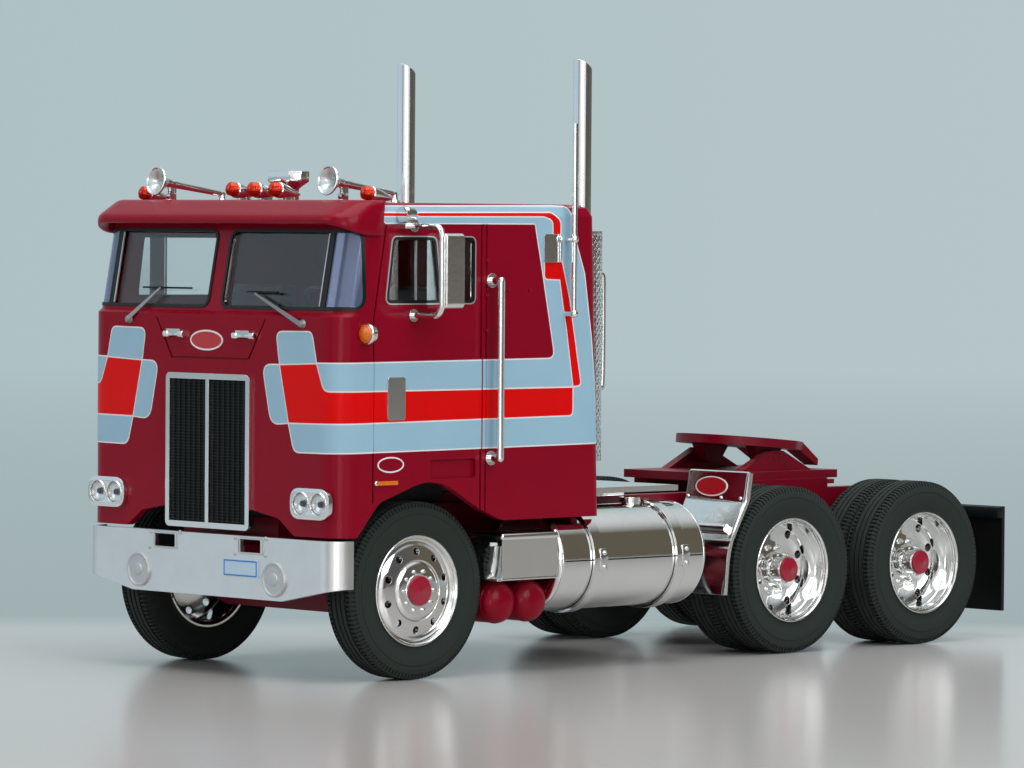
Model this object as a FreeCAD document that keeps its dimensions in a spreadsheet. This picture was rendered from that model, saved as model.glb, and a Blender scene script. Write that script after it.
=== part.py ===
import FreeCAD
import Part
import Sketcher
import math
import os

# Cab-over tractor unit with a sleeper cab and two driven rear axles: a die-cast model at 1:43.
# The truck faces -Y, its left side is +X and up is +Z.
# The origin is on the ground, in the middle of the length and of the width.

# Driving dimensions, in millimetres; angles are in degrees and counts are plain numbers.
SIZES = {
    # Layout along the truck
    "fog_stand": 0.4,
    "front_overhang": 16.85,
    "wheelbase": 74.1,
    "tandem_spread": 28.5,
    "rear_overhang": 17.9,
    # Tyres
    "tyre_radius": 12.14,
    "tyre_width": 5.6,
    "tread_width": 4.5,
    "shoulder_drop": 0.7,
    "sidewall_rise": 2.0,
    "tyre_reach": 24.6,
    "twin_gap": 0.2,
    # Wheels and spindles
    "bead_radius": 7.1,
    "rim_wall": 0.6,
    "rim_width": 4.7,
    "front_dish": 0.5,
    "front_crown": 2.2,
    "front_crown_radius": 3.9,
    "front_hub_stand": 0.5,
    "front_hub_radius": 2.5,
    "rear_dish": 1.9,
    "rear_hub_stand": 1.6,
    "rear_hub_radius": 3.0,
    "cap_radius": 1.75,
    "cap_height": 1.3,
    "cap_round": 0.6,
    "hand_hole_radius": 0.75,
    "hand_hole_ring": 4.9,
    "hand_hole_count": 10,
    "spindle_radius": 1.0,
    "running_gap": 0.05,
    "side_gap": 0.3,
    # Ladder frame
    "rail_half_width": 10.0,
    "rail_height": 6.2,
    "rail_flange": 2.1,
    "rail_wall": 0.7,
    "rail_top": 23.0,
    "rail_front_setback": 4.4,
    "rail_rear_setback": 3.0,
    "member_depth": 1.6,
    "member_inset": 1.2,
    # Axles and springs
    "beam_half_length": 17.2,
    "beam_width": 4.6,
    "beam_drop": 3.7,
    "beam_thickness": 3.8,
    "beam_neck": 5.0,
    "drum_radius": 2.6,
    "axle_tube_radius": 1.9,
    "banjo_radius": 4.6,
    "banjo_half_width": 1.9,
    "banjo_taper": 3.3,
    "pinion_nose": 3.0,
    "pinion_radius": 1.2,
    "spring_width": 2.8,
    "spring_leaf": 1.8,
    "spring_seat": 3.1,
    "spring_eye": 1.6,
    "front_spring_reach": 9.5,
    "rear_spring_reach": 10.5,
    # Engine and drive line
    "engine_half_width": 6.4,
    "engine_lead": 6.75,
    "engine_length": 28.0,
    "engine_clearance": 0.8,
    "engine_height": 17.0,
    "gearbox_length": 12.0,
    "gearbox_radius": 3.6,
    "gearbox_tail": 2.0,
    "shaft_radius": 0.9,
    # Cab casting
    "cab_half_width": 26.5,
    "cab_setback": 0.5,
    "cab_length": 49.3,
    "cab_low": 19.8,
    "nose_height": 29.6,
    "ledge_height": 0.5,
    "screen_height": 11.6,
    "header_height": 3.3,
    "screen_step": 0.7,
    "screen_rake": 2.2,
    "rear_lean": 1.5,
    "cab_corner": 3.6,
    "cab_rear_corner": 1.4,
    "cab_wall": 1.2,
    "roof_round": 1.6,
    "arch_front": 12.95,
    "arch_shoulder": 8.95,
    "arch_shoulder_rise": 4.6,
    "arch_shoulder_round": 3.0,
    "arch_peak": 1.15,
    "arch_peak_round": 9.0,
    "arch_rise": 15.6,
    "arch_heel": 9.65,
    "arch_heel_round": 4.0,
    "arch_rear": 13.75,
    "sill_rise": 1.6,
    "front_notch_half": 17.6,
    "front_notch_rise": 3.2,
    "front_notch_round": 1.0,
    # Windows
    "pillar_half_width": 1.33,
    "window_margin": 0.5,
    "window_round": 1.5,
    "screen_wrap": 4.6,
    "door_window_setback": 8.4,
    "door_window_length": 16.2,
    "door_window_sill": 1.4,
    "door_window_height": 8.8,
    "door_window_slant": 1.2,
    "door_window_round": 0.8,
    "glass_thickness": 0.6,
    "glass_inset": 0.3,
    "glass_gap": 0.05,
    # Doors, hatches and seams
    "hatch_lift": 2.0,
    "hatch_top_half": 11.6,
    "hatch_foot_half": 8.2,
    "door_setback": 6.1,
    "door_slant": 2.2,
    "door_length": 20.0,
    "door_top_gap": 2.7,
    "bead_width": 0.7,
    "seam_width": 0.25,
    "seam_depth": 0.25,
    "step_recess_length": 8.4,
    "step_recess_height": 2.6,
    "step_recess_rise": 7.6,
    "step_recess_depth": 0.5,
    # Visor
    "visor_reach": 3.3,
    "visor_side": 0.5,
    "visor_lip": 1.1,
    "visor_drop": 2.9,
    "visor_wall": 0.9,
    "visor_length": 8.4,
    "visor_ear_drop": 1.8,
    "visor_skin": 0.3,
    # Cab inside
    "floor_rise": 14.5,
    "floor_thickness": 1.0,
    "tub_gap": 0.2,
    "bunk_rise": 12.0,
    "bunk_setback": 29.0,
    "dash_depth": 5.8,
    "seat_inset": 10.3,
    "seat_width": 10.4,
    "seat_setback": 13.0,
    "seat_height": 18.0,
    "seat_round": 0.8,
    "wheel_ring_radius": 4.4,
    "wheel_rim_radius": 0.4,
    "wheel_tilt": 40,
    "wheel_setback": 8.6,
    "column_length": 5.6,
    "column_radius": 0.9,
    # Grille
    "grille_half_width": 8.8,
    "grille_rise": 0.3,
    "grille_height": 21.2,
    "grille_rim": 0.8,
    "grille_stand": 0.5,
    "grille_lap": 0.4,
    "grille_bar": 0.7,
    "fin_width": 0.3,
    "fin_pitch": 1.08,
    "fin_count": 7,
    # Headlamps and corner lamps
    "headlamp_spread": 21.5,
    "headlamp_rise": 4.5,
    "pod_width": 7.8,
    "pod_height": 4.2,
    "pod_depth": 0.8,
    "pod_round": 1.2,
    "lens_pitch": 3.6,
    "lens_radius": 1.45,
    "corner_lamp_radius": 1.6,
    "corner_lamp_drop": 2.2,
    "corner_lamp_setback": 4.9,
    "corner_lamp_stand": 0.5,
    # Bumper
    "bumper_gap": 0.4,
    "bumper_height": 8.5,
    "bumper_end_rise": 2.3,
    "bumper_flat_half": 15.7,
    "bumper_corner": 3.0,
    "bumper_wrap": 3.4,
    "bumper_wall": 1.0,
    "hook_spread": 9.0,
    "hook_width": 4.6,
    "hook_height": 2.1,
    "hook_rise": 6.1,
    "hook_round": 0.4,
    "fog_spread": 14.3,
    "fog_rise": 2.9,
    "fog_radius": 2.4,
    "plate_width": 7.1,
    "plate_height": 2.4,
    "plate_near": 3.9,
    "plate_rise": 2.9,
    "plate_thickness": 0.25,
    # Roof fittings
    "horn_spread": 18.2,
    "horn_setback": 5.3,
    "horn_bell": 2.05,
    "horn_length": 14.3,
    "horn_stand": 3.1,
    "horn_lip": 0.2,
    "horn_tube": 0.55,
    "horn_foot": 1.2,
    "marker_radius": 0.95,
    "marker_lens": 1.3,
    "marker_tail": 3.0,
    "marker_pitch": 4.5,
    "marker_spread": 23.4,
    "marker_setback": 6.6,
    "marker_stand": 1.1,
    "vent_half_width": 4.5,
    "vent_depth": 4.2,
    "vent_height": 1.9,
    "vent_stand": 2.2,
    "vent_corner": 1.3,
    "vent_setback": 11.3,
    # Mirrors
    "mirror_stand": 2.6,
    "mirror_width": 4.1,
    "mirror_depth": 3.1,
    "mirror_setback": 13.2,
    "mirror_clear": 1.0,
    "mirror_foot_rise": 0.2,
    "mirror_round": 0.7,
    "arm_bend": 1.5,
    "arm_radius": 0.42,
    # Grab handles, antenna and cab trim
    "handle_setback": 27.7,
    "handle_drop": 10.5,
    "handle_length": 24.3,
    "handle_radius": 0.55,
    "handle_stand": 2.1,
    "foot_thickness": 0.4,
    "rod_lead": 7.3,
    "rod_radius": 0.4,
    "rod_drop": 15.5,
    "rod_length": 26.7,
    "rod_stand": 1.7,
    "rod_stub_pitch": 10.3,
    "latch_setback": 8.6,
    "latch_width": 3.2,
    "latch_drop": 8.1,
    "latch_height": 5.8,
    "trim_stand": 0.3,
    "breather_setback": 37.6,
    "breather_width": 3.4,
    "breather_drop": 4.1,
    "breather_height": 3.9,
    "clasp_spread": 7.3,
    "clasp_width": 2.8,
    "clasp_drop": 3.0,
    "spot_setback": 11.3,
    "spot_radius": 1.2,
    # Exhaust
    "stack_spread": 18.4,
    "stack_gap": 3.6,
    "stack_radius": 1.33,
    "stack_wall": 0.3,
    "stack_rise": 20.6,
    "stack_cut": 1.8,
    "guard_radius": 3.0,
    "guard_lift": 4.1,
    "guard_length": 31.9,
    "guard_handle_lift": 9.9,
    "guard_handle_length": 16.2,
    "guard_handle_stand": 1.4,
    "guard_handle_radius": 0.45,
    # Tanks, boxes and deck
    "box_setback": 13.45,
    "box_length": 10.6,
    "box_drop": 3.5,
    "box_height": 6.4,
    "box_stand": 0.5,
    "box_gap": 2.5,
    "box_round": 0.4,
    "wing_reach": 0.7,
    "air_tank_radius": 2.9,
    "air_tank_gap": 0.1,
    "air_tank_length": 12.0,
    "air_tank_dome": 1.0,
    "air_tank_drop": 0.3,
    "air_tank_inset": 1.2,
    "tank_gap": 2.5,
    "tank_radius": 7.3,
    "tank_drop": 7.7,
    "tank_length": 29.2,
    "tank_space": 0.4,
    "tank_round": 0.8,
    "filler_radius": 1.5,
    "filler_height": 0.8,
    "filler_setback": 20.8,
    "strap_width": 1.8,
    "strap_thickness": 0.35,
    "strap_setback": 7.2,
    "strap_pitch": 16.3,
    "deck_gap": 1.0,
    "deck_length": 20.8,
    "deck_half_width": 20.0,
    "deck_lift": 1.1,
    "deck_thickness": 0.8,
    # Quarter fenders
    "fender_gap": 1.5,
    "fender_wall": 0.6,
    "fender_inner": 12.3,
    "fender_reach": 24.6,
    "fender_top_lift": 3.4,
    "fender_foot_drop": 3.1,
    "fender_tube_radius": 0.6,
    # Fifth wheel
    "fifth_setback": 13.25,
    "fifth_radius": 9.1,
    "fifth_plate": 1.3,
    "fifth_underside": 1.45,
    "fifth_lift": 4.6,
    "fifth_tilt": 5,
    "fifth_rear": 7.6,
    "fifth_tail": 11.0,
    "fifth_tail_drop": 2.7,
    "fifth_tail_half": 6.6,
    "throat_half": 3.8,
    "throat_depth": 1.6,
    "kingpin_radius": 0.65,
    "base_lead": 14.2,
    "base_trail": 12.0,
    "base_half_width": 9.6,
    "base_lift": 1.4,
    "base_thickness": 1.2,
    "base_rail_width": 2.6,
    "pivot_radius": 0.7,
    "ear_spread": 6.8,
    "ear_width": 1.6,
    "ear_gap": 0.2,
    "lug_width": 2.0,
    # Mud flaps
    "flap_width": 11.6,
    "flap_drop": 3.0,
    "flap_height": 15.8,
    "flap_thickness": 0.6,
    "hanger_depth": 1.0,
    # Wipers
    "wiper_spread": 18.3,
    "wiper_drop": 1.0,
    "wiper_rise": 3.3,
    "wiper_reach": 8.6,
    "wiper_blade": 9.0,
    "wiper_arm_radius": 0.18,
    "wiper_blade_radius": 0.28,
    "wiper_hub_radius": 0.55,
    "wiper_stand": 0.5,
}

FACES = {"XY": "XY_Plane", "XZ": "XZ_Plane", "YZ": "YZ_Plane"}
TURNS = {
    "X": FreeCAD.Rotation(FreeCAD.Vector(0, 1, 0), 90),
    "Y": FreeCAD.Rotation(FreeCAD.Vector(1, 0, 0), -90),
    "Z": FreeCAD.Rotation(),
}


class Size:
    """A size as a formula over the cells of the sheet, together with its present value."""

    def __init__(self, text, value):
        self.text = text
        self.value = value

    def __add__(self, other):
        other = size(other)
        return Size(f"({self.text} + {other.text})", self.value + other.value)

    def __sub__(self, other):
        other = size(other)
        return Size(f"({self.text} - {other.text})", self.value - other.value)

    def __mul__(self, other):
        other = size(other)
        return Size(f"({self.text} * {other.text})", self.value * other.value)

    def __truediv__(self, other):
        other = size(other)
        return Size(f"({self.text} / {other.text})", self.value / other.value)

    def __radd__(self, other):
        return size(other) + self

    def __rsub__(self, other):
        return size(other) - self

    def __rmul__(self, other):
        return size(other) * self

    def __neg__(self):
        return Size(f"(0 - {self.text})", -self.value)


def size(number):
    """The number as a Size."""
    if isinstance(number, Size):
        return number
    return Size(f"({number:.6g})", float(number))


doc = FreeCAD.newDocument("Tractor")
sheet = doc.addObject("Spreadsheet::Sheet", "Sizes")
for row, (alias, number) in enumerate(SIZES.items(), start=1):
    sheet.set(f"A{row}", alias)
    sheet.set(f"B{row}", str(number))
    sheet.setAlias(f"B{row}", alias)
doc.recompute()


class Cells:
    """Reads the sheet's cells as attributes, each a Size."""

    def __getattr__(self, alias):
        return Size(f"Sizes.{alias}", float(sheet.get(alias)))


S = Cells()
PARTS = []


def bind(obj, prop, amount):
    """Ties a property of an object to the sheet."""
    obj.setExpression(prop, size(amount).text)


def place(obj, at):
    """Ties an object's position to the sheet."""
    for axis, amount in zip("xyz", at):
        bind(obj, f"Placement.Base.{axis}", amount)


def keep(obj, label):
    """Marks an object as a sub-part with a label of its own."""
    obj.Label = label
    PARTS.append(obj)
    return obj


def block(name, low, high):
    """A box between two corners."""
    obj = doc.addObject("Part::Box", name)
    for prop, first, last in zip(("Length", "Width", "Height"), low, high):
        bind(obj, prop, size(last) - first)
    place(obj, low)
    return obj


def rod(name, start, axis, length, radius, end_radius=None):
    """A cylinder that runs from start along an axis, or a cone if it has an end radius."""
    if end_radius is None:
        obj = doc.addObject("Part::Cylinder", name)
        bind(obj, "Radius", radius)
    else:
        obj = doc.addObject("Part::Cone", name)
        bind(obj, "Radius1", radius)
        bind(obj, "Radius2", end_radius)
    bind(obj, "Height", length)
    obj.Placement = FreeCAD.Placement(FreeCAD.Vector(), TURNS[axis])
    place(obj, start)
    return obj


def ball(name, centre, radius):
    """A sphere."""
    obj = doc.addObject("Part::Sphere", name)
    bind(obj, "Radius", radius)
    place(obj, centre)
    return obj


def fuse(name, pieces):
    """Pieces as one object, joined where they touch."""
    obj = doc.addObject("Part::MultiFuse", name)
    obj.Shapes = pieces
    return obj


def cut(name, base, tool):
    """The base less the tool."""
    obj = doc.addObject("Part::Cut", name)
    obj.Base = base
    obj.Tool = tool
    return obj


def common(name, base, tool):
    """What two objects share."""
    obj = doc.addObject("Part::Common", name)
    obj.Base = base
    obj.Tool = tool
    return obj


def mirrored(source):
    """A copy on the other side of the truck."""
    obj = doc.addObject("Part::Mirroring", f"{source.Name}_far")
    obj.Source = source
    obj.Normal = FreeCAD.Vector(1, 0, 0)
    return obj


def both_sides(pieces):
    """The pieces and their mirror images."""
    return pieces + [mirrored(piece) for piece in pieces]


def plane(body, face):
    """One of a body's own origin planes."""
    return next(item for item in body.Origin.OriginFeatures if item.Role == FACES[face])


def origin_axis(body, axis):
    """One of a body's own origin axes."""
    return next(item for item in body.Origin.OriginFeatures if item.Role == f"{axis}_Axis")


def new_body(name):
    """An empty body."""
    return doc.addObject("PartDesign::Body", name)


def new_sketch(body, name, face, offset=0):
    """A sketch on one of the body's planes, moved along the plane's normal by offset.

    XY sketches look along Z, YZ sketches along X, and XZ sketches along -Y.
    """
    sketch = body.newObject("Sketcher::SketchObject", name)
    sketch.AttachmentSupport = (plane(body, face), [""])
    sketch.MapMode = "FlatFace"
    bind(sketch, ".AttachmentOffset.Base.z", offset)
    return sketch


def hold(sketch, kind, geometry, point, amount):
    """Ties a distance from the sketch's origin to the sheet."""
    index = sketch.addConstraint(Sketcher.Constraint(kind, -1, 1, geometry, point, size(amount).value))
    sketch.setExpression(f"Constraints[{index}]", size(amount).text)


def hold_radius(sketch, geometry, amount):
    """Ties a radius to the sheet."""
    index = sketch.addConstraint(Sketcher.Constraint("Radius", geometry, size(amount).value))
    sketch.setExpression(f"Constraints[{index}]", size(amount).text)


def corner_arc(before, here, after, radius):
    """The round of one corner: where it starts and ends, its arc, and whether it turns left."""
    back = (before - here).normalize()
    ahead = (after - here).normalize()
    half = back.getAngle(ahead) / 2
    reach = radius / math.tan(half)
    enter = here + back * reach
    leave = here + ahead * reach
    centre = here + (back + ahead).normalize() * (radius / math.sin(half))
    left = back.cross(ahead).z < 0
    first, last = (enter, leave) if left else (leave, enter)
    angles = [math.atan2(point.y - centre.y, point.x - centre.x) for point in (first, last)]
    around = Part.Circle(centre, FreeCAD.Vector(0, 0, 1), radius)
    return enter, leave, Part.ArcOfCircle(around, angles[0], angles[1]), left


def outline(sketch, corners):
    """Draws a closed outline through corners given as (u, v), or (u, v, radius) for a round one."""
    points = [FreeCAD.Vector(size(corner[0]).value, size(corner[1]).value, 0) for corner in corners]
    count = len(points)
    enter = list(points)
    leave = list(points)
    rounds = {}
    for i, corner in enumerate(corners):
        if len(corner) > 2:
            radius = size(corner[2]).value
            after = points[(i + 1) % count]
            enter[i], leave[i], arc, left = corner_arc(points[i - 1], points[i], after, radius)
            rounds[i] = (arc, left)
    lines = [sketch.addGeometry(Part.LineSegment(leave[i], enter[(i + 1) % count])) for i in range(count)]
    for i, corner in enumerate(corners):
        before = lines[i - 1]
        after = lines[i]
        if i not in rounds:
            sketch.addConstraint(Sketcher.Constraint("Coincident", before, 2, after, 1))
            hold(sketch, "DistanceX", after, 1, corner[0])
            hold(sketch, "DistanceY", after, 1, corner[1])
            continue
        arc, left = rounds[i]
        bow = sketch.addGeometry(arc)
        knee = sketch.addGeometry(Part.Point(points[i]), True)
        first, last = (1, 2) if left else (2, 1)
        sketch.addConstraint(Sketcher.Constraint("Tangent", before, 2, bow, first))
        sketch.addConstraint(Sketcher.Constraint("Tangent", bow, last, after, 1))
        sketch.addConstraint(Sketcher.Constraint("PointOnObject", knee, 1, before))
        sketch.addConstraint(Sketcher.Constraint("PointOnObject", knee, 1, after))
        hold_radius(sketch, bow, corner[2])
        hold(sketch, "DistanceX", knee, 1, corner[0])
        hold(sketch, "DistanceY", knee, 1, corner[1])
    return sketch


def circle(sketch, u, v, radius):
    """Draws a circle."""
    centre = FreeCAD.Vector(size(u).value, size(v).value, 0)
    index = sketch.addGeometry(Part.Circle(centre, FreeCAD.Vector(0, 0, 1), size(radius).value))
    hold(sketch, "DistanceX", index, 3, u)
    hold(sketch, "DistanceY", index, 3, v)
    hold_radius(sketch, index, radius)
    return sketch


def box_outline(sketch, low, high, radius=None):
    """Draws a rectangle, with round corners if a radius is given."""
    extra = () if radius is None else (radius,)
    corners = [(low[0], low[1]), (high[0], low[1]), (high[0], high[1]), (low[0], high[1])]
    return outline(sketch, [corner + extra for corner in corners])


def pad(body, sketch, length, middle=False, backwards=False):
    """Extrudes a sketch along its normal."""
    feature = body.newObject("PartDesign::Pad", f"{sketch.Name}_pad")
    feature.Profile = sketch
    bind(feature, "Length", length)
    feature.Midplane = middle
    feature.Reversed = backwards
    body.Tip = feature
    return feature


def pocket(body, sketch, length, middle=False, backwards=False):
    """Cuts a sketch out of its body, against its normal unless backwards."""
    feature = body.newObject("PartDesign::Pocket", f"{sketch.Name}_pocket")
    feature.Profile = sketch
    bind(feature, "Length", length)
    feature.Midplane = middle
    feature.Reversed = backwards
    body.Tip = feature
    return feature


def spin(body, sketch, axis):
    """Turns a sketch about one of the body's axes."""
    feature = body.newObject("PartDesign::Revolution", f"{sketch.Name}_turned")
    feature.Profile = sketch
    feature.ReferenceAxis = (origin_axis(body, axis), [""])
    feature.Angle = 360
    body.Tip = feature
    return feature


def ring_of(body, feature, axis, count):
    """Repeats a feature round an axis."""
    pattern = body.newObject("PartDesign::PolarPattern", f"{feature.Name}_ring")
    pattern.Originals = [feature]
    pattern.Axis = (origin_axis(body, axis), [""])
    pattern.Angle = 360
    bind(pattern, "Occurrences", count)
    body.Tip = pattern
    return pattern


def loft(body, sketches, subtract=False):
    """Skins flat walls between outlines."""
    kind = "PartDesign::SubtractiveLoft" if subtract else "PartDesign::AdditiveLoft"
    feature = body.newObject(kind, f"{sketches[0].Name}_loft")
    feature.Profile = sketches[0]
    feature.Sections = sketches[1:]
    feature.Ruled = True
    body.Tip = feature
    return feature


def extruded(name, face, offset, corners, length, middle=False, backwards=False):
    """A body that is one outline extruded."""
    body = new_body(name)
    pad(body, outline(new_sketch(body, f"{name}_outline", face, offset), corners), length, middle, backwards)
    return body


def half_turn(body):
    """Turns a body round to face the other side of the truck."""
    body.Placement = FreeCAD.Placement(FreeCAD.Vector(), FreeCAD.Rotation(FreeCAD.Vector(0, 0, 1), 180))


def turned(name, axis, corners, at, side=1):
    """A body of revolution about an axis through at, with corners given as (along, radius)."""
    body = new_body(name)
    sketch = new_sketch(body, f"{name}_outline", "XY" if axis == "X" else "YZ")
    spin(body, outline(sketch, corners), axis)
    if side < 0:
        half_turn(body)
    place(body, at)
    return body


# Main lines that many pieces share

ZERO = size(0)
OVERALL = S.fog_stand + S.front_overhang + S.wheelbase + S.tandem_spread + S.rear_overhang
NOSE = OVERALL / -2 + S.fog_stand
TAIL = OVERALL / 2
FRONT_AXLE = NOSE + S.front_overhang
REAR_AXLES = [FRONT_AXLE + S.wheelbase, FRONT_AXLE + S.wheelbase + S.tandem_spread]
RAIL_LOW = S.rail_top - S.rail_height
RAIL_FRONT = NOSE + S.rail_front_setback
RAIL_REAR = TAIL - S.rail_rear_setback
CAB_FRONT = NOSE + S.cab_setback
CAB_REAR = CAB_FRONT + S.cab_length
CAB_WAIST = S.cab_low + S.nose_height
SCREEN_LOW = CAB_WAIST + S.ledge_height
SCREEN_HIGH = SCREEN_LOW + S.screen_height
CAB_TOP = SCREEN_HIGH + S.header_height
SHOULDER = CAB_TOP - S.roof_round
SILL = S.cab_low + S.sill_rise


def rear_at(height):
    """The rear wall's place at a height; the wall leans forward as it rises."""
    return CAB_REAR - S.rear_lean * ((height - S.cab_low) / (CAB_TOP - S.cab_low))


def front_at(height):
    """The windscreen plane's place at a height above its foot."""
    return CAB_FRONT + S.screen_step + S.screen_rake * ((height - SCREEN_LOW) / S.screen_height)


# Wheels: the left ones are built about their axles, and the right ones are the same turned round

FRONT_PLANE = S.tyre_reach - S.tyre_width / 2
TWIN_PLANE = FRONT_PLANE - S.tyre_width - S.twin_gap
BORE = S.spindle_radius + S.running_gap
RIM_INSIDE = S.bead_radius - S.rim_wall
RIM_HALF = S.rim_width / 2


def tyre_corners(centre):
    """The section of a tyre whose middle is at centre along its axle."""
    half = S.tyre_width / 2
    tread = S.tread_width / 2
    side = S.bead_radius + S.sidewall_rise
    shoulder = S.tyre_radius - S.shoulder_drop
    return [
        (centre - RIM_HALF, S.bead_radius),
        (centre + RIM_HALF, S.bead_radius),
        (centre + half, side),
        (centre + half, shoulder),
        (centre + tread, S.tyre_radius),
        (centre - tread, S.tyre_radius),
        (centre - half, shoulder),
        (centre - half, side),
    ]


FRONT_DISH = FRONT_PLANE + S.front_dish
FRONT_CROWN = FRONT_PLANE + S.front_crown
FRONT_CAP = FRONT_CROWN + S.front_hub_stand
REAR_DISH = FRONT_PLANE - S.rear_dish
REAR_CAP = REAR_DISH + S.rear_hub_stand
REAR_INNER = TWIN_PLANE - RIM_HALF
FRONT_INNER = FRONT_PLANE - RIM_HALF


def front_rim_corners():
    """The half section of a steered wheel: barrel, disc that bulges outwards, hub and bore."""
    return [
        (FRONT_INNER, RIM_INSIDE),
        (FRONT_DISH - S.rim_wall, RIM_INSIDE),
        (FRONT_CROWN - S.rim_wall, S.front_crown_radius),
        (FRONT_CROWN - S.rim_wall, S.rear_hub_radius),
        (FRONT_INNER, S.rear_hub_radius),
        (FRONT_INNER, BORE),
        (FRONT_CAP, BORE),
        (FRONT_CAP, S.front_hub_radius),
        (FRONT_CROWN, S.front_hub_radius + S.front_hub_stand),
        (FRONT_CROWN, S.front_crown_radius),
        (FRONT_DISH, RIM_INSIDE),
        (FRONT_PLANE + RIM_HALF, RIM_INSIDE),
        (FRONT_PLANE + RIM_HALF, S.bead_radius),
        (FRONT_INNER, S.bead_radius),
    ]


def rear_rim_corners():
    """The half section of a twin wheel: two barrels in one, a sunk disc and a long hub."""
    hub_back = REAR_INNER + S.rim_wall
    return [
        (REAR_INNER, RIM_INSIDE),
        (REAR_DISH - S.rim_wall, RIM_INSIDE),
        (REAR_DISH - S.rim_wall, S.rear_hub_radius),
        (hub_back, S.rear_hub_radius),
        (hub_back, BORE),
        (REAR_CAP, BORE),
        (REAR_CAP, S.front_hub_radius),
        (REAR_DISH, S.rear_hub_radius),
        (REAR_DISH, RIM_INSIDE),
        (FRONT_PLANE + RIM_HALF, RIM_INSIDE),
        (FRONT_PLANE + RIM_HALF, S.bead_radius),
        (REAR_INNER, S.bead_radius),
    ]


def wheel_set(name, axle, side, twin):
    """Tyre or twin tyres, wheel with its ring of hand holes, and hub cap of one wheel position."""
    centre = (ZERO, axle, S.tyre_radius)
    tyre = turned(f"{name}_tyre_outer", "X", tyre_corners(FRONT_PLANE), centre, side)
    if twin:
        inner = turned(f"{name}_tyre_inner", "X", tyre_corners(TWIN_PLANE), centre, side)
        keep(fuse(f"{name}_tyre_pair", [tyre, inner]), f"{name}_tyres")
    else:
        keep(tyre, f"{name}_tyre")
    wheel = turned(f"{name}_rim", "X", rear_rim_corners() if twin else front_rim_corners(), centre, side)
    disc = REAR_DISH if twin else FRONT_CROWN
    hole_sketch = new_sketch(wheel, f"{name}_hole", "YZ", disc + S.rim_wall)
    hole = circle(hole_sketch, S.hand_hole_ring, 0, S.hand_hole_radius)
    depth = S.front_crown - S.front_dish + 3 * S.rim_wall
    ring_of(wheel, pocket(wheel, hole, depth), "X", S.hand_hole_count)
    keep(wheel, f"{name}_wheel")
    foot = REAR_CAP if twin else FRONT_CAP
    top = foot + S.cap_height
    cap_corners = [(foot, ZERO), (foot, S.cap_radius), (top, S.cap_radius, S.cap_round), (top, ZERO)]
    keep(turned(f"{name}_cap", "X", cap_corners, centre, side), f"{name}_hub_cap")


for side, side_name in ((1, "left"), (-1, "right")):
    wheel_set(f"front_{side_name}", FRONT_AXLE, side, False)
    wheel_set(f"rear1_{side_name}", REAR_AXLES[0], side, True)
    wheel_set(f"rear2_{side_name}", REAR_AXLES[1], side, True)

# Ladder frame: two channel rails, cross members, bumper brackets and the mud flap hanger

RAIL_INSIDE = S.rail_half_width - S.rail_wall
FLANGE_EDGE = S.rail_half_width - S.rail_flange
rail = extruded(
    "rail",
    "XZ",
    -RAIL_REAR,
    [
        (S.rail_half_width, RAIL_LOW),
        (S.rail_half_width, S.rail_top),
        (FLANGE_EDGE, S.rail_top),
        (FLANGE_EDGE, S.rail_top - S.rail_wall),
        (RAIL_INSIDE, S.rail_top - S.rail_wall),
        (RAIL_INSIDE, RAIL_LOW + S.rail_wall),
        (FLANGE_EDGE, RAIL_LOW + S.rail_wall),
        (FLANGE_EDGE, RAIL_LOW),
    ],
    RAIL_REAR - RAIL_FRONT,
)
MEMBERS = [
    RAIL_FRONT,
    FRONT_AXLE + S.engine_length - S.engine_lead + S.gearbox_length - S.member_depth,
    CAB_REAR + S.deck_gap + S.deck_length - S.member_depth,
    (REAR_AXLES[0] + REAR_AXLES[1] - S.member_depth) / 2,
    RAIL_REAR - S.member_depth,
]
frame_pieces = both_sides([rail])
for number, start in enumerate(MEMBERS):
    frame_pieces.append(
        block(
            f"member{number}",
            (-RAIL_INSIDE - S.rail_wall / 2, start, RAIL_LOW + S.member_inset),
            (RAIL_INSIDE + S.rail_wall / 2, start + S.member_depth, S.rail_top - S.member_inset),
        )
    )
BUMPER_HIGH = S.cab_low - S.bumper_gap
BUMPER_LOW = BUMPER_HIGH - S.bumper_height
HOOK_LOW = BUMPER_LOW + S.hook_rise
bracket = block(
    "bumper_bracket",
    (RAIL_INSIDE - 2 * S.spring_width, NOSE + S.bumper_wall, RAIL_LOW - S.rail_wall),
    (S.rail_half_width - S.spring_width - S.side_gap, RAIL_FRONT + S.member_depth, RAIL_LOW + S.member_inset),
)
FLAP_OUTER = S.fender_reach
FLAP_HIGH = S.rail_top - S.flap_drop
HANGER_FRONT = TAIL - S.flap_thickness - S.hanger_depth
hanger_bar = block(
    "hanger_bar",
    (-FLAP_OUTER, HANGER_FRONT, FLAP_HIGH - 1.6 * S.hanger_depth),
    (FLAP_OUTER, TAIL - S.flap_thickness, FLAP_HIGH - 0.6 * S.hanger_depth),
)
hanger_arm = block(
    "hanger_arm",
    (S.rail_half_width - 2 * S.rail_wall, RAIL_REAR - S.member_depth, FLAP_HIGH - 1.8 * S.hanger_depth),
    (S.rail_half_width, TAIL - S.flap_thickness, FLAP_HIGH - 0.4 * S.hanger_depth),
)
keep(fuse("frame_join", frame_pieces + both_sides([bracket, hanger_arm]) + [hanger_bar]), "chassis_frame")

# Front axle: a dropped beam with drums and spindles, in one piece

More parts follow.
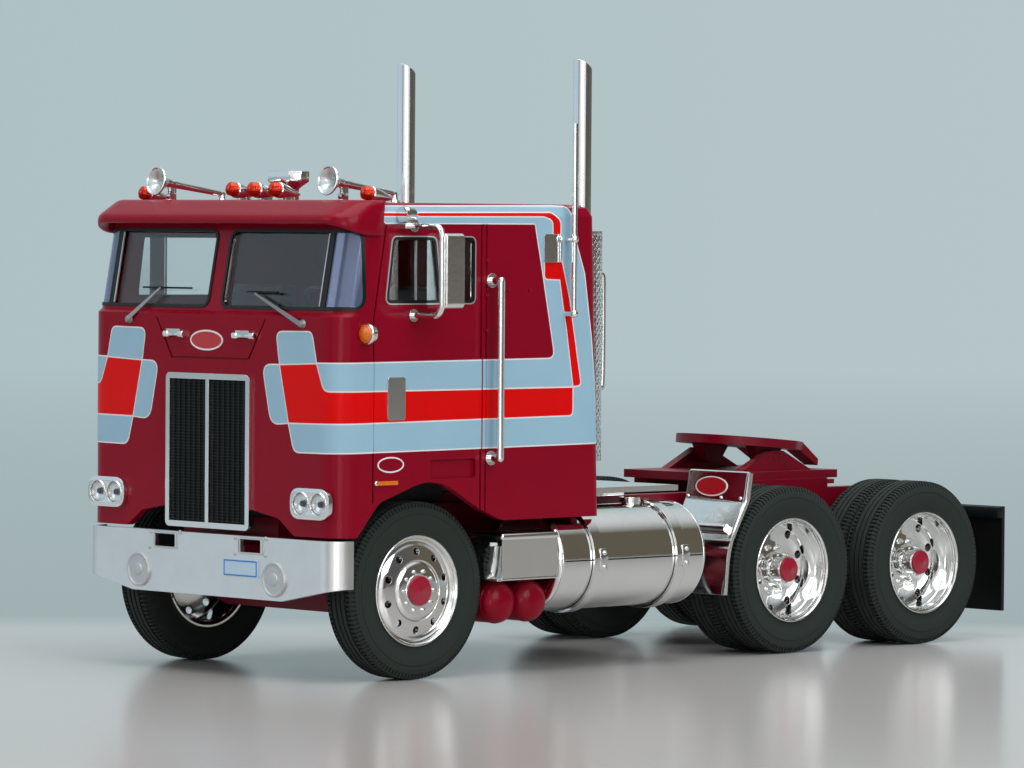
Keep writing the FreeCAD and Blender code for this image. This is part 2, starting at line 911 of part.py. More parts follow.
BEAM_LOW = S.tyre_radius - S.beam_drop
BEAM_HIGH = BEAM_LOW + S.beam_thickness
BEAM_END = S.beam_half_length
NECK = S.beam_neck
beam_half = [
    (BEAM_END - NECK + 0.5, BEAM_LOW, S.beam_thickness / 3),
    (BEAM_END, BEAM_LOW + 0.4 * S.beam_thickness),
    (BEAM_END, BEAM_HIGH + 0.4 * S.beam_thickness),
    (BEAM_END - 0.6 * NECK, BEAM_HIGH + 0.4 * S.beam_thickness),
    (BEAM_END - NECK, BEAM_HIGH, S.beam_thickness / 4),
]
beam_corners = beam_half + [(-corner[0],) + corner[1:] for corner in reversed(beam_half)]
beam = extruded("beam", "XZ", -FRONT_AXLE - S.beam_width / 2, beam_corners, S.beam_width)
DRUM_END = FRONT_INNER - S.side_gap
drum = rod("drum", (BEAM_END - 0.5, FRONT_AXLE, S.tyre_radius), "X", DRUM_END - BEAM_END + 0.5, S.drum_radius)
spindle_end = FRONT_CAP - 2 * S.running_gap
spindle_foot = (BEAM_END - 1, FRONT_AXLE, S.tyre_radius)
spindle = rod("spindle", spindle_foot, "X", spindle_end - BEAM_END + 1, S.spindle_radius)
keep(fuse("front_axle_join", [beam] + both_sides([drum, spindle])), "front_axle")

# Rear axles: a housing that swells round its gears, a pinion nose, and a spindle each side

HOUSING_END = REAR_INNER + S.rim_wall - S.side_gap
rear_axles = []
for number, axle in enumerate(REAR_AXLES, start=1):
    swell = S.banjo_half_width + S.banjo_taper
    housing_corners = [
        (-HOUSING_END, ZERO),
        (-HOUSING_END, S.axle_tube_radius),
        (-swell, S.axle_tube_radius),
        (-S.banjo_half_width, S.banjo_radius, S.banjo_half_width / 2.4),
        (S.banjo_half_width, S.banjo_radius, S.banjo_half_width / 2.4),
        (swell, S.axle_tube_radius),
        (HOUSING_END, S.axle_tube_radius),
        (HOUSING_END, ZERO),
    ]
    housing = turned(f"housing{number}", "X", housing_corners, (ZERO, axle, S.tyre_radius))
    nose_start = axle - S.banjo_radius - S.pinion_nose
    nose = rod(f"pinion{number}", (0, nose_start, S.tyre_radius), "Y", S.banjo_radius, S.pinion_radius,
               S.pinion_radius * 1.4)
    pin_end = REAR_CAP - 2 * S.running_gap
    pin = rod(f"rear_spindle{number}", (HOUSING_END - 1, axle, S.tyre_radius), "X", pin_end - HOUSING_END + 1,
              S.spindle_radius)
    rear_axles.append(fuse(f"rear_axle{number}", [housing, nose] + both_sides([pin])))
keep(fuse("rear_axles_join", rear_axles), "rear_axles")


def leaf_spring(name, axle, seat, reach):
    """A leaf spring that stands on an axle under one rail and bows up to an eye at each end."""
    low = RAIL_LOW - S.spring_leaf * 0.5
    half = [
        (S.spring_seat, seat),
        (reach, low),
        (reach, RAIL_LOW),
        (reach - S.spring_eye, RAIL_LOW),
        (reach - S.spring_eye, low + S.spring_leaf * 0.45),
        (S.spring_seat, seat + S.spring_leaf),
    ]
    ahead = [(axle + along, up) for along, up in half]
    behind = [(axle - along, up) for along, up in reversed(half)]
    return extruded(name, "YZ", S.rail_half_width - S.spring_width, ahead + behind, S.spring_width)


springs = [leaf_spring("front_spring", FRONT_AXLE, BEAM_HIGH, S.front_spring_reach)]
for number, axle in enumerate(REAR_AXLES, start=1):
    seat_height = S.tyre_radius + S.axle_tube_radius
    springs.append(leaf_spring(f"rear_spring{number}", axle, seat_height, S.rear_spring_reach))
keep(fuse("spring_join", both_sides(springs)), "leaf_springs")

# Engine, gearbox and drive shafts

ENGINE_LOW = BEAM_HIGH + S.engine_clearance
ENGINE_REAR = FRONT_AXLE - S.engine_lead + S.engine_length
engine = block(
    "engine",
    (-S.engine_half_width, FRONT_AXLE - S.engine_lead, ENGINE_LOW),
    (S.engine_half_width, ENGINE_REAR, ENGINE_LOW + S.engine_height),
)
keep(engine, "engine_block")
GEARBOX_HEIGHT = S.tyre_radius + S.gearbox_tail * 0.75
gearbox_foot = (0, ENGINE_REAR, GEARBOX_HEIGHT)
gearbox = rod("gearbox", gearbox_foot, "Y", S.gearbox_length, S.gearbox_radius, S.gearbox_tail)
shaft_end = REAR_AXLES[0] - S.banjo_radius - S.pinion_nose
shaft = rod("shaft", (0, ENGINE_REAR, S.tyre_radius), "Y", shaft_end - ENGINE_REAR, S.shaft_radius)
link_start = REAR_AXLES[0] + S.banjo_radius
link = rod("link", (0, link_start, S.tyre_radius), "Y", S.tandem_spread - 2 * S.banjo_radius - S.pinion_nose,
           S.shaft_radius)
keep(fuse("driveline_join", [gearbox, shaft, link]), "drive_line")

# Cab casting: flat walls that lean a little, a rounded roof edge, and openings for windows, grille and wheels

LEVELS = [
    ("low", S.cab_low, CAB_FRONT),
    ("waist", CAB_WAIST, CAB_FRONT),
    ("screen", SCREEN_LOW, front_at(SCREEN_LOW)),
    ("shoulder", SHOULDER, front_at(SHOULDER)),
]
ROOF_FRONT = front_at(SHOULDER)
ROOF_MID = CAB_TOP - S.roof_round * 0.3
OUTSIDE = S.cab_half_width + S.cab_wall
ACROSS = 2 * OUTSIDE


def cab_plan(body, name, height, front, rear, inset=0):
    """The cab's plan at one height, moved in by inset."""
    half = S.cab_half_width - inset
    corners = [
        (-half, front + inset, S.cab_corner - inset),
        (half, front + inset, S.cab_corner - inset),
        (half, rear - inset, S.cab_rear_corner - inset * 0.5),
        (-half, rear - inset, S.cab_rear_corner - inset * 0.5),
    ]
    return outline(new_sketch(body, name, "XY", height), corners)


def roof_plan(body, name, height, rear, inset):
    """The roof's plan at one height, moved in by inset with its corners kept round."""
    half = S.cab_half_width - inset
    corners = [
        (-half, ROOF_FRONT + inset, S.cab_corner - inset),
        (half, ROOF_FRONT + inset, S.cab_corner - inset),
        (half, rear - inset, S.cab_rear_corner),
        (-half, rear - inset, S.cab_rear_corner),
    ]
    return outline(new_sketch(body, name, "XY", height), corners)


def cab_form(name):
    """A body with the cab's outer form, not yet hollow."""
    body = new_body(name)
    walls = [
        cab_plan(body, f"{name}_{level}", height, front, rear_at(height))
        for level, height, front in LEVELS
    ]
    loft(body, walls)
    rounds = [(SHOULDER, ZERO), (ROOF_MID, S.roof_round * 0.3), (CAB_TOP, S.roof_round)]
    roof = [
        roof_plan(body, f"{name}_roof{i}", height, rear_at(height), inset)
        for i, (height, inset) in enumerate(rounds)
    ]
    loft(body, roof)
    return body


shell = cab_form("shell")
UNDER = S.cab_low - S.cab_wall
CEILING = CAB_TOP - S.cab_wall
hollow = [
    cab_plan(shell, "hollow_low", UNDER, CAB_FRONT, rear_at(UNDER), S.cab_wall),
    cab_plan(shell, "hollow_waist", CAB_WAIST, CAB_FRONT, rear_at(CAB_WAIST), S.cab_wall),
    cab_plan(shell, "hollow_screen", SCREEN_LOW, front_at(SCREEN_LOW), rear_at(SCREEN_LOW), S.cab_wall),
    cab_plan(shell, "hollow_top", CEILING, front_at(CEILING), rear_at(CEILING), S.cab_wall),
]
loft(shell, hollow, subtract=True)

arch = outline(
    new_sketch(shell, "arch", "YZ"),
    [
        (FRONT_AXLE - S.arch_front, UNDER),
        (FRONT_AXLE - S.arch_front, S.cab_low),
        (FRONT_AXLE - S.arch_shoulder, S.cab_low + S.arch_shoulder_rise, S.arch_shoulder_round),
        (FRONT_AXLE + S.arch_peak, S.tyre_radius + S.arch_rise, S.arch_peak_round),
        (FRONT_AXLE + S.arch_heel, SILL + S.sill_rise, S.arch_heel_round),
        (FRONT_AXLE + S.arch_rear, SILL, S.arch_heel_round * 0.75),
        (CAB_REAR + S.cab_wall, SILL),
        (CAB_REAR + S.cab_wall, UNDER),
    ],
)
pocket(shell, arch, ACROSS, middle=True)

# The frame, the tanks and their straps pass under the rear wall
TANK_SPREAD = S.rail_half_width + S.tank_gap + S.tank_radius
TANK_HEIGHT = S.rail_top - S.tank_drop
rear_wall = box_outline(
    new_sketch(shell, "rear_notch", "XZ", -CAB_REAR - S.cab_wall),
    (-S.cab_half_width + 1.1 * S.cab_wall, UNDER),
    (S.cab_half_width - 1.1 * S.cab_wall, S.rail_top + S.side_gap * 2),
)
pocket(shell, rear_wall, 3 * S.cab_wall, backwards=True)

# Each windscreen pane runs from the centre pillar round the corner of the cab
PANE_LOW = SCREEN_LOW + S.window_margin
PANE_HIGH = SCREEN_HIGH - S.window_margin
PANE_BEND = S.cab_half_width - S.cab_corner
PANE_REAR = CAB_FRONT + S.screen_wrap
PANE_FRONT = CAB_FRONT - S.cab_wall
DOOR_FRONT = CAB_FRONT + S.door_window_setback
DOOR_REAR = DOOR_FRONT + S.door_window_length
DOOR_LOW = SCREEN_LOW + S.door_window_sill
DOOR_HIGH = DOOR_LOW + S.door_window_height


def pane_front(gap, side=1):
    """The front part of a pane's outline, gap smaller all round, as (x, z) corners."""
    inner = side * (S.pillar_half_width + gap)
    outer = side * PANE_BEND
    corners = [
        (inner, PANE_LOW + gap, S.window_round),
        (outer, PANE_LOW + gap),
        (outer, PANE_HIGH - gap),
        (inner, PANE_HIGH - gap, S.window_round),
    ]
    return corners if side > 0 else corners[::-1]


def pane_side(gap):
    """The part of a pane's outline that lies round the corner, as (y, z) corners."""
    return [
        (PANE_FRONT, PANE_LOW + gap),
        (PANE_REAR - gap, PANE_LOW + gap, S.window_round),
        (PANE_REAR - gap, PANE_HIGH - gap, S.window_round),
        (PANE_FRONT, PANE_HIGH - gap),
    ]


def door_pane(gap):
    """The outline of a door window, gap smaller all round, as (y, z) corners."""
    radius = S.door_window_round
    return [
        (DOOR_FRONT + gap, DOOR_LOW + gap, radius),
        (DOOR_REAR - gap, DOOR_LOW + gap, radius),
        (DOOR_REAR - gap, DOOR_HIGH - gap, radius),
        (DOOR_FRONT + S.door_window_slant + gap, DOOR_HIGH - gap, radius),
    ]


for side, side_name in ((1, "left"), (-1, "right")):
    front_sketch = new_sketch(shell, f"pane_front_{side_name}", "XZ", -PANE_REAR)
    front_part = outline(front_sketch, pane_front(ZERO, side))
    pocket(shell, front_part, S.screen_wrap + S.cab_wall, backwards=True)
    side_sketch = new_sketch(shell, f"pane_side_{side_name}", "YZ", side * (PANE_BEND - S.cab_wall / 2))
    pocket(shell, outline(side_sketch, pane_side(ZERO)), S.cab_corner + 2 * S.cab_wall, backwards=side > 0)
pocket(shell, outline(new_sketch(shell, "door_windows", "YZ"), door_pane(ZERO)), ACROSS, middle=True)

# The front panel is open behind the grille, and its lower edge steps up beside it
GRILLE_LOW = S.cab_low + S.grille_rise
GRILLE_HIGH = GRILLE_LOW + S.grille_height
GRILLE_EDGE = S.grille_half_width - S.grille_lap
grille_hole = box_outline(
    new_sketch(shell, "grille_hole", "XZ", -CAB_FRONT - 2 * S.cab_wall),
    (-GRILLE_EDGE, UNDER),
    (GRILLE_EDGE, GRILLE_HIGH - S.grille_lap),
)
pocket(shell, grille_hole, 3 * S.cab_wall, backwards=True)
notch_half = [
    (S.grille_half_width, S.cab_low + S.front_notch_rise, S.front_notch_round),
    (S.front_notch_half - S.front_notch_rise, S.cab_low + S.front_notch_rise * 0.7, S.front_notch_round),
    (S.front_notch_half, S.cab_low),
    (S.front_notch_half, UNDER),
]
notch_corners = notch_half + [(-corner[0],) + corner[1:] for corner in reversed(notch_half)]
front_edge = outline(new_sketch(shell, "front_edge", "XZ", -CAB_FRONT - 2 * S.cab_wall), notch_corners)
pocket(shell, front_edge, 3 * S.cab_wall, backwards=True)

# Seams: the hatch in the nose, the doors with their double rear bead, and the step recess below them
HATCH_LOW = GRILLE_HIGH + S.hatch_lift
HATCH_HIGH = CAB_WAIST - S.hatch_lift / 4
hatch = [
    (-S.hatch_top_half, HATCH_HIGH),
    (-S.hatch_foot_half, HATCH_LOW),
    (S.hatch_foot_half, HATCH_LOW),
    (S.hatch_top_half, HATCH_HIGH),
    (S.hatch_top_half - S.seam_width, HATCH_HIGH),
    (S.hatch_foot_half - S.seam_width, HATCH_LOW + S.seam_width),
    (-S.hatch_foot_half + S.seam_width, HATCH_LOW + S.seam_width),
    (-S.hatch_top_half + S.seam_width, HATCH_HIGH),
]
pocket(shell, outline(new_sketch(shell, "hatch_seam", "XZ", -CAB_FRONT - S.seam_depth), hatch), S.cab_wall,
       backwards=True)
SEAM_FRONT = CAB_FRONT + S.door_setback
SEAM_REAR = SEAM_FRONT + S.door_length
SEAM_TOP = CAB_TOP - S.door_top_gap
SEAM_FOOT = SILL + S.sill_rise / 2
door_seam = [
    (SEAM_FRONT, S.cab_low + S.arch_shoulder_rise),
    (SEAM_FRONT + S.seam_width, S.cab_low + S.arch_shoulder_rise),
    (SEAM_FRONT + S.seam_width, CAB_WAIST),
    (SEAM_FRONT + S.door_slant + S.seam_width, SEAM_TOP - S.seam_width),
    (SEAM_REAR - S.seam_width, SEAM_TOP - S.seam_width),
    (SEAM_REAR - S.seam_width, SEAM_FOOT),
    (SEAM_REAR, SEAM_FOOT),
    (SEAM_REAR, SEAM_TOP),
    (SEAM_FRONT + S.door_slant, SEAM_TOP),
    (SEAM_FRONT, CAB_WAIST),
]
BEAD = SEAM_REAR + S.bead_width
bead_seam = [
    (BEAD, SEAM_FOOT),
    (BEAD + S.seam_width, SEAM_FOOT),
    (BEAD + S.seam_width, SEAM_TOP),
    (BEAD, SEAM_TOP),
]
STEP_REAR = SEAM_REAR - S.seam_width * 4
STEP_LOW = S.cab_low + S.step_recess_rise
step_recess = [
    (STEP_REAR - S.step_recess_length, STEP_LOW, S.door_window_round / 2),
    (STEP_REAR, STEP_LOW, S.door_window_round / 2),
    (STEP_REAR, STEP_LOW + S.step_recess_height, S.door_window_round / 2),
    (STEP_REAR - S.step_recess_length, STEP_LOW + S.step_recess_height, S.door_window_round / 2),
]
for side, side_name in ((1, "left"), (-1, "right")):
    for name, corners, depth in (
        ("door_seam", door_seam, S.seam_depth),
        ("bead_seam", bead_seam, S.seam_depth),
        ("step_recess", step_recess, S.step_recess_depth),
    ):
        seam_sketch = new_sketch(shell, f"{name}_{side_name}", "YZ", side * (S.cab_half_width - depth))
        pocket(shell, outline(seam_sketch, corners), S.cab_wall, backwards=side > 0)
keep(shell, "cab_shell")

# Sun visor: a thin peak that slopes from the roof to a short lip and wraps round the windscreen's corners
VISOR_LOW = CAB_TOP - S.visor_drop
VISOR_LIP = VISOR_LOW + S.visor_lip
VISOR_EAR = VISOR_LOW - S.visor_ear_drop
VISOR_REAR = CAB_FRONT + S.visor_length
VISOR_TOP = CAB_TOP + S.visor_skin


def visor_plan(body, name, height, reach, side, rear=VISOR_REAR):
    """The visor's plan at one height: reach ahead of the roof's edge, and side out from the cab's sides."""
    half = S.cab_half_width + side
    corners = [
        (-half, ROOF_FRONT - reach, S.cab_corner + side),
        (half, ROOF_FRONT - reach, S.cab_corner + side),
        (half, rear),
        (-half, rear),
    ]
    return outline(new_sketch(body, name, "XY", height), corners)


visor = new_body("visor_body")
BROW_HEIGHT = ROOF_MID + S.visor_skin
BROW_REACH = S.visor_reach - (BROW_HEIGHT - VISOR_LIP) * 1.9
loft(visor, [
    visor_plan(visor, "visor_ear", VISOR_EAR, S.visor_reach, S.visor_side),
    visor_plan(visor, "visor_lip", VISOR_LIP, S.visor_reach, S.visor_side),
    visor_plan(visor, "visor_brow", BROW_HEIGHT, BROW_REACH, S.visor_side / 4),
    visor_plan(visor, "visor_top", VISOR_TOP, -S.roof_round, -S.roof_round * 0.9),
])
inside_reach = S.visor_reach - S.visor_wall
inside_side = S.visor_side - S.visor_wall
inside_top = ROOF_MID - S.visor_wall / 2
loft(
    visor,
    [
        visor_plan(visor, "visor_in_low", VISOR_EAR - S.visor_wall, inside_reach, inside_side, CAB_REAR),
        visor_plan(visor, "visor_in_lip", VISOR_LIP - S.visor_wall / 2, inside_reach, inside_side, CAB_REAR),
        visor_plan(visor, "visor_in_top", inside_top, -S.visor_wall / 3, inside_side, CAB_REAR),
    ],
    subtract=True,
)
visor_side = extruded(
    "visor_side",
    "YZ",
    ZERO,
    [
        (CAB_FRONT - S.visor_length, VISOR_LOW),
        (CAB_FRONT + S.visor_length * 0.35, VISOR_LOW),
        (CAB_FRONT + S.visor_length * 0.7, VISOR_EAR, S.visor_lip),
        (VISOR_REAR, VISOR_EAR + S.visor_lip / 2),
        (ROOF_FRONT + S.roof_round + S.visor_lip, VISOR_TOP + S.visor_lip),
        (CAB_FRONT - S.visor_length, VISOR_TOP + S.visor_lip),
    ],
    ACROSS,
    middle=True,
)
keep(cut("visor_seated", common("visor_trimmed", visor, visor_side), cab_form("cab_copy")), "sun_visor")

# Window glass: a thin skin inside the walls, cut to the openings
glass = new_body("glass_body")
GLASS_LOW = SCREEN_LOW + S.glass_inset
GLASS_HIGH = SCREEN_HIGH - S.glass_inset


def glass_plan(name, height, inset):
    """The plan of the glass at one height."""
    return cab_plan(glass, name, height, front_at(height), rear_at(height), inset)


glass_low = glass_plan("glass_low", GLASS_LOW, S.glass_inset)
glass_high = glass_plan("glass_high", GLASS_HIGH, S.glass_inset)
loft(glass, [glass_low, glass_high])
glass_inside = S.glass_inset + S.glass_thickness
loft(
    glass,
    [
        glass_plan("glass_in_low", GLASS_LOW - S.cab_wall, glass_inside),
        glass_plan("glass_in_high", GLASS_HIGH + S.cab_wall, glass_inside),
    ],
    subtract=True,
)
pane_ahead = extruded("pane_ahead", "XZ", -PANE_REAR, pane_front(S.glass_gap), S.screen_wrap + S.cab_wall)
pane_round = extruded("pane_round", "YZ", PANE_BEND - S.cab_wall / 2, pane_side(S.glass_gap),
                      S.cab_corner + S.cab_wall)
screen_left = common("screen_left", glass, fuse("pane_zone", [pane_ahead, pane_round]))
keep(fuse("screens", both_sides([screen_left])), "windscreen")
door_zone = extruded("door_zone", "YZ", S.cab_half_width - S.cab_wall, door_pane(S.glass_gap), S.cab_wall)
door_left = common("door_glass_left", glass, door_zone)
keep(fuse("door_panes", both_sides([door_left])), "door_glass")

# Inside of the cab: a tub with floor, bunk and dash, two seats, and the steering wheel on its column
FLOOR = S.cab_low + S.floor_rise
DECKING = FLOOR + S.floor_thickness
BUNK = FLOOR + S.bunk_rise
TUB_INSET = S.cab_wall + S.tub_gap
TUB_FRONT = CAB_FRONT + TUB_INSET
TUB_REAR = rear_at(BUNK + S.floor_thickness) - TUB_INSET
BUNK_FRONT = CAB_FRONT + S.bunk_setback
DASH_TOP = SCREEN_LOW - S.glass_inset
DASH_REAR = TUB_FRONT + S.dash_depth
WHEEL_TURN = FreeCAD.Rotation(FreeCAD.Vector(-1, 0, 0), S.wheel_tilt.value)
WHEEL_PLACE = FreeCAD.Placement(FreeCAD.Vector(), WHEEL_TURN)
SEAT_SPREAD = S.cab_half_width - S.seat_inset
WHEEL_AT = (SEAT_SPREAD, CAB_FRONT + S.wheel_setback, SCREEN_LOW + S.glass_inset)
tub = extruded(
    "tub",
    "YZ",
    ZERO,
    [
        (TUB_FRONT, FLOOR),
        (BUNK_FRONT + S.floor_thickness, FLOOR),
        (BUNK_FRONT + S.floor_thickness, BUNK),
        (TUB_REAR, BUNK),
        (TUB_REAR, BUNK + S.floor_thickness),
        (BUNK_FRONT, BUNK + S.floor_thickness),
        (BUNK_FRONT, DECKING),
        (DASH_REAR, DECKING),
        (DASH_REAR - S.floor_thickness, DASH_TOP - S.floor_thickness * 2, S.floor_thickness),
        (DASH_REAR - S.dash_depth / 2, DASH_TOP, S.floor_thickness),
        (TUB_FRONT, DASH_TOP - S.floor_thickness),
    ],
    2 * (S.cab_half_width - TUB_INSET),
    middle=True,
)
tub_room = new_body("tub_room")
TUB_FOOT = FLOOR - S.floor_thickness
tub_plan = cab_plan(tub_room, "tub_plan", TUB_FOOT, CAB_FRONT, TUB_REAR + TUB_INSET, TUB_INSET)
pad(tub_room, tub_plan, CAB_TOP - FLOOR)
column_room = new_body("column_room")
column_sketch = new_sketch(column_room, "column_circle", "XY")
circle(column_sketch, 0, 0, S.column_radius + S.running_gap * 2)
pad(column_room, column_sketch, S.column_length + S.running_gap * 2, backwards=True)
column_room.Placement = WHEEL_PLACE
place(column_room, WHEEL_AT)
keep(cut("tub_bored", common("tub_trimmed", tub, tub_room), column_room), "cab_interior")

SEAT_FRONT = CAB_FRONT + S.seat_setback
SEAT_CUSHION = S.seat_height * 0.38
seat = extruded(
    "seat",
    "YZ",
    SEAT_SPREAD - S.seat_width / 2,
    [
        (SEAT_FRONT + S.seat_height * 0.1, DECKING),
        (SEAT_FRONT + S.seat_width, DECKING),
        (SEAT_FRONT + S.seat_width, DECKING + SEAT_CUSHION * 0.6),
        (SEAT_FRONT + S.seat_width * 1.25, DECKING + S.seat_height, S.seat_round),
        (SEAT_FRONT + S.seat_width * 0.95, DECKING + S.seat_height, S.seat_round),
        (SEAT_FRONT + S.seat_width * 0.75, DECKING + SEAT_CUSHION, S.seat_round / 2),
        (SEAT_FRONT, DECKING + SEAT_CUSHION, S.seat_round),
        (SEAT_FRONT, DECKING + SEAT_CUSHION * 0.55, S.seat_round),
        (SEAT_FRONT + S.seat_height * 0.1, DECKING + SEAT_CUSHION * 0.5),
    ],
    S.seat_width,
)
keep(fuse("seat_row", both_sides([seat])), "seats")

steering = new_body("steering_body")
ring_sketch = circle(new_sketch(steering, "wheel_ring", "YZ"), S.wheel_ring_radius, 0, S.wheel_rim_radius)
spin(steering, ring_sketch, "Z")
spoke_half = S.wheel_rim_radius / 2
spokes = box_outline(
    new_sketch(steering, "wheel_spokes", "XY", -spoke_half),
    (-S.wheel_ring_radius, -S.wheel_rim_radius),
    (S.wheel_ring_radius, S.wheel_rim_radius),
)
pad(steering, spokes, S.wheel_rim_radius)
column = circle(new_sketch(steering, "wheel_column", "XY", spoke_half), 0, 0, S.column_radius)
pad(steering, column, S.column_length + spoke_half, backwards=True)
steering.Placement = WHEEL_PLACE
place(steering, WHEEL_AT)
keep(steering, "steering_wheel")

# Grille: a plated frame with a centre bar on the front panel, and a black panel with upright fins behind it
GRILLE_FACE = CAB_FRONT - S.grille_stand
WINDOW_LOW = GRILLE_LOW + S.grille_rim
WINDOW_HIGH = GRILLE_HIGH - S.grille_rim
WINDOW_EDGE = S.grille_half_width - S.grille_rim
grille = new_body("grille_body")
grille_sketch = new_sketch(grille, "grille_outline", "XZ", -GRILLE_FACE)
GRILLE_HALF = S.grille_half_width
box_outline(grille_sketch, (-GRILLE_HALF, GRILLE_LOW), (GRILLE_HALF, GRILLE_HIGH), S.grille_rim)
box_outline(grille_sketch, (-WINDOW_EDGE, WINDOW_LOW), (-S.grille_bar / 2, WINDOW_HIGH))
box_outline(grille_sketch, (S.grille_bar / 2, WINDOW_LOW), (WINDOW_EDGE, WINDOW_HIGH))
pad(grille, grille_sketch, S.grille_stand, backwards=True)
keep(grille, "grille_frame")
mesh_pieces = [
    block(
        "mesh_panel",
        (-GRILLE_EDGE + S.running_gap, CAB_FRONT, GRILLE_LOW + S.grille_lap),
        (
            GRILLE_EDGE - S.running_gap,
            CAB_FRONT + S.cab_wall * 0.6,
            GRILLE_HIGH - S.grille_lap - S.running_gap,
        ),
    )
]
for number in range(int(S.fin_count.value)):
    middle = S.grille_bar / 2 + S.fin_pitch * (number + 0.5)
    mesh_pieces += both_sides([
        block(
            f"fin{number}",
            (middle - S.fin_width / 2, GRILLE_FACE + S.grille_stand * 0.6, WINDOW_LOW + S.running_gap),
            (middle + S.fin_width / 2, CAB_FRONT, WINDOW_HIGH - S.running_gap),
        )
    ])
keep(fuse("mesh_join", mesh_pieces), "grille_mesh")

# Twin round headlamps in plated pods
LAMP_HEIGHT = S.cab_low + S.headlamp_rise
POD_FACE = CAB_FRONT - S.pod_depth
pod = new_body("pod_body")
pod_sketch = box_outline(
    new_sketch(pod, "pod_outline", "XZ", -CAB_FRONT),
    (S.headlamp_spread - S.pod_width / 2, LAMP_HEIGHT - S.pod_height / 2),
    (S.headlamp_spread + S.pod_width / 2, LAMP_HEIGHT + S.pod_height / 2),
    S.pod_round,
)
pad(pod, pod_sketch, S.pod_depth)
lamp_holes = new_sketch(pod, "lamp_holes", "XZ", -POD_FACE)
lenses = []
for number, side in enumerate((-1, 1)):
    across = S.headlamp_spread + side * S.lens_pitch / 2
    circle(lamp_holes, across, LAMP_HEIGHT, S.lens_radius + S.running_gap)
    lens_foot = (across, POD_FACE + S.pod_depth / 4, LAMP_HEIGHT)
    lenses.append(rod(f"lens{number}", lens_foot, "Y", S.pod_depth / 2, S.lens_radius))
pocket(pod, lamp_holes, S.pod_depth * 0.75)
keep(fuse("pods", both_sides([pod])), "headlamp_pods")
keep(fuse("lenses", both_sides(lenses)), "headlamp_lenses")

# Bumper: a plated bar with wrapped ends cut clear of the tyres, a lower edge that rises, and tow openings
BUMPER_BACK = NOSE + S.bumper_wrap
BUMPER_INSIDE = S.cab_half_width - S.bumper_wall
bumper = new_body("bumper_body")
bumper_plan = outline(
    new_sketch(bumper, "bumper_plan", "XY", BUMPER_LOW),
    [
        (-S.cab_half_width, BUMPER_BACK),
        (-S.cab_half_width, NOSE, S.bumper_corner),
        (S.cab_half_width, NOSE, S.bumper_corner),
        (S.cab_half_width, BUMPER_BACK),
        (BUMPER_INSIDE, BUMPER_BACK),
        (BUMPER_INSIDE, NOSE + S.bumper_wall, S.bumper_corner - S.bumper_wall),
        (-BUMPER_INSIDE, NOSE + S.bumper_wall, S.bumper_corner - S.bumper_wall),
        (-BUMPER_INSIDE, BUMPER_BACK),
    ],
)
pad(bumper, bumper_plan, S.bumper_height)
for side, side_name in ((1, "left"), (-1, "right")):
    corners = [
        (side * S.bumper_flat_half, BUMPER_LOW),
        (side * OUTSIDE, BUMPER_LOW),
        (side * OUTSIDE, BUMPER_LOW + S.bumper_end_rise),
    ]
    wedge = outline(new_sketch(bumper, f"wedge_{side_name}", "XZ", -NOSE + S.bumper_wall), corners[::side])
    pocket(bumper, wedge, S.bumper_wrap + 2 * S.bumper_wall)
    hook = box_outline(
        new_sketch(bumper, f"hook_{side_name}", "XZ", -NOSE + S.bumper_wall),
        (side * S.hook_spread - S.hook_width / 2, HOOK_LOW),
        (side * S.hook_spread + S.hook_width / 2, HOOK_LOW + S.hook_height),
        S.hook_round,
    )
    pocket(bumper, hook, 3 * S.bumper_wall)
keep(bumper, "bumper")
fog = rod("fog", (S.fog_spread, NOSE - S.fog_stand, BUMPER_LOW + S.fog_rise), "Y", S.fog_stand,
          S.fog_radius - S.fog_stand, S.fog_radius)
keep(fuse("fogs", both_sides([fog])), "fog_lamps")
PLATE_FOOT = BUMPER_LOW + S.plate_rise
plate_blank = block(
    "plate_blank",
    (S.plate_near, NOSE - S.plate_thickness, PLATE_FOOT),
    (S.plate_near + S.plate_width, NOSE, PLATE_FOOT + S.plate_height),
)
keep(plate_blank, "licence_plate")

# Horns: a flared bell with an open mouth, a tube, and two feet on the roof
HORN_FRONT = CAB_FRONT + S.horn_setback
HORN_HEIGHT = CAB_TOP + S.horn_stand
HORN_AT = (S.horn_spread, HORN_FRONT, HORN_HEIGHT)
FLARE = S.horn_bell * 0.6
horn_corners = [
    (FLARE * 1.4, ZERO),
    (FLARE * 1.1, S.horn_tube * 0.7),
    (FLARE * 0.3, S.horn_bell * 0.72),
    (ZERO, S.horn_bell - S.horn_lip),
    (ZERO, S.horn_bell),
    (S.horn_lip, S.horn_bell),
    (FLARE * 0.7, S.horn_bell * 0.7),
    (FLARE * 1.7, S.horn_tube * 1.5),
    (S.horn_length * 0.5, S.horn_tube * 1.15),
    (S.horn_length, S.horn_tube, S.horn_tube * 0.6),
    (S.horn_length, ZERO),
]
horn = turned("horn", "Y", horn_corners, HORN_AT)
feet = [
    block(
        f"horn_foot{number}",
        (S.horn_spread - S.horn_foot / 2, HORN_FRONT + S.horn_length * along, CAB_TOP),
        (S.horn_spread + S.horn_foot / 2, HORN_FRONT + S.horn_length * along + S.horn_foot, HORN_HEIGHT),
    )
    for number, along in enumerate((0.2, 0.8))
]
keep(fuse("horn_pair", both_sides([fuse("horn_left", [horn] + feet)])), "horns")

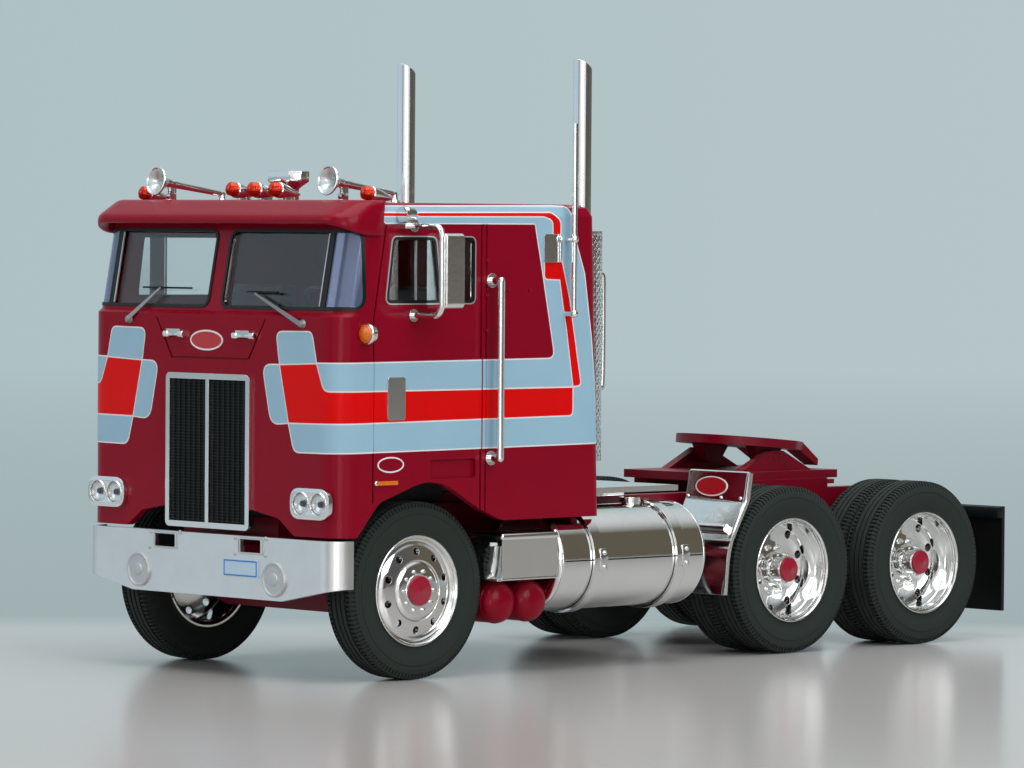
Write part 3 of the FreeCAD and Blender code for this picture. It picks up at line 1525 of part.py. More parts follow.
# Marker lamps: plated bullet bodies on short feet with amber fronts, and a round amber lamp on each side
MARKER_FRONT = CAB_FRONT + S.marker_setback
MARKER_HEIGHT = CAB_TOP + S.marker_stand
MARKER_EDGE = S.marker_radius * 1.12
bodies = []
ambers = []
for number, across in enumerate((-S.marker_spread, -S.marker_pitch, ZERO, S.marker_pitch, S.marker_spread)):
    at = (across, MARKER_FRONT, MARKER_HEIGHT)
    bullet = [
        (S.marker_lens, ZERO),
        (S.marker_lens, MARKER_EDGE),
        (S.marker_lens * 1.4, MARKER_EDGE),
        (S.marker_lens + S.marker_tail * 0.6, S.marker_radius * 0.75),
        (S.marker_lens + S.marker_tail, S.marker_radius * 0.3),
        (S.marker_lens + S.marker_tail, ZERO),
    ]
    lens = [
        (ZERO, ZERO),
        (ZERO, S.marker_radius * 0.5),
        (S.marker_lens * 0.35, S.marker_radius * 0.88),
        (S.marker_lens, S.marker_radius),
        (S.marker_lens, ZERO),
    ]
    foot = block(
        f"marker_foot{number}",
        (across - S.marker_radius / 2, MARKER_FRONT + S.marker_lens * 1.1, CAB_TOP),
        (
            across + S.marker_radius / 2,
            MARKER_FRONT + S.marker_lens * 1.1 + S.marker_radius * 1.4,
            MARKER_HEIGHT,
        ),
    )
    bodies.append(fuse(f"marker{number}", [turned(f"bullet{number}", "Y", bullet, at), foot]))
    ambers.append(turned(f"marker_lens{number}", "Y", lens, at))
SIDE_LAMP = (S.cab_half_width, CAB_FRONT + S.corner_lamp_setback, CAB_WAIST - S.corner_lamp_drop)
bezel = rod("bezel", SIDE_LAMP, "X", S.corner_lamp_stand, S.corner_lamp_radius, S.corner_lamp_radius * 0.9)
side_lens = rod(
    "side_lens",
    (S.cab_half_width + S.corner_lamp_stand, SIDE_LAMP[1], SIDE_LAMP[2]),
    "X",
    S.corner_lamp_stand * 1.3,
    S.corner_lamp_radius * 0.78,
    S.corner_lamp_radius * 0.5,
)
keep(fuse("bezel_join", bodies + both_sides([bezel])), "lamp_bezels")
keep(fuse("amber_join", ambers + both_sides([side_lens])), "amber_lenses")

# Roof vent: a faceted box on a foot
VENT_FRONT = CAB_FRONT + S.vent_setback
VENT_REAR = VENT_FRONT + S.vent_depth
VENT_LOW = CAB_TOP + S.vent_stand
vent = extruded(
    "vent",
    "XY",
    VENT_LOW,
    [
        (-S.vent_half_width, VENT_FRONT + S.vent_corner),
        (-S.vent_half_width + S.vent_corner, VENT_FRONT),
        (S.vent_half_width - S.vent_corner, VENT_FRONT),
        (S.vent_half_width, VENT_FRONT + S.vent_corner),
        (S.vent_half_width, VENT_REAR),
        (-S.vent_half_width, VENT_REAR),
    ],
    S.vent_height,
)
vent_foot = block(
    "vent_foot",
    (-S.vent_half_width * 0.58, VENT_FRONT + S.vent_depth * 0.3, CAB_TOP),
    (S.vent_half_width * 0.58, VENT_REAR - S.vent_depth * 0.15, VENT_LOW),
)
keep(fuse("vent_join", [vent, vent_foot]), "roof_vent")

# Mirrors: a bent tube from two feet on the cab carries a rounded head
MIRROR_Y = CAB_FRONT + S.mirror_setback
MIRROR_INNER = S.cab_half_width + S.mirror_stand
MIRROR_OUTER = MIRROR_INNER + S.mirror_width
ARM_HIGH = SCREEN_HIGH + S.mirror_foot_rise
ARM_LOW = CAB_WAIST + S.mirror_foot_rise
POST_X = MIRROR_OUTER - S.arm_radius * 2
BEND_X = POST_X - S.arm_bend
head = extruded(
    "mirror_head",
    "XZ",
    -MIRROR_Y - S.arm_radius * 0.6 - S.mirror_depth,
    [
        (MIRROR_INNER, ARM_LOW + S.mirror_clear, S.mirror_round),
        (MIRROR_OUTER, ARM_LOW + S.mirror_clear, S.mirror_round),
        (MIRROR_OUTER, ARM_HIGH - S.mirror_clear, S.mirror_round),
        (MIRROR_INNER, ARM_HIGH - S.mirror_clear, S.mirror_round),
    ],
    S.mirror_depth,
)
arm_pieces = [
    head,
    rod(
        "arm_post",
        (POST_X, MIRROR_Y, ARM_LOW + S.arm_bend),
        "Z",
        ARM_HIGH - ARM_LOW - 2 * S.arm_bend,
        S.arm_radius,
    ),
]
for name, height, way in (("high", ARM_HIGH, 1), ("low", ARM_LOW, -1)):
    arm_pieces.append(rod(f"arm_{name}", (S.cab_half_width, MIRROR_Y, height), "X", BEND_X - S.cab_half_width,
                          S.arm_radius))
    arm_pieces.append(rod(f"arm_foot_{name}", (S.cab_half_width, MIRROR_Y, height), "X", S.foot_thickness,
                          S.arm_radius * 2))
    bend = doc.addObject("Part::Torus", f"arm_bend_{name}")
    bind(bend, "Radius1", S.arm_bend)
    bind(bend, "Radius2", S.arm_radius)
    bend.Angle3 = 90
    bend.Placement = FreeCAD.Placement(FreeCAD.Vector(), FreeCAD.Rotation(FreeCAD.Vector(1, 0, 0), 90 * way))
    place(bend, (BEND_X, MIRROR_Y, height - way * S.arm_bend))
    arm_pieces.append(bend)
mirror_left = keep(fuse("mirror_join", arm_pieces), "mirror_left")
keep(mirrored(mirror_left), "mirror_right")

# Grab handles behind the doors, and the antenna on the left side
HANDLE_Y = CAB_FRONT + S.handle_setback
HANDLE_X = S.cab_half_width + S.handle_stand
HANDLE_HIGH = CAB_TOP - S.handle_drop
HANDLE_LOW = HANDLE_HIGH - S.handle_length
handle_pieces = [rod("handle_bar", (HANDLE_X, HANDLE_Y, HANDLE_LOW), "Z", S.handle_length, S.handle_radius)]
for name, height in (("low", HANDLE_LOW), ("high", HANDLE_HIGH)):
    at = (S.cab_half_width, HANDLE_Y, height)
    handle_pieces += [
        rod(f"handle_stub_{name}", at, "X", S.handle_stand, S.handle_radius),
        ball(f"handle_bend_{name}", (HANDLE_X, HANDLE_Y, height), S.handle_radius),
        rod(f"handle_foot_{name}", at, "X", S.foot_thickness, S.handle_radius * 1.8),
    ]
keep(fuse("handles", both_sides([fuse("handle_left", handle_pieces)])), "grab_handles")

ROD_Y = CAB_REAR - S.rod_lead
ROD_X = S.cab_half_width + S.rod_stand
ROD_LOW = CAB_TOP - S.rod_drop
ROD_STUB = ROD_LOW + S.rod_radius
rod_pieces = [rod("antenna_mast", (ROD_X, ROD_Y, ROD_LOW), "Z", S.rod_length, S.rod_radius)]
for name, height in (("low", ROD_STUB), ("high", ROD_STUB + S.rod_stub_pitch)):
    rod_pieces += [
        ball(f"antenna_ball_{name}", (ROD_X, ROD_Y, height), S.rod_radius * 1.5),
        rod(f"antenna_stub_{name}", (S.cab_half_width, ROD_Y, height), "X", S.rod_stand, S.rod_radius),
    ]
keep(fuse("antenna_join", rod_pieces), "antenna")

# Cab trim: door handle plates, sleeper breathers, nose hatch clasps, and a spot lamp on the left roof edge


def side_plate(name, setback, top_drop, width, height):
    """A thin plate on the left side of the cab."""
    front = CAB_FRONT + setback
    top = CAB_TOP - top_drop
    return extruded(
        name,
        "YZ",
        S.cab_half_width,
        [
            (front, top - height, S.foot_thickness),
            (front + width, top - height, S.foot_thickness),
            (front + width, top, S.foot_thickness),
            (front, top, S.foot_thickness),
        ],
        S.trim_stand,
    )


latch_top = S.latch_drop + CAB_TOP - CAB_WAIST
breather_top = S.breather_drop
clasp = block(
    "clasp",
    (S.clasp_spread - S.clasp_width / 2, CAB_FRONT - S.trim_stand * 2, CAB_WAIST - S.clasp_drop),
    (S.clasp_spread + S.clasp_width / 2, CAB_FRONT, CAB_WAIST - S.clasp_drop + S.trim_stand * 3),
)
SPOT_AT = (S.cab_half_width + S.spot_radius, CAB_FRONT + S.spot_setback, CAB_TOP - S.roof_round)
spot_corners = [
    (-S.spot_radius, ZERO),
    (-S.spot_radius, S.spot_radius * 0.9),
    (-S.spot_radius * 0.6, S.spot_radius),
    (S.spot_radius * 0.6, S.spot_radius * 0.8),
    (S.spot_radius * 1.6, ZERO),
]
spot_foot = block(
    "spot_foot",
    (S.cab_half_width, SPOT_AT[1] - S.spot_radius * 0.4, SHOULDER - S.spot_radius * 1.6),
    (S.cab_half_width + S.spot_radius, SPOT_AT[1] + S.spot_radius * 0.4, SHOULDER - S.spot_radius * 0.5),
)
spot = fuse("spot", [turned("spot_head", "Y", spot_corners, SPOT_AT), spot_foot])
trim = both_sides([
    side_plate("latch", S.latch_setback, latch_top, S.latch_width, S.latch_height),
    side_plate("breather", S.breather_setback, breather_top, S.breather_width, S.breather_height),
    clasp,
])
keep(fuse("trim_join", trim + [spot]), "cab_trim")

# Exhaust stacks, with guarded mufflers behind the cab
STACK_Y = CAB_REAR + S.stack_gap
DECK_LOW = S.rail_top + S.deck_lift
DECK_TOP = DECK_LOW + S.deck_thickness
STACK_TOP = CAB_TOP + S.stack_rise
GUARD_LOW = DECK_TOP + S.guard_lift
GUARD_HIGH = GUARD_LOW + S.guard_length
BESIDE = S.stack_radius * 2
pipe = rod("pipe", (S.stack_spread, STACK_Y, DECK_TOP), "Z", STACK_TOP - DECK_TOP, S.stack_radius)
mitre = extruded(
    "mitre",
    "YZ",
    S.stack_spread - BESIDE,
    [
        (STACK_Y - S.stack_radius, STACK_TOP),
        (STACK_Y + BESIDE, STACK_TOP - S.stack_cut * 1.5),
        (STACK_Y + BESIDE, STACK_TOP + S.stack_cut),
        (STACK_Y - S.stack_radius, STACK_TOP + S.stack_cut),
    ],
    2 * BESIDE,
)
bore_foot = (S.stack_spread, STACK_Y, GUARD_HIGH)
pipe_bore = rod("pipe_bore", bore_foot, "Z", STACK_TOP, S.stack_radius - S.stack_wall)
stack = cut("stack_bored", cut("stack_mitred", pipe, mitre), pipe_bore)
keep(fuse("stacks", both_sides([stack])), "exhaust_stacks")
guard_corners = [
    (S.stack_radius + S.running_gap, GUARD_LOW),
    (S.guard_radius, GUARD_LOW, S.stack_wall),
    (S.guard_radius, GUARD_HIGH, S.stack_wall),
    (S.stack_radius + S.running_gap, GUARD_HIGH),
]
guard = new_body("guard")
spin(guard, outline(new_sketch(guard, "guard_outline", "XZ"), guard_corners), "Z")
place(guard, (S.stack_spread, STACK_Y, ZERO))
BAR_Y = STACK_Y + S.guard_radius + S.guard_handle_stand
BAR_LOW = GUARD_LOW + S.guard_handle_lift
bar_foot = (S.stack_spread, BAR_Y, BAR_LOW)
handle = [rod("guard_bar", bar_foot, "Z", S.guard_handle_length, S.guard_handle_radius)]
for name, height in (("low", BAR_LOW), ("high", BAR_LOW + S.guard_handle_length)):
    start = STACK_Y + S.guard_radius - S.guard_handle_radius
    handle.append(ball(f"guard_bend_{name}", (S.stack_spread, BAR_Y, height), S.guard_handle_radius))
    handle.append(rod(f"guard_stub_{name}", (S.stack_spread, start, height), "Y", BAR_Y - start,
                      S.guard_handle_radius))
keep(fuse("guards", both_sides([fuse("guard_left", [guard] + handle)])), "muffler_guards")

# Catwalk behind the cab, on the rails
DECK_FRONT = CAB_REAR + S.deck_gap
deck = block(
    "deck",
    (-S.deck_half_width, DECK_FRONT, DECK_LOW),
    (S.deck_half_width, DECK_FRONT + S.deck_length, DECK_TOP),
)
deck_feet = block(
    "deck_feet",
    (-S.rail_half_width, DECK_FRONT + S.deck_gap, S.rail_top),
    (S.rail_half_width, DECK_FRONT + S.deck_length - S.deck_gap, DECK_LOW),
)
keep(fuse("deck_join", [deck, deck_feet]), "catwalk")

# Step boxes between the front wheels and the tanks, with a wing that curves in behind the tyre
BOX_FRONT = FRONT_AXLE + S.box_setback
BOX_REAR = BOX_FRONT + S.box_length
BOX_HIGH = S.rail_top - S.box_drop
BOX_LOW = BOX_HIGH - S.box_height
BOX_INNER = S.rail_half_width + S.box_gap
BOX_REACH = S.cab_half_width + S.box_stand
step = extruded(
    "step",
    "YZ",
    BOX_INNER,
    [
        (BOX_FRONT, BOX_LOW, S.box_round),
        (BOX_REAR, BOX_LOW, S.box_round),
        (BOX_REAR, BOX_HIGH, S.box_round),
        (BOX_FRONT, BOX_HIGH, S.box_round),
    ],
    BOX_REACH - BOX_INNER,
)
step_arm = block(
    "step_arm",
    (S.rail_half_width, BOX_FRONT + S.box_gap, BOX_LOW + S.box_height * 0.55),
    (BOX_INNER + S.box_round, BOX_REAR - S.box_gap, BOX_HIGH - S.box_round),
)
wing = extruded(
    "wing",
    "XY",
    BOX_LOW + S.box_round,
    [
        (BOX_REACH - S.box_round, BOX_FRONT + S.box_round),
        (BOX_REACH - S.wing_reach - S.box_round * 3, BOX_FRONT - S.wing_reach * 0.87, S.wing_reach / 2),
        (BOX_INNER + S.box_round, BOX_FRONT - S.wing_reach),
        (BOX_INNER + S.box_round, BOX_FRONT + S.box_round),
    ],
    S.box_height * 0.75,
)
keep(fuse("steps", both_sides([fuse("step_left", [step, step_arm, wing])])), "step_boxes")

# Two air tanks across the truck under the left step box
AIR_HEIGHT = BOX_LOW - S.air_tank_drop - S.air_tank_radius
AIR_END = BOX_REACH - S.air_tank_inset
AIR_START = AIR_END - S.air_tank_length
AIR_FRONT = BOX_FRONT + S.air_tank_radius * 0.68
air_pieces = []
for number in range(2):
    along = AIR_FRONT + number * (2 * S.air_tank_radius + S.air_tank_gap)
    air_corners = [
        (AIR_START, ZERO),
        (AIR_START, S.air_tank_radius - S.air_tank_dome),
        (AIR_START + S.air_tank_dome, S.air_tank_radius),
        (AIR_END - S.air_tank_dome, S.air_tank_radius),
        (AIR_END, S.air_tank_radius - S.air_tank_dome),
        (AIR_END, ZERO),
    ]
    air_tank = turned(f"air_tank{number}", "X", air_corners, (ZERO, along, AIR_HEIGHT))
    saddle = block(
        f"air_saddle{number}",
        (AIR_START + S.air_tank_radius, along - S.air_tank_radius * 0.2, AIR_HEIGHT),
        (AIR_START + S.air_tank_radius * 1.7, along + S.air_tank_radius * 0.2, BOX_LOW),
    )
    air_pieces.append(fuse(f"air_tank_set{number}", [air_tank, saddle]))
keep(fuse("air_join", air_pieces), "air_tanks")

# Fuel tanks with round edges, held to the rails by straps
TANK_FRONT = BOX_REAR + S.tank_space
TANK_REAR = TANK_FRONT + S.tank_length
TANK_SECTION = [
    (TANK_FRONT, ZERO),
    (TANK_FRONT, S.tank_radius, S.tank_round),
    (TANK_REAR, S.tank_radius, S.tank_round),
    (TANK_REAR, ZERO),
]
tank = turned("tank", "Y", TANK_SECTION, (TANK_SPREAD, ZERO, TANK_HEIGHT))
filler = rod("filler", (TANK_SPREAD, TANK_FRONT + S.filler_setback, TANK_HEIGHT + S.tank_radius * 0.95), "Z",
             S.tank_radius * 0.05 + S.filler_height, S.filler_radius)
tank_left = keep(fuse("tank_join", [tank, filler]), "fuel_tank_left")
keep(mirrored(tank_left), "fuel_tank_right")
straps = []
STRAP_INSIDE = S.tank_radius + 2 * S.running_gap
for number in range(2):
    start = TANK_FRONT + S.strap_setback + number * S.strap_pitch - S.strap_width / 2
    strap_foot = (TANK_SPREAD, start, TANK_HEIGHT)
    strap_outside = STRAP_INSIDE + S.strap_thickness
    outer = rod(f"strap_outer{number}", strap_foot, "Y", S.strap_width, strap_outside)
    hole_foot = (TANK_SPREAD, start - S.strap_width, TANK_HEIGHT)
    inner = rod(f"strap_inner{number}", hole_foot, "Y", 3 * S.strap_width, STRAP_INSIDE)
    hanger = block(
        f"strap_hanger{number}",
        (S.rail_half_width, start, RAIL_LOW),
        (BOX_INNER + S.strap_width, start + S.strap_width, S.rail_top - S.member_depth),
    )
    straps.append(cut(f"strap{number}", fuse(f"strap_full{number}", [outer, hanger]), inner))
keep(fuse("strap_join", both_sides(straps)), "tank_straps")

# Quarter fenders in front of the first rear wheels, on a tube from each rail
FENDER_FOOT = S.tyre_radius - S.fender_foot_drop
FENDER_TOP = S.rail_top + S.fender_top_lift
FENDER_LINE = [
    (S.tyre_radius + S.fender_gap + 0.1 * S.fender_gap, FENDER_FOOT),
    (S.tyre_radius + 0.7 * S.fender_gap, S.tyre_radius * 1.3, S.tyre_radius / 2),
    (S.tyre_radius * 0.766, S.tyre_radius * 1.85, S.tyre_radius / 6),
    (S.tyre_radius * 0.71, FENDER_TOP),
]
inner_line = [(REAR_AXLES[0] - back,) + tuple(rest) for back, *rest in FENDER_LINE]
outer_line = [(REAR_AXLES[0] - back - S.fender_wall,) + tuple(rest) for back, *rest in FENDER_LINE]
fender_line = inner_line + outer_line[::-1]
fender = extruded("fender", "YZ", S.fender_inner, fender_line, S.fender_reach - S.fender_inner)
fender_tube = rod(
    "fender_tube",
    (S.rail_half_width, REAR_AXLES[0] - S.tyre_radius - S.fender_gap * 0.3, S.tyre_radius * 1.53),
    "X",
    S.fender_reach - S.rail_half_width - S.fender_gap,
    S.fender_tube_radius,
)
keep(fuse("fenders", both_sides([fuse("fender_left", [fender, fender_tube])])), "quarter_fenders")

# Fifth wheel: a base plate with pivot ears on the rails, and the plate that tilts on them
FIFTH_Y = REAR_AXLES[0] + S.fifth_setback
PIVOT = S.rail_top + S.fifth_lift
BASE_LOW = S.rail_top + S.base_lift
BASE_TOP = BASE_LOW + S.base_thickness
EAR_INNER = S.ear_spread
base_plate = block(
    "base_plate",
    (-S.base_half_width, FIFTH_Y - S.base_lead, BASE_LOW),
    (S.base_half_width, FIFTH_Y + S.base_trail, BASE_TOP),
)
base_rail = block(
    "base_rail",
    (S.rail_half_width - S.base_rail_width, FIFTH_Y - S.base_lead + S.base_rail_width, S.rail_top),
    (S.rail_half_width, FIFTH_Y + S.base_trail - S.base_rail_width, BASE_LOW),
)
ear = new_body("ear")
ear_sketch = new_sketch(ear, "ear_outline", "YZ", EAR_INNER)
EAR_CREST = S.pivot_radius * 2
outline(
    ear_sketch,
    [
        (FIFTH_Y - S.fifth_rear, BASE_TOP),
        (FIFTH_Y + S.fifth_rear, BASE_TOP),
        (FIFTH_Y + EAR_CREST, PIVOT + EAR_CREST * 0.72, S.pivot_radius),
        (FIFTH_Y - EAR_CREST, PIVOT + EAR_CREST * 0.72, S.pivot_radius),
    ],
)
circle(ear_sketch, FIFTH_Y, PIVOT, S.pivot_radius + S.running_gap)
pad(ear, ear_sketch, S.ear_width)
keep(fuse("base_join", [base_plate] + both_sides([base_rail, ear])), "fifth_wheel_base")

THROAT = S.throat_half
JAW = S.kingpin_radius * 0.92
TOP_RIM = S.fifth_underside + S.fifth_plate
top_plate = new_body("top_plate")
plate_half = [
    (S.fifth_radius, -S.fifth_radius, S.fifth_radius * 0.97),
    (S.fifth_radius, S.fifth_rear * 0.45, S.fifth_radius * 0.26),
    (S.fifth_tail_half, S.fifth_rear, S.throat_half / 4),
    (THROAT, S.fifth_rear),
    (JAW, S.throat_depth),
    (JAW, 0),
]
plate_outline = outline(
    new_sketch(top_plate, "plate_outline", "XY", S.fifth_underside),
    plate_half + [(-size(corner[0]),) + corner[1:] for corner in reversed(plate_half)],
)
pad(top_plate, plate_outline, S.fifth_plate)
jaw = circle(new_sketch(top_plate, "jaw", "XY", S.fifth_underside - S.fifth_plate), 0, 0, S.kingpin_radius)
pocket(top_plate, jaw, 3 * S.fifth_plate, backwards=True)
TAIL_BACK = S.fifth_rear - S.throat_depth
tail = extruded(
    "tail",
    "YZ",
    THROAT,
    [
        (TAIL_BACK, S.fifth_underside),
        (TAIL_BACK + S.fifth_plate * 0.6, S.fifth_underside),
        (S.fifth_tail, TOP_RIM - S.fifth_tail_drop - S.fifth_plate * 0.45),
        (S.fifth_tail, TOP_RIM - S.fifth_tail_drop + S.fifth_plate * 0.3),
        (TAIL_BACK + S.fifth_plate, TOP_RIM),
        (TAIL_BACK, TOP_RIM),
    ],
    S.fifth_tail_half - THROAT,
)
LUG_INNER = EAR_INNER - S.ear_gap - S.lug_width
lug = extruded(
    "lug",
    "YZ",
    LUG_INNER,
    [
        (-S.fifth_rear * 0.4, S.fifth_underside + S.fifth_plate * 0.15),
        (-EAR_CREST * 0.86, -EAR_CREST * 0.86, S.pivot_radius),
        (EAR_CREST * 0.86, -EAR_CREST * 0.86, S.pivot_radius),
        (S.fifth_rear * 0.4, S.fifth_underside + S.fifth_plate * 0.15),
    ],
    S.lug_width,
)
pivot_pin = rod("pivot_pin", (LUG_INNER, 0, 0), "X", S.lug_width + S.ear_gap + S.ear_width, S.pivot_radius)
tilting = fuse("tilting", [top_plate] + both_sides([tail, lug, pivot_pin]))
TILT = FreeCAD.Rotation(FreeCAD.Vector(-1, 0, 0), S.fifth_tilt.value)
tilting.Placement = FreeCAD.Placement(FreeCAD.Vector(), TILT)
place(tilting, (ZERO, FIFTH_Y, PIVOT))
keep(tilting, "fifth_wheel_plate")

# Mud flaps hang from the bar at the frame's end
flap = block(
    "flap",
    (FLAP_OUTER - S.flap_width, TAIL - S.flap_thickness, FLAP_HIGH - S.flap_height),
    (FLAP_OUTER, TAIL, FLAP_HIGH),
)
keep(fuse("flaps", both_sides([flap])), "mud_flaps")

# Wipers: thin arms that lean from a hub under the windscreen to a blade across each pane


def strut(name, start, end, radius):
    """A thin round bar between two points."""
    first = FreeCAD.Vector(*(size(amount).value for amount in start))
    last = FreeCAD.Vector(*(size(amount).value for amount in end))
    run = last - first
    obj = doc.addObject("Part::Feature", name)
    obj.Shape = Part.makeCylinder(size(radius).value, run.Length, first, run)
    return obj


HUB_HEIGHT = CAB_WAIST - S.wiper_drop
BLADE_HEIGHT = HUB_HEIGHT + S.wiper_rise + S.wiper_drop
BLADE_Y = front_at(BLADE_HEIGHT) - S.wiper_stand
HUB_Y = CAB_FRONT - S.wiper_stand
wiper_pieces = []
for side, side_name in ((1, "left"), (-1, "right")):
    hub_x = side * S.wiper_spread
    tip_x = hub_x - S.wiper_reach
    start_x = tip_x - S.wiper_blade * (0.2 if side > 0 else 0.5)
    if side < 0:
        tip_x = hub_x + S.wiper_reach
        start_x = tip_x - S.wiper_blade / 2
    hub_at = (hub_x, HUB_Y, HUB_HEIGHT)
    tip_at = (tip_x, BLADE_Y, BLADE_HEIGHT)
    start_at = (start_x, BLADE_Y, BLADE_HEIGHT)
    hub_foot = (hub_x, CAB_FRONT - S.wiper_stand * 1.4, HUB_HEIGHT)
    wiper_pieces += [
        strut(f"wiper_arm_{side_name}", hub_at, tip_at, S.wiper_arm_radius),
        rod(f"wiper_blade_{side_name}", start_at, "X", S.wiper_blade, S.wiper_blade_radius),
        rod(f"wiper_hub_{side_name}", hub_foot, "Y", S.wiper_stand * 1.4, S.wiper_hub_radius),
    ]
keep(fuse("wiper_join", wiper_pieces), "wipers")

# Everything is checked before it is written out

doc.recompute()
broken = {"Invalid", "Error"}
failed = [f"{obj.Name}: {obj.getStatusString()}" for obj in doc.Objects if broken & set(obj.State)]
if failed:
    raise RuntimeError(f"failed objects: {failed}")
for part in PARTS:
    if part.Shape.isNull() or not part.Shape.isValid():
        raise RuntimeError(f"bad shape: {part.Label}")
os.makedirs("parts", exist_ok=True)
for part in PARTS:
    part.Shape.exportStep(f"parts/{part.Label}.step")
    bounds = part.Shape.BoundBox
    print(f"{part.Label:22s} {len(part.Shape.Solids)} x {bounds.XMin:7.2f} {bounds.XMax:7.2f}"
          f" y {bounds.YMin:7.2f} {bounds.YMax:7.2f} z {bounds.ZMin:7.2f} {bounds.ZMax:7.2f}")
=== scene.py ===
"""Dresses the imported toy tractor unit: paint, plating, tread, stripes, glazing rubbers and small hardware."""

import logging
import math
from collections.abc import Callable, Iterable, Sequence
from dataclasses import dataclass
from enum import Enum
from typing import ClassVar

import bmesh
import bpy
from mathutils import Matrix, Vector


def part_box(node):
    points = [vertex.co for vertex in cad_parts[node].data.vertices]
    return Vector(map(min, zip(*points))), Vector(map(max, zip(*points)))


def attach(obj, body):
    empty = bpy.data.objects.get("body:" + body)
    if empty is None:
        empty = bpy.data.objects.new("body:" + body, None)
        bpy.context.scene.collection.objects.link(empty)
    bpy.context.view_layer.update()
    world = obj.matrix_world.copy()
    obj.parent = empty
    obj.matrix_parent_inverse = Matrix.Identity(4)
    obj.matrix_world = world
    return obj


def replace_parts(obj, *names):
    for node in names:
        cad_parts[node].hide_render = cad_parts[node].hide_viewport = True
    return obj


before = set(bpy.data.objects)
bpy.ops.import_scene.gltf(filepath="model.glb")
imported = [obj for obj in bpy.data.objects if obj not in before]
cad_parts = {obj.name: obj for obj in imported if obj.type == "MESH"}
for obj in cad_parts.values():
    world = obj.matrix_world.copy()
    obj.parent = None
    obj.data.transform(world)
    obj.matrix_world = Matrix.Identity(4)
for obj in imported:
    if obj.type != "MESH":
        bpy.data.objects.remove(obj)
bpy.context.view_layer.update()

logging.basicConfig(level=logging.INFO, format="%(message)s")
LOG = logging.getLogger("tractor_unit")

MM = 0.001
Point = tuple[float, float, float]
Flat = tuple[float, float]
Colour = tuple[float, float, float]
Corners = Sequence[Sequence[float]]
ORIGIN: Point = (0.0, 0.0, 0.0)


class Slot(Enum):
    """The record's material slots."""

    CRIMSON = "crimson_paint"
    GREY = "grey_paint"
    CHROME = "chrome_plate"
    CLEAR = "clear_glass"
    LAMP = "lamp_glass"
    AMBER = "amber_plastic"
    DARK = "dark_plastic"
    BLACK = "black_plastic"
    PLATE = "plate_blue"
    TYRE = "tyre_rubber"


class Element(Enum):
    """What Bench.pick picks."""

    VERT = "VERT"
    EDGE = "EDGE"
    FACE = "FACE"


class Side(Enum):
    """The side of the truck that a piece is on, with the sign of its X."""

    LEFT = 1
    RIGHT = -1


def srgb(red: int, green: int, blue: int) -> Colour:
    """Turns an 8-bit display colour into the linear one that shaders take.

    Args:
        red: Red, 0 to 255.
        green: Green, 0 to 255.
        blue: Blue, 0 to 255.

    Returns:
        The linear colour.
    """
    return tuple(c / 3294.6 if c <= 10 else ((c / 255 + 0.055) / 1.055) ** 2.4 for c in (red, green, blue))


# Shader effects that several finishes share


class Tree:
    """A shader node tree that is being filled."""

    def __init__(self, tree: bpy.types.NodeTree) -> None:
        """Keeps the tree to fill."""
        self.tree = tree

    def add(self, kind: str, **values: object) -> bpy.types.Node:
        """Adds a node.

        Args:
            kind: The node's type without its ShaderNode prefix.
            **values: Settings of the node, such as its operation.

        Returns:
            The new node.
        """
        node = self.tree.nodes.new(kind if kind.startswith("NodeGroup") else "ShaderNode" + kind)
        for key, value in values.items():
            setattr(node, key, value)
        return node

    def join(self, source: bpy.types.NodeSocket, target: bpy.types.NodeSocket) -> None:
        """Links an output to an input."""
        self.tree.links.new(source, target)

    def feed(self, node: bpy.types.Node, inputs: dict[str | int, object]) -> bpy.types.Node:
        """Links or sets some inputs of a node.

        Args:
            node: The node whose inputs they are.
            inputs: For each input's name or place, a socket to link or a value to set.

        Returns:
            The node.
        """
        for name, value in inputs.items():
            if isinstance(value, bpy.types.NodeSocket):
                self.join(value, node.inputs[name])
            else:
                node.inputs[name].default_value = value
        return node

    def math(self, operation: str, *values: object) -> bpy.types.NodeSocket:
        """Adds a Math node and returns its result."""
        return self.feed(self.add("Math", operation=operation), dict(enumerate(values))).outputs[0]

    def vector(self, operation: str, first: object, second: object) -> bpy.types.NodeSocket:
        """Adds a Vector Math node and returns its result, a number for a dot product and else a vector."""
        node = self.feed(self.add("VectorMath", operation=operation), {0: first, 1: second})
        return node.outputs["Value" if operation == "DOT_PRODUCT" else "Vector"]

    def noise(self, vector: bpy.types.NodeSocket, scale: object, detail: float) -> bpy.types.NodeSocket:
        """Adds a Noise Texture and returns its grey value."""
        return self.feed(self.add("TexNoise"), {"Vector": vector, "Scale": scale, "Detail": detail}).outputs["Fac"]

    def mix(self, factor: object, first: object, second: object, blend: str = "MIX") -> bpy.types.NodeSocket:
        """Adds a colour Mix node and returns its result."""
        node = self.add("Mix", data_type="RGBA", blend_type=blend)
        return self.feed(node, {0: factor, 6: first, 7: second}).outputs[2]

    def range(self, value: object, low: float, high: float) -> bpy.types.NodeSocket:
        """Adds a clamped Map Range node from low and high to 0 and 1, and returns its result."""
        return self.feed(self.add("MapRange"), {"Value": value, "From Min": low, "From Max": high}).outputs[0]

    def blend(self, factor: object, first: bpy.types.Node, second: bpy.types.Node) -> bpy.types.NodeSocket:
        """Adds a Mix Shader node and returns its result."""
        return self.feed(self.add("MixShader"), {0: factor, 1: first.outputs[0], 2: second.outputs[0]}).outputs[0]


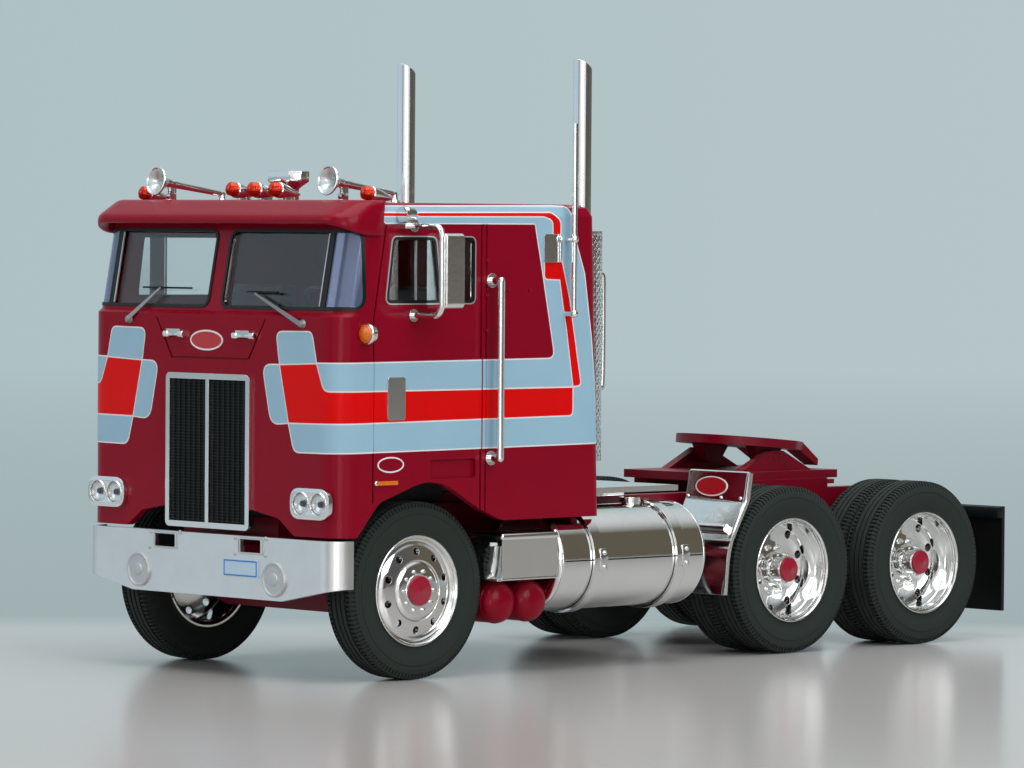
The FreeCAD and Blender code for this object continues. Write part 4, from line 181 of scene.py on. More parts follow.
class Effect(Enum):
    """Node groups that more than one finish uses, with what each takes besides a vector, and gives."""

    MOTTLE = ("mottled_skin", {"Colour": "Color", "Size": "Float", "Amount": "Float"}, {"Colour": "Color"})
    DUST = ("settled_dust", {"Colour": "Color", "Roughness": "Float", "Amount": "Float"},
            {"Colour": "Color", "Roughness": "Float"})
    GRAIN = ("fine_grain", {"Size": "Float", "Height": "Float"}, {"Height": "Float"})
    SCUFF = ("hair_scuffs", {"Size": "Float", "Roughness": "Float", "Amount": "Float"}, {"Roughness": "Float"})

    def group(self) -> bpy.types.NodeTree:
        """Builds the effect's node group, or returns it if it is there."""
        name, takes, gives = self.value
        found = bpy.data.node_groups.get(name)
        if found:
            return found
        made = bpy.data.node_groups.new(name, "ShaderNodeTree")
        for sockets, way in (({"Vector": "Vector"} | takes, "INPUT"), (gives, "OUTPUT")):
            for socket, kind in sockets.items():
                made.interface.new_socket(socket, in_out=way, socket_type="NodeSocket" + kind)
        tree = Tree(made)
        source = tree.add("NodeGroupInput").outputs
        recipe = {"MOTTLE": self.mottle, "DUST": self.dust, "GRAIN": self.grain, "SCUFF": self.scuff}[self.name]
        tree.feed(tree.add("NodeGroupOutput"), recipe(tree, source))
        return made

    def place(self, tree: Tree, vector: bpy.types.NodeSocket, **inputs: object) -> bpy.types.NodeOutputs:
        """Places the effect in a material.

        Args:
            tree: The material's node tree.
            vector: Object coordinates.
            **inputs: The effect's other inputs, as sockets or values.

        Returns:
            The placed group's outputs.
        """
        node = tree.add("Group", node_tree=self.group())
        return tree.feed(node, {"Vector": vector} | inputs).outputs

    @staticmethod
    def mottle(tree: Tree, source: bpy.types.NodeOutputs) -> dict[str, object]:
        """Darkens the colour in soft patches."""
        patches = tree.noise(source["Vector"], tree.math("DIVIDE", 1.0, source["Size"]), 3.0)
        share = tree.math("MULTIPLY", tree.range(patches, 0.35, 0.68), source["Amount"])
        deeper = tree.mix(1.0, source["Colour"], (0.62, 0.62, 0.62, 1.0), "MULTIPLY")
        return {"Colour": tree.mix(share, source["Colour"], deeper)}

    @staticmethod
    def dust(tree: Tree, source: bpy.types.NodeOutputs) -> dict[str, object]:
        """Lays pale, dull specks on what faces up."""
        facing = tree.feed(tree.add("SeparateXYZ"), {0: tree.add("NewGeometry").outputs["Normal"]})
        upward = tree.range(facing.outputs["Z"], 0.25, 0.95)
        specks = tree.range(tree.noise(source["Vector"], 900.0, 4.0), 0.38, 0.62)
        share = tree.math("MULTIPLY", tree.math("MULTIPLY", upward, specks), source["Amount"])
        return {"Colour": tree.mix(share, source["Colour"], (0.42, 0.4, 0.37, 1.0)),
                "Roughness": tree.math("MULTIPLY_ADD", share, 0.5, source["Roughness"])}

    @staticmethod
    def grain(tree: Tree, source: bpy.types.NodeOutputs) -> dict[str, object]:
        """Adds a coarse and a fine noise, as the height of a bump."""
        scale = tree.math("DIVIDE", 1.0, source["Size"])
        coarse = tree.noise(source["Vector"], scale, 1.0)
        fine = tree.noise(source["Vector"], tree.math("MULTIPLY", scale, 4.3), 2.0)
        both = tree.math("MULTIPLY_ADD", fine, 0.35, coarse)
        return {"Height": tree.math("MULTIPLY", both, source["Height"])}

    @staticmethod
    def scuff(tree: Tree, source: bpy.types.NodeOutputs) -> dict[str, object]:
        """Dulls the surface along stretched noise, as wiping does."""
        stretch = tree.feed(tree.add("Mapping"), {
            "Vector": source["Vector"], "Scale": (1.0, 6.0, 11.0), "Rotation": (0.35, 0.2, 0.5)})
        lines = tree.noise(stretch.outputs[0], tree.math("DIVIDE", 1.0, source["Size"]), 5.0)
        share = tree.math("MULTIPLY", tree.range(lines, 0.52, 0.72), source["Amount"])
        return {"Roughness": tree.math("ADD", share, source["Roughness"])}


# Finishes


@dataclass(frozen=True)
class Finish:
    """What every finish has: a name, the record's slot, a colour, and how to build its material."""

    name: str
    slot: Slot
    colour: Colour

    def material(self) -> bpy.types.Material:
        """Builds the material, or returns it if it is there."""
        found = bpy.data.materials.get(self.name)
        if found is None:
            found = bpy.data.materials.new(self.name)
            found.use_nodes = True
            found.diffuse_color = (*self.colour, 1.0)
            tree = Tree(found.node_tree)
            shader = found.node_tree.nodes["Principled BSDF"]
            tree.feed(shader, self.inputs(tree, tree.add("TexCoord").outputs["Object"]))
        return found

    def inputs(self, tree: Tree, vector: bpy.types.NodeSocket) -> dict[str | int, object]:
        """Gives the shader's inputs.

        Args:
            tree: The material's node tree.
            vector: Object coordinates.

        Returns:
            A socket or a value for each input that isn't left as it is.
        """
        raise NotImplementedError


@dataclass(frozen=True)
class Opaque(Finish):
    """Paint, plating, rubber or dull plastic: the shader's numbers, and how strongly each effect shows."""

    roughness: float
    metallic: float = 0.0
    coat: float = 0.0
    coat_roughness: float = 0.05
    specular: float = 0.5
    alpha: float = 1.0
    mottle: float = 0.1
    mottle_size: float = 0.004
    dust: float = 0.08
    grain_size: float = 0.0006
    grain_depth: float = 0.000002
    scuff: float = 0.04
    scuff_size: float = 0.02
    rounded: float = 0.0

    def inputs(self, tree: Tree, vector: bpy.types.NodeSocket) -> dict[str | int, object]:
        """Gives the shader's inputs: mottle, scuffs and dust, and a grain on edges that look rounded."""
        mottle = Effect.MOTTLE.place(tree, vector, Colour=(*self.colour, 1.0), Size=self.mottle_size,
                                     Amount=self.mottle)
        scuffs = Effect.SCUFF.place(tree, vector, Size=self.scuff_size, Roughness=self.roughness,
                                    Amount=self.scuff)
        dust = Effect.DUST.place(tree, vector, Colour=mottle["Colour"], Roughness=scuffs["Roughness"],
                                 Amount=self.dust)
        grain = Effect.GRAIN.place(tree, vector, Size=self.grain_size, Height=1.0)
        bump = tree.feed(tree.add("Bump"), {"Distance": self.grain_depth, "Height": grain["Height"]})
        if self.rounded:
            soft = tree.feed(tree.add("Bevel", samples=3), {"Radius": self.rounded})
            tree.join(soft.outputs[0], bump.inputs["Normal"])
        return {"Base Color": dust["Colour"], "Roughness": dust["Roughness"], "Normal": bump.outputs[0],
                "Metallic": self.metallic, "Coat Weight": self.coat, "Coat Roughness": self.coat_roughness,
                "Specular IOR Level": self.specular, "Alpha": self.alpha}


@dataclass(frozen=True)
class Clear(Finish):
    """Glass or clear moulded plastic."""

    roughness: float = 0.02
    index: float = 1.45
    mottle: float = 0.04
    mottle_size: float = 0.006
    scuff: float = 0.03
    scuff_size: float = 0.01
    grain_size: float = 0.004
    grain_depth: float = 0.000001

    def inputs(self, tree: Tree, vector: bpy.types.NodeSocket) -> dict[str | int, object]:
        """Gives the shader's inputs: a faint mottle, scuffs and grain, and full transmission."""
        mottle = Effect.MOTTLE.place(tree, vector, Colour=(*self.colour, 1.0), Size=self.mottle_size,
                                     Amount=self.mottle)
        scuffs = Effect.SCUFF.place(tree, vector, Size=self.scuff_size, Roughness=self.roughness,
                                    Amount=self.scuff)
        grain = Effect.GRAIN.place(tree, vector, Size=self.grain_size, Height=1.0)
        bump = tree.feed(tree.add("Bump"), {"Distance": self.grain_depth, "Height": grain["Height"]})
        return {"Base Color": mottle["Colour"], "Roughness": scuffs["Roughness"], "Normal": bump.outputs[0],
                "Transmission Weight": 1.0, "IOR": self.index}


CRIMSON = Opaque("crimson_enamel", Slot.CRIMSON, srgb(142, 0, 33), 0.28, coat=0.14, specular=0.1, mottle=0.14,
                 mottle_size=0.006, dust=0.015, grain_size=0.0011, grain_depth=0.0000035, scuff=0.05,
                 rounded=0.00012)
CRIMSON_CHASSIS = Opaque("crimson_chassis", Slot.CRIMSON, srgb(122, 0, 30), 0.4, coat=0.08, coat_roughness=0.2,
                         specular=0.2, mottle=0.25, mottle_size=0.003, dust=0.16, grain_size=0.0007,
                         grain_depth=0.000004)
CRIMSON_CAP = Opaque("crimson_cap", Slot.CRIMSON, srgb(165, 12, 48), 0.28, coat=0.6, mottle=0.3,
                     mottle_size=0.0009, dust=0.02, grain_size=0.0005, grain_depth=0.000012)
CHROME = Opaque("vacuum_chrome", Slot.CHROME, srgb(232, 233, 232), 0.07, metallic=1.0, mottle=0.08,
                mottle_size=0.005, dust=0.06, grain_size=0.0016, grain_depth=0.000003, scuff=0.05, rounded=0.0001)
BRUSHED = Opaque("bumper_plate", Slot.CHROME, srgb(226, 228, 228), 0.3, metallic=1.0, mottle_size=0.003,
                 dust=0.05, grain_size=0.0004, scuff=0.08, rounded=0.0001)
SILVER = Opaque("silver_paint", Slot.CHROME, srgb(196, 200, 200), 0.42, metallic=0.6, mottle=0.12, dust=0.05,
                grain_size=0.0003, grain_depth=0.000004)
GREY = Opaque("engine_grey", Slot.GREY, srgb(96, 98, 100), 0.45, metallic=0.2, mottle=0.35, mottle_size=0.002,
              dust=0.2, grain_depth=0.000008)
DARK = Opaque("cab_lining", Slot.DARK, srgb(38, 38, 40), 0.6, mottle=0.2, mottle_size=0.002, dust=0.1,
              grain_size=0.0003, grain_depth=0.000008)
BLACK = Opaque("black_rubber_trim", Slot.BLACK, srgb(10, 16, 16), 0.42, specular=0.3, mottle=0.2,
               mottle_size=0.003, dust=0.06, grain_size=0.0004, grain_depth=0.000004)
MESH_BLACK = Opaque("mesh_black", Slot.BLACK, srgb(5, 16, 14), 0.55, specular=0.25, mottle=0.3,
                    mottle_size=0.0008, dust=0.05, grain_size=0.0003, grain_depth=0.000006)
# Tyre rubber: dark rubber, tinted green as a painted sheen.
TYRE = Opaque("tyre_rubber", Slot.TYRE, srgb(13, 30, 28), 0.4, mottle=0.3, mottle_size=0.0015, dust=0.05,
              grain_size=0.00035, grain_depth=0.000007, scuff=0.1, rounded=0.00006)
FLAP = Opaque("flap_rubber", Slot.BLACK, srgb(10, 14, 13), 0.36, mottle=0.25, dust=0.05, grain_size=0.0012,
              grain_depth=0.00001)
STRIPE_WHITE = Opaque("stripe_white", Slot.CRIMSON, srgb(240, 238, 240), 0.34, coat=0.1, specular=0.2,
                      mottle=0.05, dust=0.03, grain_size=0.0011, grain_depth=0.0000035)
STRIPE_BLUE = Opaque("stripe_blue", Slot.CRIMSON, srgb(158, 197, 218), 0.34, coat=0.1, specular=0.2,
                     mottle=0.07, dust=0.03, grain_size=0.0011, grain_depth=0.0000035)
STRIPE_RED = Opaque("stripe_red", Slot.CRIMSON, srgb(228, 2, 2), 0.34, coat=0.08, specular=0.12, dust=0.02,
                    grain_size=0.0011, grain_depth=0.0000035)
BADGE_RED = Opaque("badge_red", Slot.CRIMSON, srgb(190, 8, 26), 0.3, coat=0.6, dust=0.02)
AMBER = Opaque("amber_paint", Slot.AMBER, srgb(238, 118, 10), 0.25, coat=0.5, mottle=0.3, mottle_size=0.0006,
               dust=0.02, grain_size=0.0005, grain_depth=0.00001)
SIGNAL = Opaque("signal_orange", Slot.AMBER, srgb(214, 44, 0), 0.16, metallic=0.6, coat=0.3, mottle=0.5,
                mottle_size=0.0006, dust=0.0, grain_size=0.0005, grain_depth=0.00003)
PLATE = Opaque("plate_pale_blue", Slot.PLATE, srgb(196, 220, 240), 0.35, mottle=0.06, dust=0.03)
PLATE_EDGE = Opaque("plate_border", Slot.PLATE, srgb(40, 130, 205), 0.35, mottle=0.06, dust=0.03)
SEAT = Opaque("seat_vinyl", Slot.DARK, srgb(52, 50, 50), 0.5, mottle=0.25, mottle_size=0.002,
              grain_size=0.0004, grain_depth=0.000012)
HORN_INSIDE = Opaque("horn_inside", Slot.CHROME, srgb(214, 222, 222), 0.3, metallic=0.7, mottle=0.2,
                     mottle_size=0.001, dust=0.02)
REFLECTOR = Opaque("lamp_reflector", Slot.CHROME, srgb(236, 238, 238), 0.22, metallic=0.75, mottle=0.15,
                   mottle_size=0.0006, dust=0.02, grain_size=0.0003, grain_depth=0.000006)
WIPER_GREY = Opaque("wiper_grey", Slot.CHROME, srgb(150, 150, 152), 0.4, metallic=0.6, mottle=0.2, dust=0.05)
# Corner panes: partly real reflection from the metallic coat, and partly painted reflection: the blue, half-opaque
# colour stands in for a pale blue window reflected in the curved glass.
CORNER_GLASS_PAINTED_REFLECTION = Opaque("corner_glazing_painted_reflection", Slot.CLEAR, srgb(116, 132, 166), 0.1, metallic=0.35, coat=0.6,
                      alpha=0.62, mottle=0.3, dust=0.02)
GLASS = Clear("window_glazing", Slot.CLEAR, srgb(246, 250, 250))
LENS = Clear("lamp_glazing", Slot.LAMP, srgb(250, 252, 252), 0.04)

CAD_FINISHES: dict[Finish, tuple[str, ...]] = {
    CRIMSON: ("cab_shell", "sun_visor", "air_tanks"),
    CRIMSON_CHASSIS: ("chassis_frame", "front_axle", "rear_axles", "leaf_springs", "fifth_wheel_base",
                      "fifth_wheel_plate"),
    GREY: ("engine_block", "drive_line"),
    GLASS: ("windscreen", "door_glass"),
    LENS: ("headlamp_lenses",),
    DARK: ("cab_interior", "steering_wheel"),
    SEAT: ("seats",),
    MESH_BLACK: ("grille_mesh",),
    BRUSHED: ("bumper",),
    SILVER: ("fog_lamps", "wipers"),
    PLATE: ("licence_plate",),
    SIGNAL: ("amber_lenses",),
    FLAP: ("mud_flaps",),
}


def dress_frame() -> None:
    """Gives every CAD node its finish; what the table leaves out is a tyre, a hub cap or plated."""
    chosen = {name: finish for finish, names in CAD_FINISHES.items() for name in names}
    for name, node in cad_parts.items():
        finish = chosen.get(name, TYRE if "tyre" in name else CRIMSON_CAP if name.endswith("cap") else CHROME)
        node.data.materials.clear()
        node.data.materials.append(finish.material())
        LOG.info("CAD node %s takes %s", name, finish.name)


# The workbench


class Bench:
    """One mesh on the bench, modelled in millimetres with Blender's own tools."""

    def __init__(self, name: str) -> None:
        """Keeps the name of the piece that is to be made."""
        self.name = name
        self.obj: bpy.types.Object | None = None

    @staticmethod
    def clear() -> None:
        """Deselects everything in object mode."""
        if bpy.context.object and bpy.context.object.mode != "OBJECT":
            bpy.ops.object.mode_set(mode="OBJECT")
        bpy.ops.object.select_all(action="DESELECT")

    def take(self) -> "Bench":
        """Names the new object and puts its place into its mesh."""
        self.obj = bpy.context.object
        self.obj.name = self.name
        bpy.ops.object.transform_apply(location=True, rotation=True, scale=True)
        return self

    def hold(self) -> None:
        """Selects this piece alone, in object mode."""
        self.clear()
        self.obj.select_set(True)
        bpy.context.view_layer.objects.active = self.obj

    def twin(self, name: str) -> "Bench":
        """Copies the piece, with a mesh of its own, under another name."""
        made = Bench(name)
        made.obj = self.obj.copy()
        made.obj.data = self.obj.data.copy()
        bpy.context.scene.collection.objects.link(made.obj)
        return made

    def scrap(self) -> None:
        """Throws the piece away."""
        bpy.data.objects.remove(self.obj)

    def block(self, low: Point, high: Point, rounded: float = 0.0, segments: int = 2) -> "Bench":
        """Starts from a cube between two corners and rounds its edges.

        Args:
            low: The lowest corner.
            high: The highest corner.
            rounded: The radius of its edges.
            segments: How many steps each rounded edge has.

        Returns:
            The bench.
        """
        self.clear()
        middle = [(a + b) / 2 for a, b in zip(low, high)]
        extent = [b - a for a, b in zip(low, high)]
        bpy.ops.mesh.primitive_cube_add(size=1.0, location=middle, scale=extent)
        self.take()
        if rounded:
            self.pick(Element.EDGE)
            bpy.ops.mesh.bevel(offset=rounded, segments=segments, affect="EDGES")
        return self

    def turned(self, profile: Sequence[Flat], axis: str, steps: int, centre: Point = ORIGIN) -> "Bench":
        """Spins a profile round an axis.

        Args:
            profile: Points as (place along the axis, radius).
            axis: "X", "Y" or "Z".
            steps: How many steps the turn has.
            centre: A point on the axis, from which the places are counted.

        Returns:
            The bench.
        """
        self.clear()
        bpy.ops.mesh.primitive_plane_add(size=1.0, location=ORIGIN)
        self.take()
        bpy.ops.object.mode_set(mode="EDIT")
        bpy.ops.mesh.select_mode(type="VERT")
        bpy.ops.mesh.select_all(action="SELECT")
        bpy.ops.mesh.merge(type="CENTER")
        last = Vector(ORIGIN)
        for number, (along, radius) in enumerate(profile):
            offset = {"X": (along, 0.0, radius), "Y": (0.0, along, radius), "Z": (radius, 0.0, along)}[axis]
            place = Vector(centre) + Vector(offset)
            if number:
                bpy.ops.mesh.extrude_vertices_move(TRANSFORM_OT_translate={"value": place - last})
            else:
                bpy.ops.transform.translate(value=place)
            last = place
        bpy.ops.mesh.select_all(action="SELECT")
        line = {"X": (1, 0, 0), "Y": (0, 1, 0), "Z": (0, 0, 1)}[axis]
        bpy.ops.mesh.spin(steps=steps, angle=math.tau, center=centre, axis=line)
        bpy.ops.mesh.select_all(action="SELECT")
        bpy.ops.mesh.remove_doubles(threshold=0.0004)
        bpy.ops.mesh.normals_make_consistent(inside=False)
        return self

    def drawn(self, curve: bpy.types.Curve) -> "Bench":
        """Makes the piece from a curve."""
        self.clear()
        drawing = bpy.data.objects.new(self.name, curve)
        bpy.context.scene.collection.objects.link(drawing)
        drawing.select_set(True)
        bpy.context.view_layer.objects.active = drawing
        bpy.ops.object.convert(target="MESH")
        return self.take()

    def flat(self, *outlines: Sequence[Flat]) -> "Bench":
        """Fills closed outlines on the XY plane, facing up, and leaves those inside others open."""
        curve = bpy.data.curves.new(self.name, "CURVE")
        curve.dimensions = "2D"
        curve.fill_mode = "BOTH"
        for outline in outlines:
            spline = curve.splines.new("POLY")
            spline.points.add(len(outline) - 1)
            for point, (x, y) in zip(spline.points, outline):
                point.co = (x, y, 0.0, 1.0)
            spline.use_cyclic_u = True
        self.drawn(curve)
        if self.obj.data.polygons[0].normal.z < 0:
            self.pick(Element.FACE)
            bpy.ops.mesh.flip_normals()
            self.hold()
        return self

    def tube(self, points: Sequence[Point], radius: float, sides: int = 3, smooth: bool = False) -> "Bench":
        """Lays a round tube along points.

        Args:
            points: The points it follows.
            radius: Its radius.
            sides: The curve's bevel resolution.
            smooth: Whether the line between the points is a smooth curve.

        Returns:
            The bench.
        """
        curve = bpy.data.curves.new(self.name, "CURVE")
        curve.dimensions = "3D"
        curve.bevel_depth = radius
        curve.bevel_resolution = sides
        curve.use_fill_caps = True
        spline = curve.splines.new("NURBS" if smooth else "POLY")
        spline.points.add(len(points) - 1)
        for point, place in zip(spline.points, points):
            point.co = (*place, 1.0)
        if smooth:
            spline.order_u = 3
            spline.use_endpoint_u = True
            spline.resolution_u = 6
        return self.drawn(curve)

    def pick(self, element: Element, test: Callable[[Vector, Vector], bool] = lambda at, way: True) -> None:
        """Goes into edit mode and selects what passes a test, or everything.

        Args:
            element: Corners, edges or faces.
            test: Takes a middle and a direction (a normal, or an edge's own way) and says whether to select.
        """
        self.hold()
        bpy.ops.object.mode_set(mode="EDIT")
        bpy.ops.mesh.select_mode(type=element.value)
        bpy.ops.mesh.select_all(action="DESELECT")
        mesh = bmesh.from_edit_mesh(self.obj.data)
        if element is Element.FACE:
            for face in mesh.faces:
                face.select_set(test(face.calc_center_median(), face.normal))
        elif element is Element.EDGE:
            for edge in mesh.edges:
                start, end = (vert.co for vert in edge.verts)
                edge.select_set(test((start + end) / 2, end - start))
        else:
            for vert in mesh.verts:
                vert.select_set(test(vert.co, vert.normal))
        mesh.select_flush_mode()
        bmesh.update_edit_mesh(self.obj.data)

    def slice(self, place: Flat, normal: Flat = (1.0, 0.0)) -> None:
        """Cuts the whole flat mesh along a line, taking nothing off."""
        self.pick(Element.FACE)
        bpy.ops.mesh.bisect(plane_co=(*place, 0.0), plane_no=(*normal, 0.0))

    def wrap(self, surface: Callable[[float, float], Point]) -> "Bench":
        """Lays the flat mesh onto a surface, given as a way from (x, y) to a place."""
        self.hold()
        for vertex in self.obj.data.vertices:
            vertex.co = surface(vertex.co.x, vertex.co.y)
        return self

    def modify(self, kind: str, **values: object) -> "Bench":
        """Adds a modifier with some settings and applies it."""
        self.hold()
        modifier = self.obj.modifiers.new(kind.lower(), kind)
        for key, value in values.items():
            setattr(modifier, key, value)
        bpy.ops.object.modifier_apply(modifier=modifier.name)
        return self

    def thicken(self, thickness: float, offset: float = -1.0) -> "Bench":
        """Gives a sheet a thickness, to the inside."""
        return self.modify("SOLIDIFY", thickness=thickness, offset=offset)

    def soften(self, width: float, segments: int) -> "Bench":
        """Rounds the sharp edges with an applied bevel."""
        return self.modify("BEVEL", width=width, segments=segments, limit_method="ANGLE")

    def carve(self, cutter: "Bench") -> None:
        """Cuts another piece's shape out of this one, and scraps the other."""
        self.modify("BOOLEAN", operation="DIFFERENCE", solver="EXACT", object=cutter.obj)
        cutter.scrap()

    def repeat(self, moves: Iterable[Matrix]) -> "Bench":
        """Replaces the mesh by copies of it, each moved by a matrix, all in one object."""
        self.hold()
        copies = []
        for move in moves:
            copy = self.twin(self.name).obj
            copy.data.transform(move)
            if move.determinant() < 0:
                copy.data.flip_normals()
            copies.append(copy)
        self.scrap()
        self.clear()
        for copy in copies:
            copy.select_set(True)
        bpy.context.view_layer.objects.active = copies[0]
        if len(copies) > 1:
            bpy.ops.object.join()
        self.obj = bpy.context.object
        self.obj.name = self.name
        return self

    def absorb(self, *others: "Bench") -> "Bench":
        """Joins other pieces on the bench to this one."""
        self.hold()
        for other in others:
            other.obj.select_set(True)
        bpy.ops.object.join()
        self.obj = bpy.context.object
        return self

    def both(self) -> "Bench":
        """Adds the piece's mirror image on the other side of the truck."""
        return self.repeat([Matrix.Identity(4), MIRROR])

    def finish(self, finish: Finish, body: str = "chassis", angle: float = 35.0) -> bpy.types.Object:
        """Scales the piece to metres, dresses it and sets it on a body.

        Args:
            finish: Its finish.
            body: The body it moves with.
            angle: Edges sharper than this many degrees stay sharp.

        Returns:
            The finished object.
        """
        self.hold()
        self.obj.scale = (MM, MM, MM)
        bpy.ops.object.transform_apply(location=True, rotation=True, scale=True)
        bpy.ops.object.shade_smooth_by_angle(angle=math.radians(angle))
        self.obj.data.materials.clear()
        self.obj.data.materials.append(finish.material())
        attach(self.obj, body)
        LOG.info("%s: %d faces in %s on %s", self.name, len(self.obj.data.polygons), finish.name, body)
        return self.obj


MIRROR = Matrix.Scale(-1.0, 4, (1.0, 0.0, 0.0))


def shift(x: float, y: float, z: float) -> Matrix:
    """The matrix that moves a piece."""
    return Matrix.Translation((x, y, z))


def ring_of(count: int, radius: float, start: float = 0.0) -> list[Matrix]:
    """Places round the X axis.

    Args:
        count: How many there are.
        radius: Their distance from the axis.
        start: Where the first stands, in steps.

    Returns:
        A matrix for each place.
    """
    turn = math.tau / count
    return [Matrix.Rotation(turn * (number + start), 4, "X") @ shift(0.0, 0.0, radius) for number in range(count)]


def rounded(corners: Corners, steps: int = 6) -> list[Flat]:
    """Rounds the corners of an outline that carry a radius.

    Args:
        corners: Points as (x, y) or (x, y, radius).
        steps: How many steps each rounded corner has.

    Returns:
        The outline's points.
    """
    made: list[Flat] = []
    for number, corner in enumerate(corners):
        place = Vector(corner[:2])
        if len(corner) < 3:
            made.append(tuple(place))
            continue
        before = Vector(corners[number - 1][:2]) - place
        after = Vector(corners[(number + 1) % len(corners)][:2]) - place
        half = before.angle(after) / 2
        reach = min(corner[2] / math.tan(half), before.length * 0.49, after.length * 0.49)
        start, end = place + before.normalized() * reach, place + after.normalized() * reach
        for step in range(steps + 1):
            t = step / steps
            made.append(tuple(start * (1 - t) ** 2 + place * (2 * t * (1 - t)) + end * t * t))
    return made


def grown(outline: Sequence[Flat], width: float) -> list[Flat]:
    """Moves an outline outwards by a width, or inwards by a negative one."""
    count = len(outline)
    points = [Vector(point) for point in outline]
    area = sum(a.cross(b) for a, b in zip(points, points[1:] + points[:1]))
    way = 1.0 if area > 0 else -1.0
    made = []
    for number in range(count):
        back = (points[number] - points[number - 1]).normalized()
        ahead = (points[(number + 1) % count] - points[number]).normalized()
        first, second = Vector((back.y, -back.x)), Vector((ahead.y, -ahead.x))
        share = max(0.35, 1 + first.dot(second))
        made.append(tuple(points[number] + (first + second) * (way * width / share)))
    return made


def oval(middle: Flat, half: Flat, steps: int = 40) -> list[Flat]:
    """The outline of an ellipse."""
    turn = math.tau / steps
    return [(middle[0] + half[0] * math.cos(turn * i), middle[1] + half[1] * math.sin(turn * i)) for i in range(steps)]


def oblong(low: Flat, high: Flat, radius: float, steps: int = 6) -> list[Flat]:
    """The outline of a rectangle with rounded corners."""
    return rounded([(*low, radius), (high[0], low[1], radius), (*high, radius), (low[0], high[1], radius)], steps)


# The truck's own planes, in millimetres

CAB_FRONT = -67.975
CAB_REAR = -18.675
CAB_HALF = 26.5
AXLES = {"front": -51.625, "rear1": 22.475, "rear2": 50.975}
HUB_HEIGHT = 12.14
WHEEL_PLANE = 21.8
TWIN_PLANE = 16.0
WHEELS = [(axle, side) for axle in AXLES for side in Side]
BUMPER_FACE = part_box("bumper")[0][1] / MM
FOG_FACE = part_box("fog_lamps")[0][1] / MM


@dataclass(frozen=True)
class CabSkin:
    """The cab's outside, as a map from (way round from the middle of the front, height) to a place."""

    corner: float = 3.6
    corner_steps: int = 8
    rear_corner: float = 1.4
    rear_lean: float = 1.5
    low: float = 19.8
    top: float = 64.8
    shoulder: float = 63.2
    shoulder_in: float = 0.48
    roof_middle: float = 64.32
    rake_start: float = 49.65
    rake_foot: float = 49.9
    rake_setback: float = 0.7
    rake: float = 2.2 / 11.6
    seams: tuple[float, ...] = (31.055, 51.055, 51.755)
    seam_width: float = 0.25
    seam_edge: float = 0.02
    seam_depth: float = 0.13
    seam_top: float = 62.0

    @property
    def bend(self) -> float:
        """The way round at which the front turns into the corner."""
        return CAB_HALF - self.corner

    @property
    def arc(self) -> float:
        """The length of the corner's arc."""
        return self.corner * math.pi / 2

    def front(self, height: float) -> float:
        """The front's place at a height: upright below the screens, raked above."""
        if height <= self.rake_start:
            return CAB_FRONT
        return CAB_FRONT + self.rake_setback + self.rake * (height - self.rake_foot)

    def rear_start(self, height: float) -> float:
        """Where the rear corner's arc starts at a height."""
        return CAB_REAR - self.rear_lean * (height - self.low) / (self.top - self.low) - self.rear_corner

    def behind(self, way: float, front: float) -> float:
        """The side's Y at a way round past the corner."""
        return front + self.corner + way - self.bend - self.arc

    def round_corner(self, way: float, height: float, lift: float, front: float) -> Point:
        """The place on the front or the corner arc at a way round."""
        if way <= self.bend:
            return way, front - lift, height
        turn = (way - self.bend) / self.corner
        reach = self.corner + lift
        return self.bend + reach * math.sin(turn), front + self.corner - reach * math.cos(turn), height

    def screen(self, way: float, height: float, lift: float) -> Point:
        """The place on the raked front, its corner or the side just behind it."""
        front = self.front(height)
        if way <= self.bend + self.arc:
            return self.round_corner(way, height, lift, front)
        return CAB_HALF + lift, self.behind(way, front), height

    def wall(self, way: float, height: float, lift: float) -> Point:
        """The place on the upright front, the side, the rear corner or the roof's round edge."""
        inside = (0.01 < way - seam < self.seam_width - 0.01 for seam in self.seams)
        if height < self.seam_top and any(inside):
            lift -= self.seam_depth
        if way <= self.bend + self.arc:
            return self.round_corner(way, height, lift, CAB_FRONT)
        y = self.behind(way, CAB_FRONT)
        rise = self.roof_middle - self.shoulder
        if height > self.roof_middle:
            x = CAB_HALF - self.shoulder_in - (height - self.roof_middle) * rise / self.shoulder_in
            return x + lift * 0.39, y, height + lift * 0.92
        if height > self.shoulder:
            x = CAB_HALF - self.shoulder_in * (height - self.shoulder) / rise
            return x + lift * 0.92, y, height + lift * 0.39
        start = self.rear_start(height)
        if y <= start:
            return CAB_HALF + lift, y, height
        turn = (y - start) / self.rear_corner
        reach = self.rear_corner + lift
        return CAB_HALF - self.rear_corner + reach * math.cos(turn), start + reach * math.sin(turn), height

    def score_corner(self, piece: Bench) -> None:
        """Cuts a flat mesh along the corner's arc, so that it bends there."""
        for step in range(self.corner_steps + 1):
            piece.slice((self.bend + self.arc * step / self.corner_steps, 0.0))

    def score(self, piece: Bench) -> None:
        """Cuts a flat mesh wherever the skin bends and at the door seams."""
        self.score_corner(piece)
        for seam in self.seams:
            for edge in (0.0, self.seam_edge, self.seam_width - self.seam_edge, self.seam_width):
                piece.slice((seam + edge, 0.0))
        for height in (self.shoulder, self.roof_middle):
            piece.slice((0.0, height), (0.0, 1.0))
        lean = self.rear_lean / (self.top - self.low)
        foot = self.rear_start(self.low) - self.behind(0.0, CAB_FRONT)
        for step in range(4):
            piece.slice((foot + step * 0.3, self.low), (1.0, lean))


SKIN = CabSkin()


# Stripes and badges


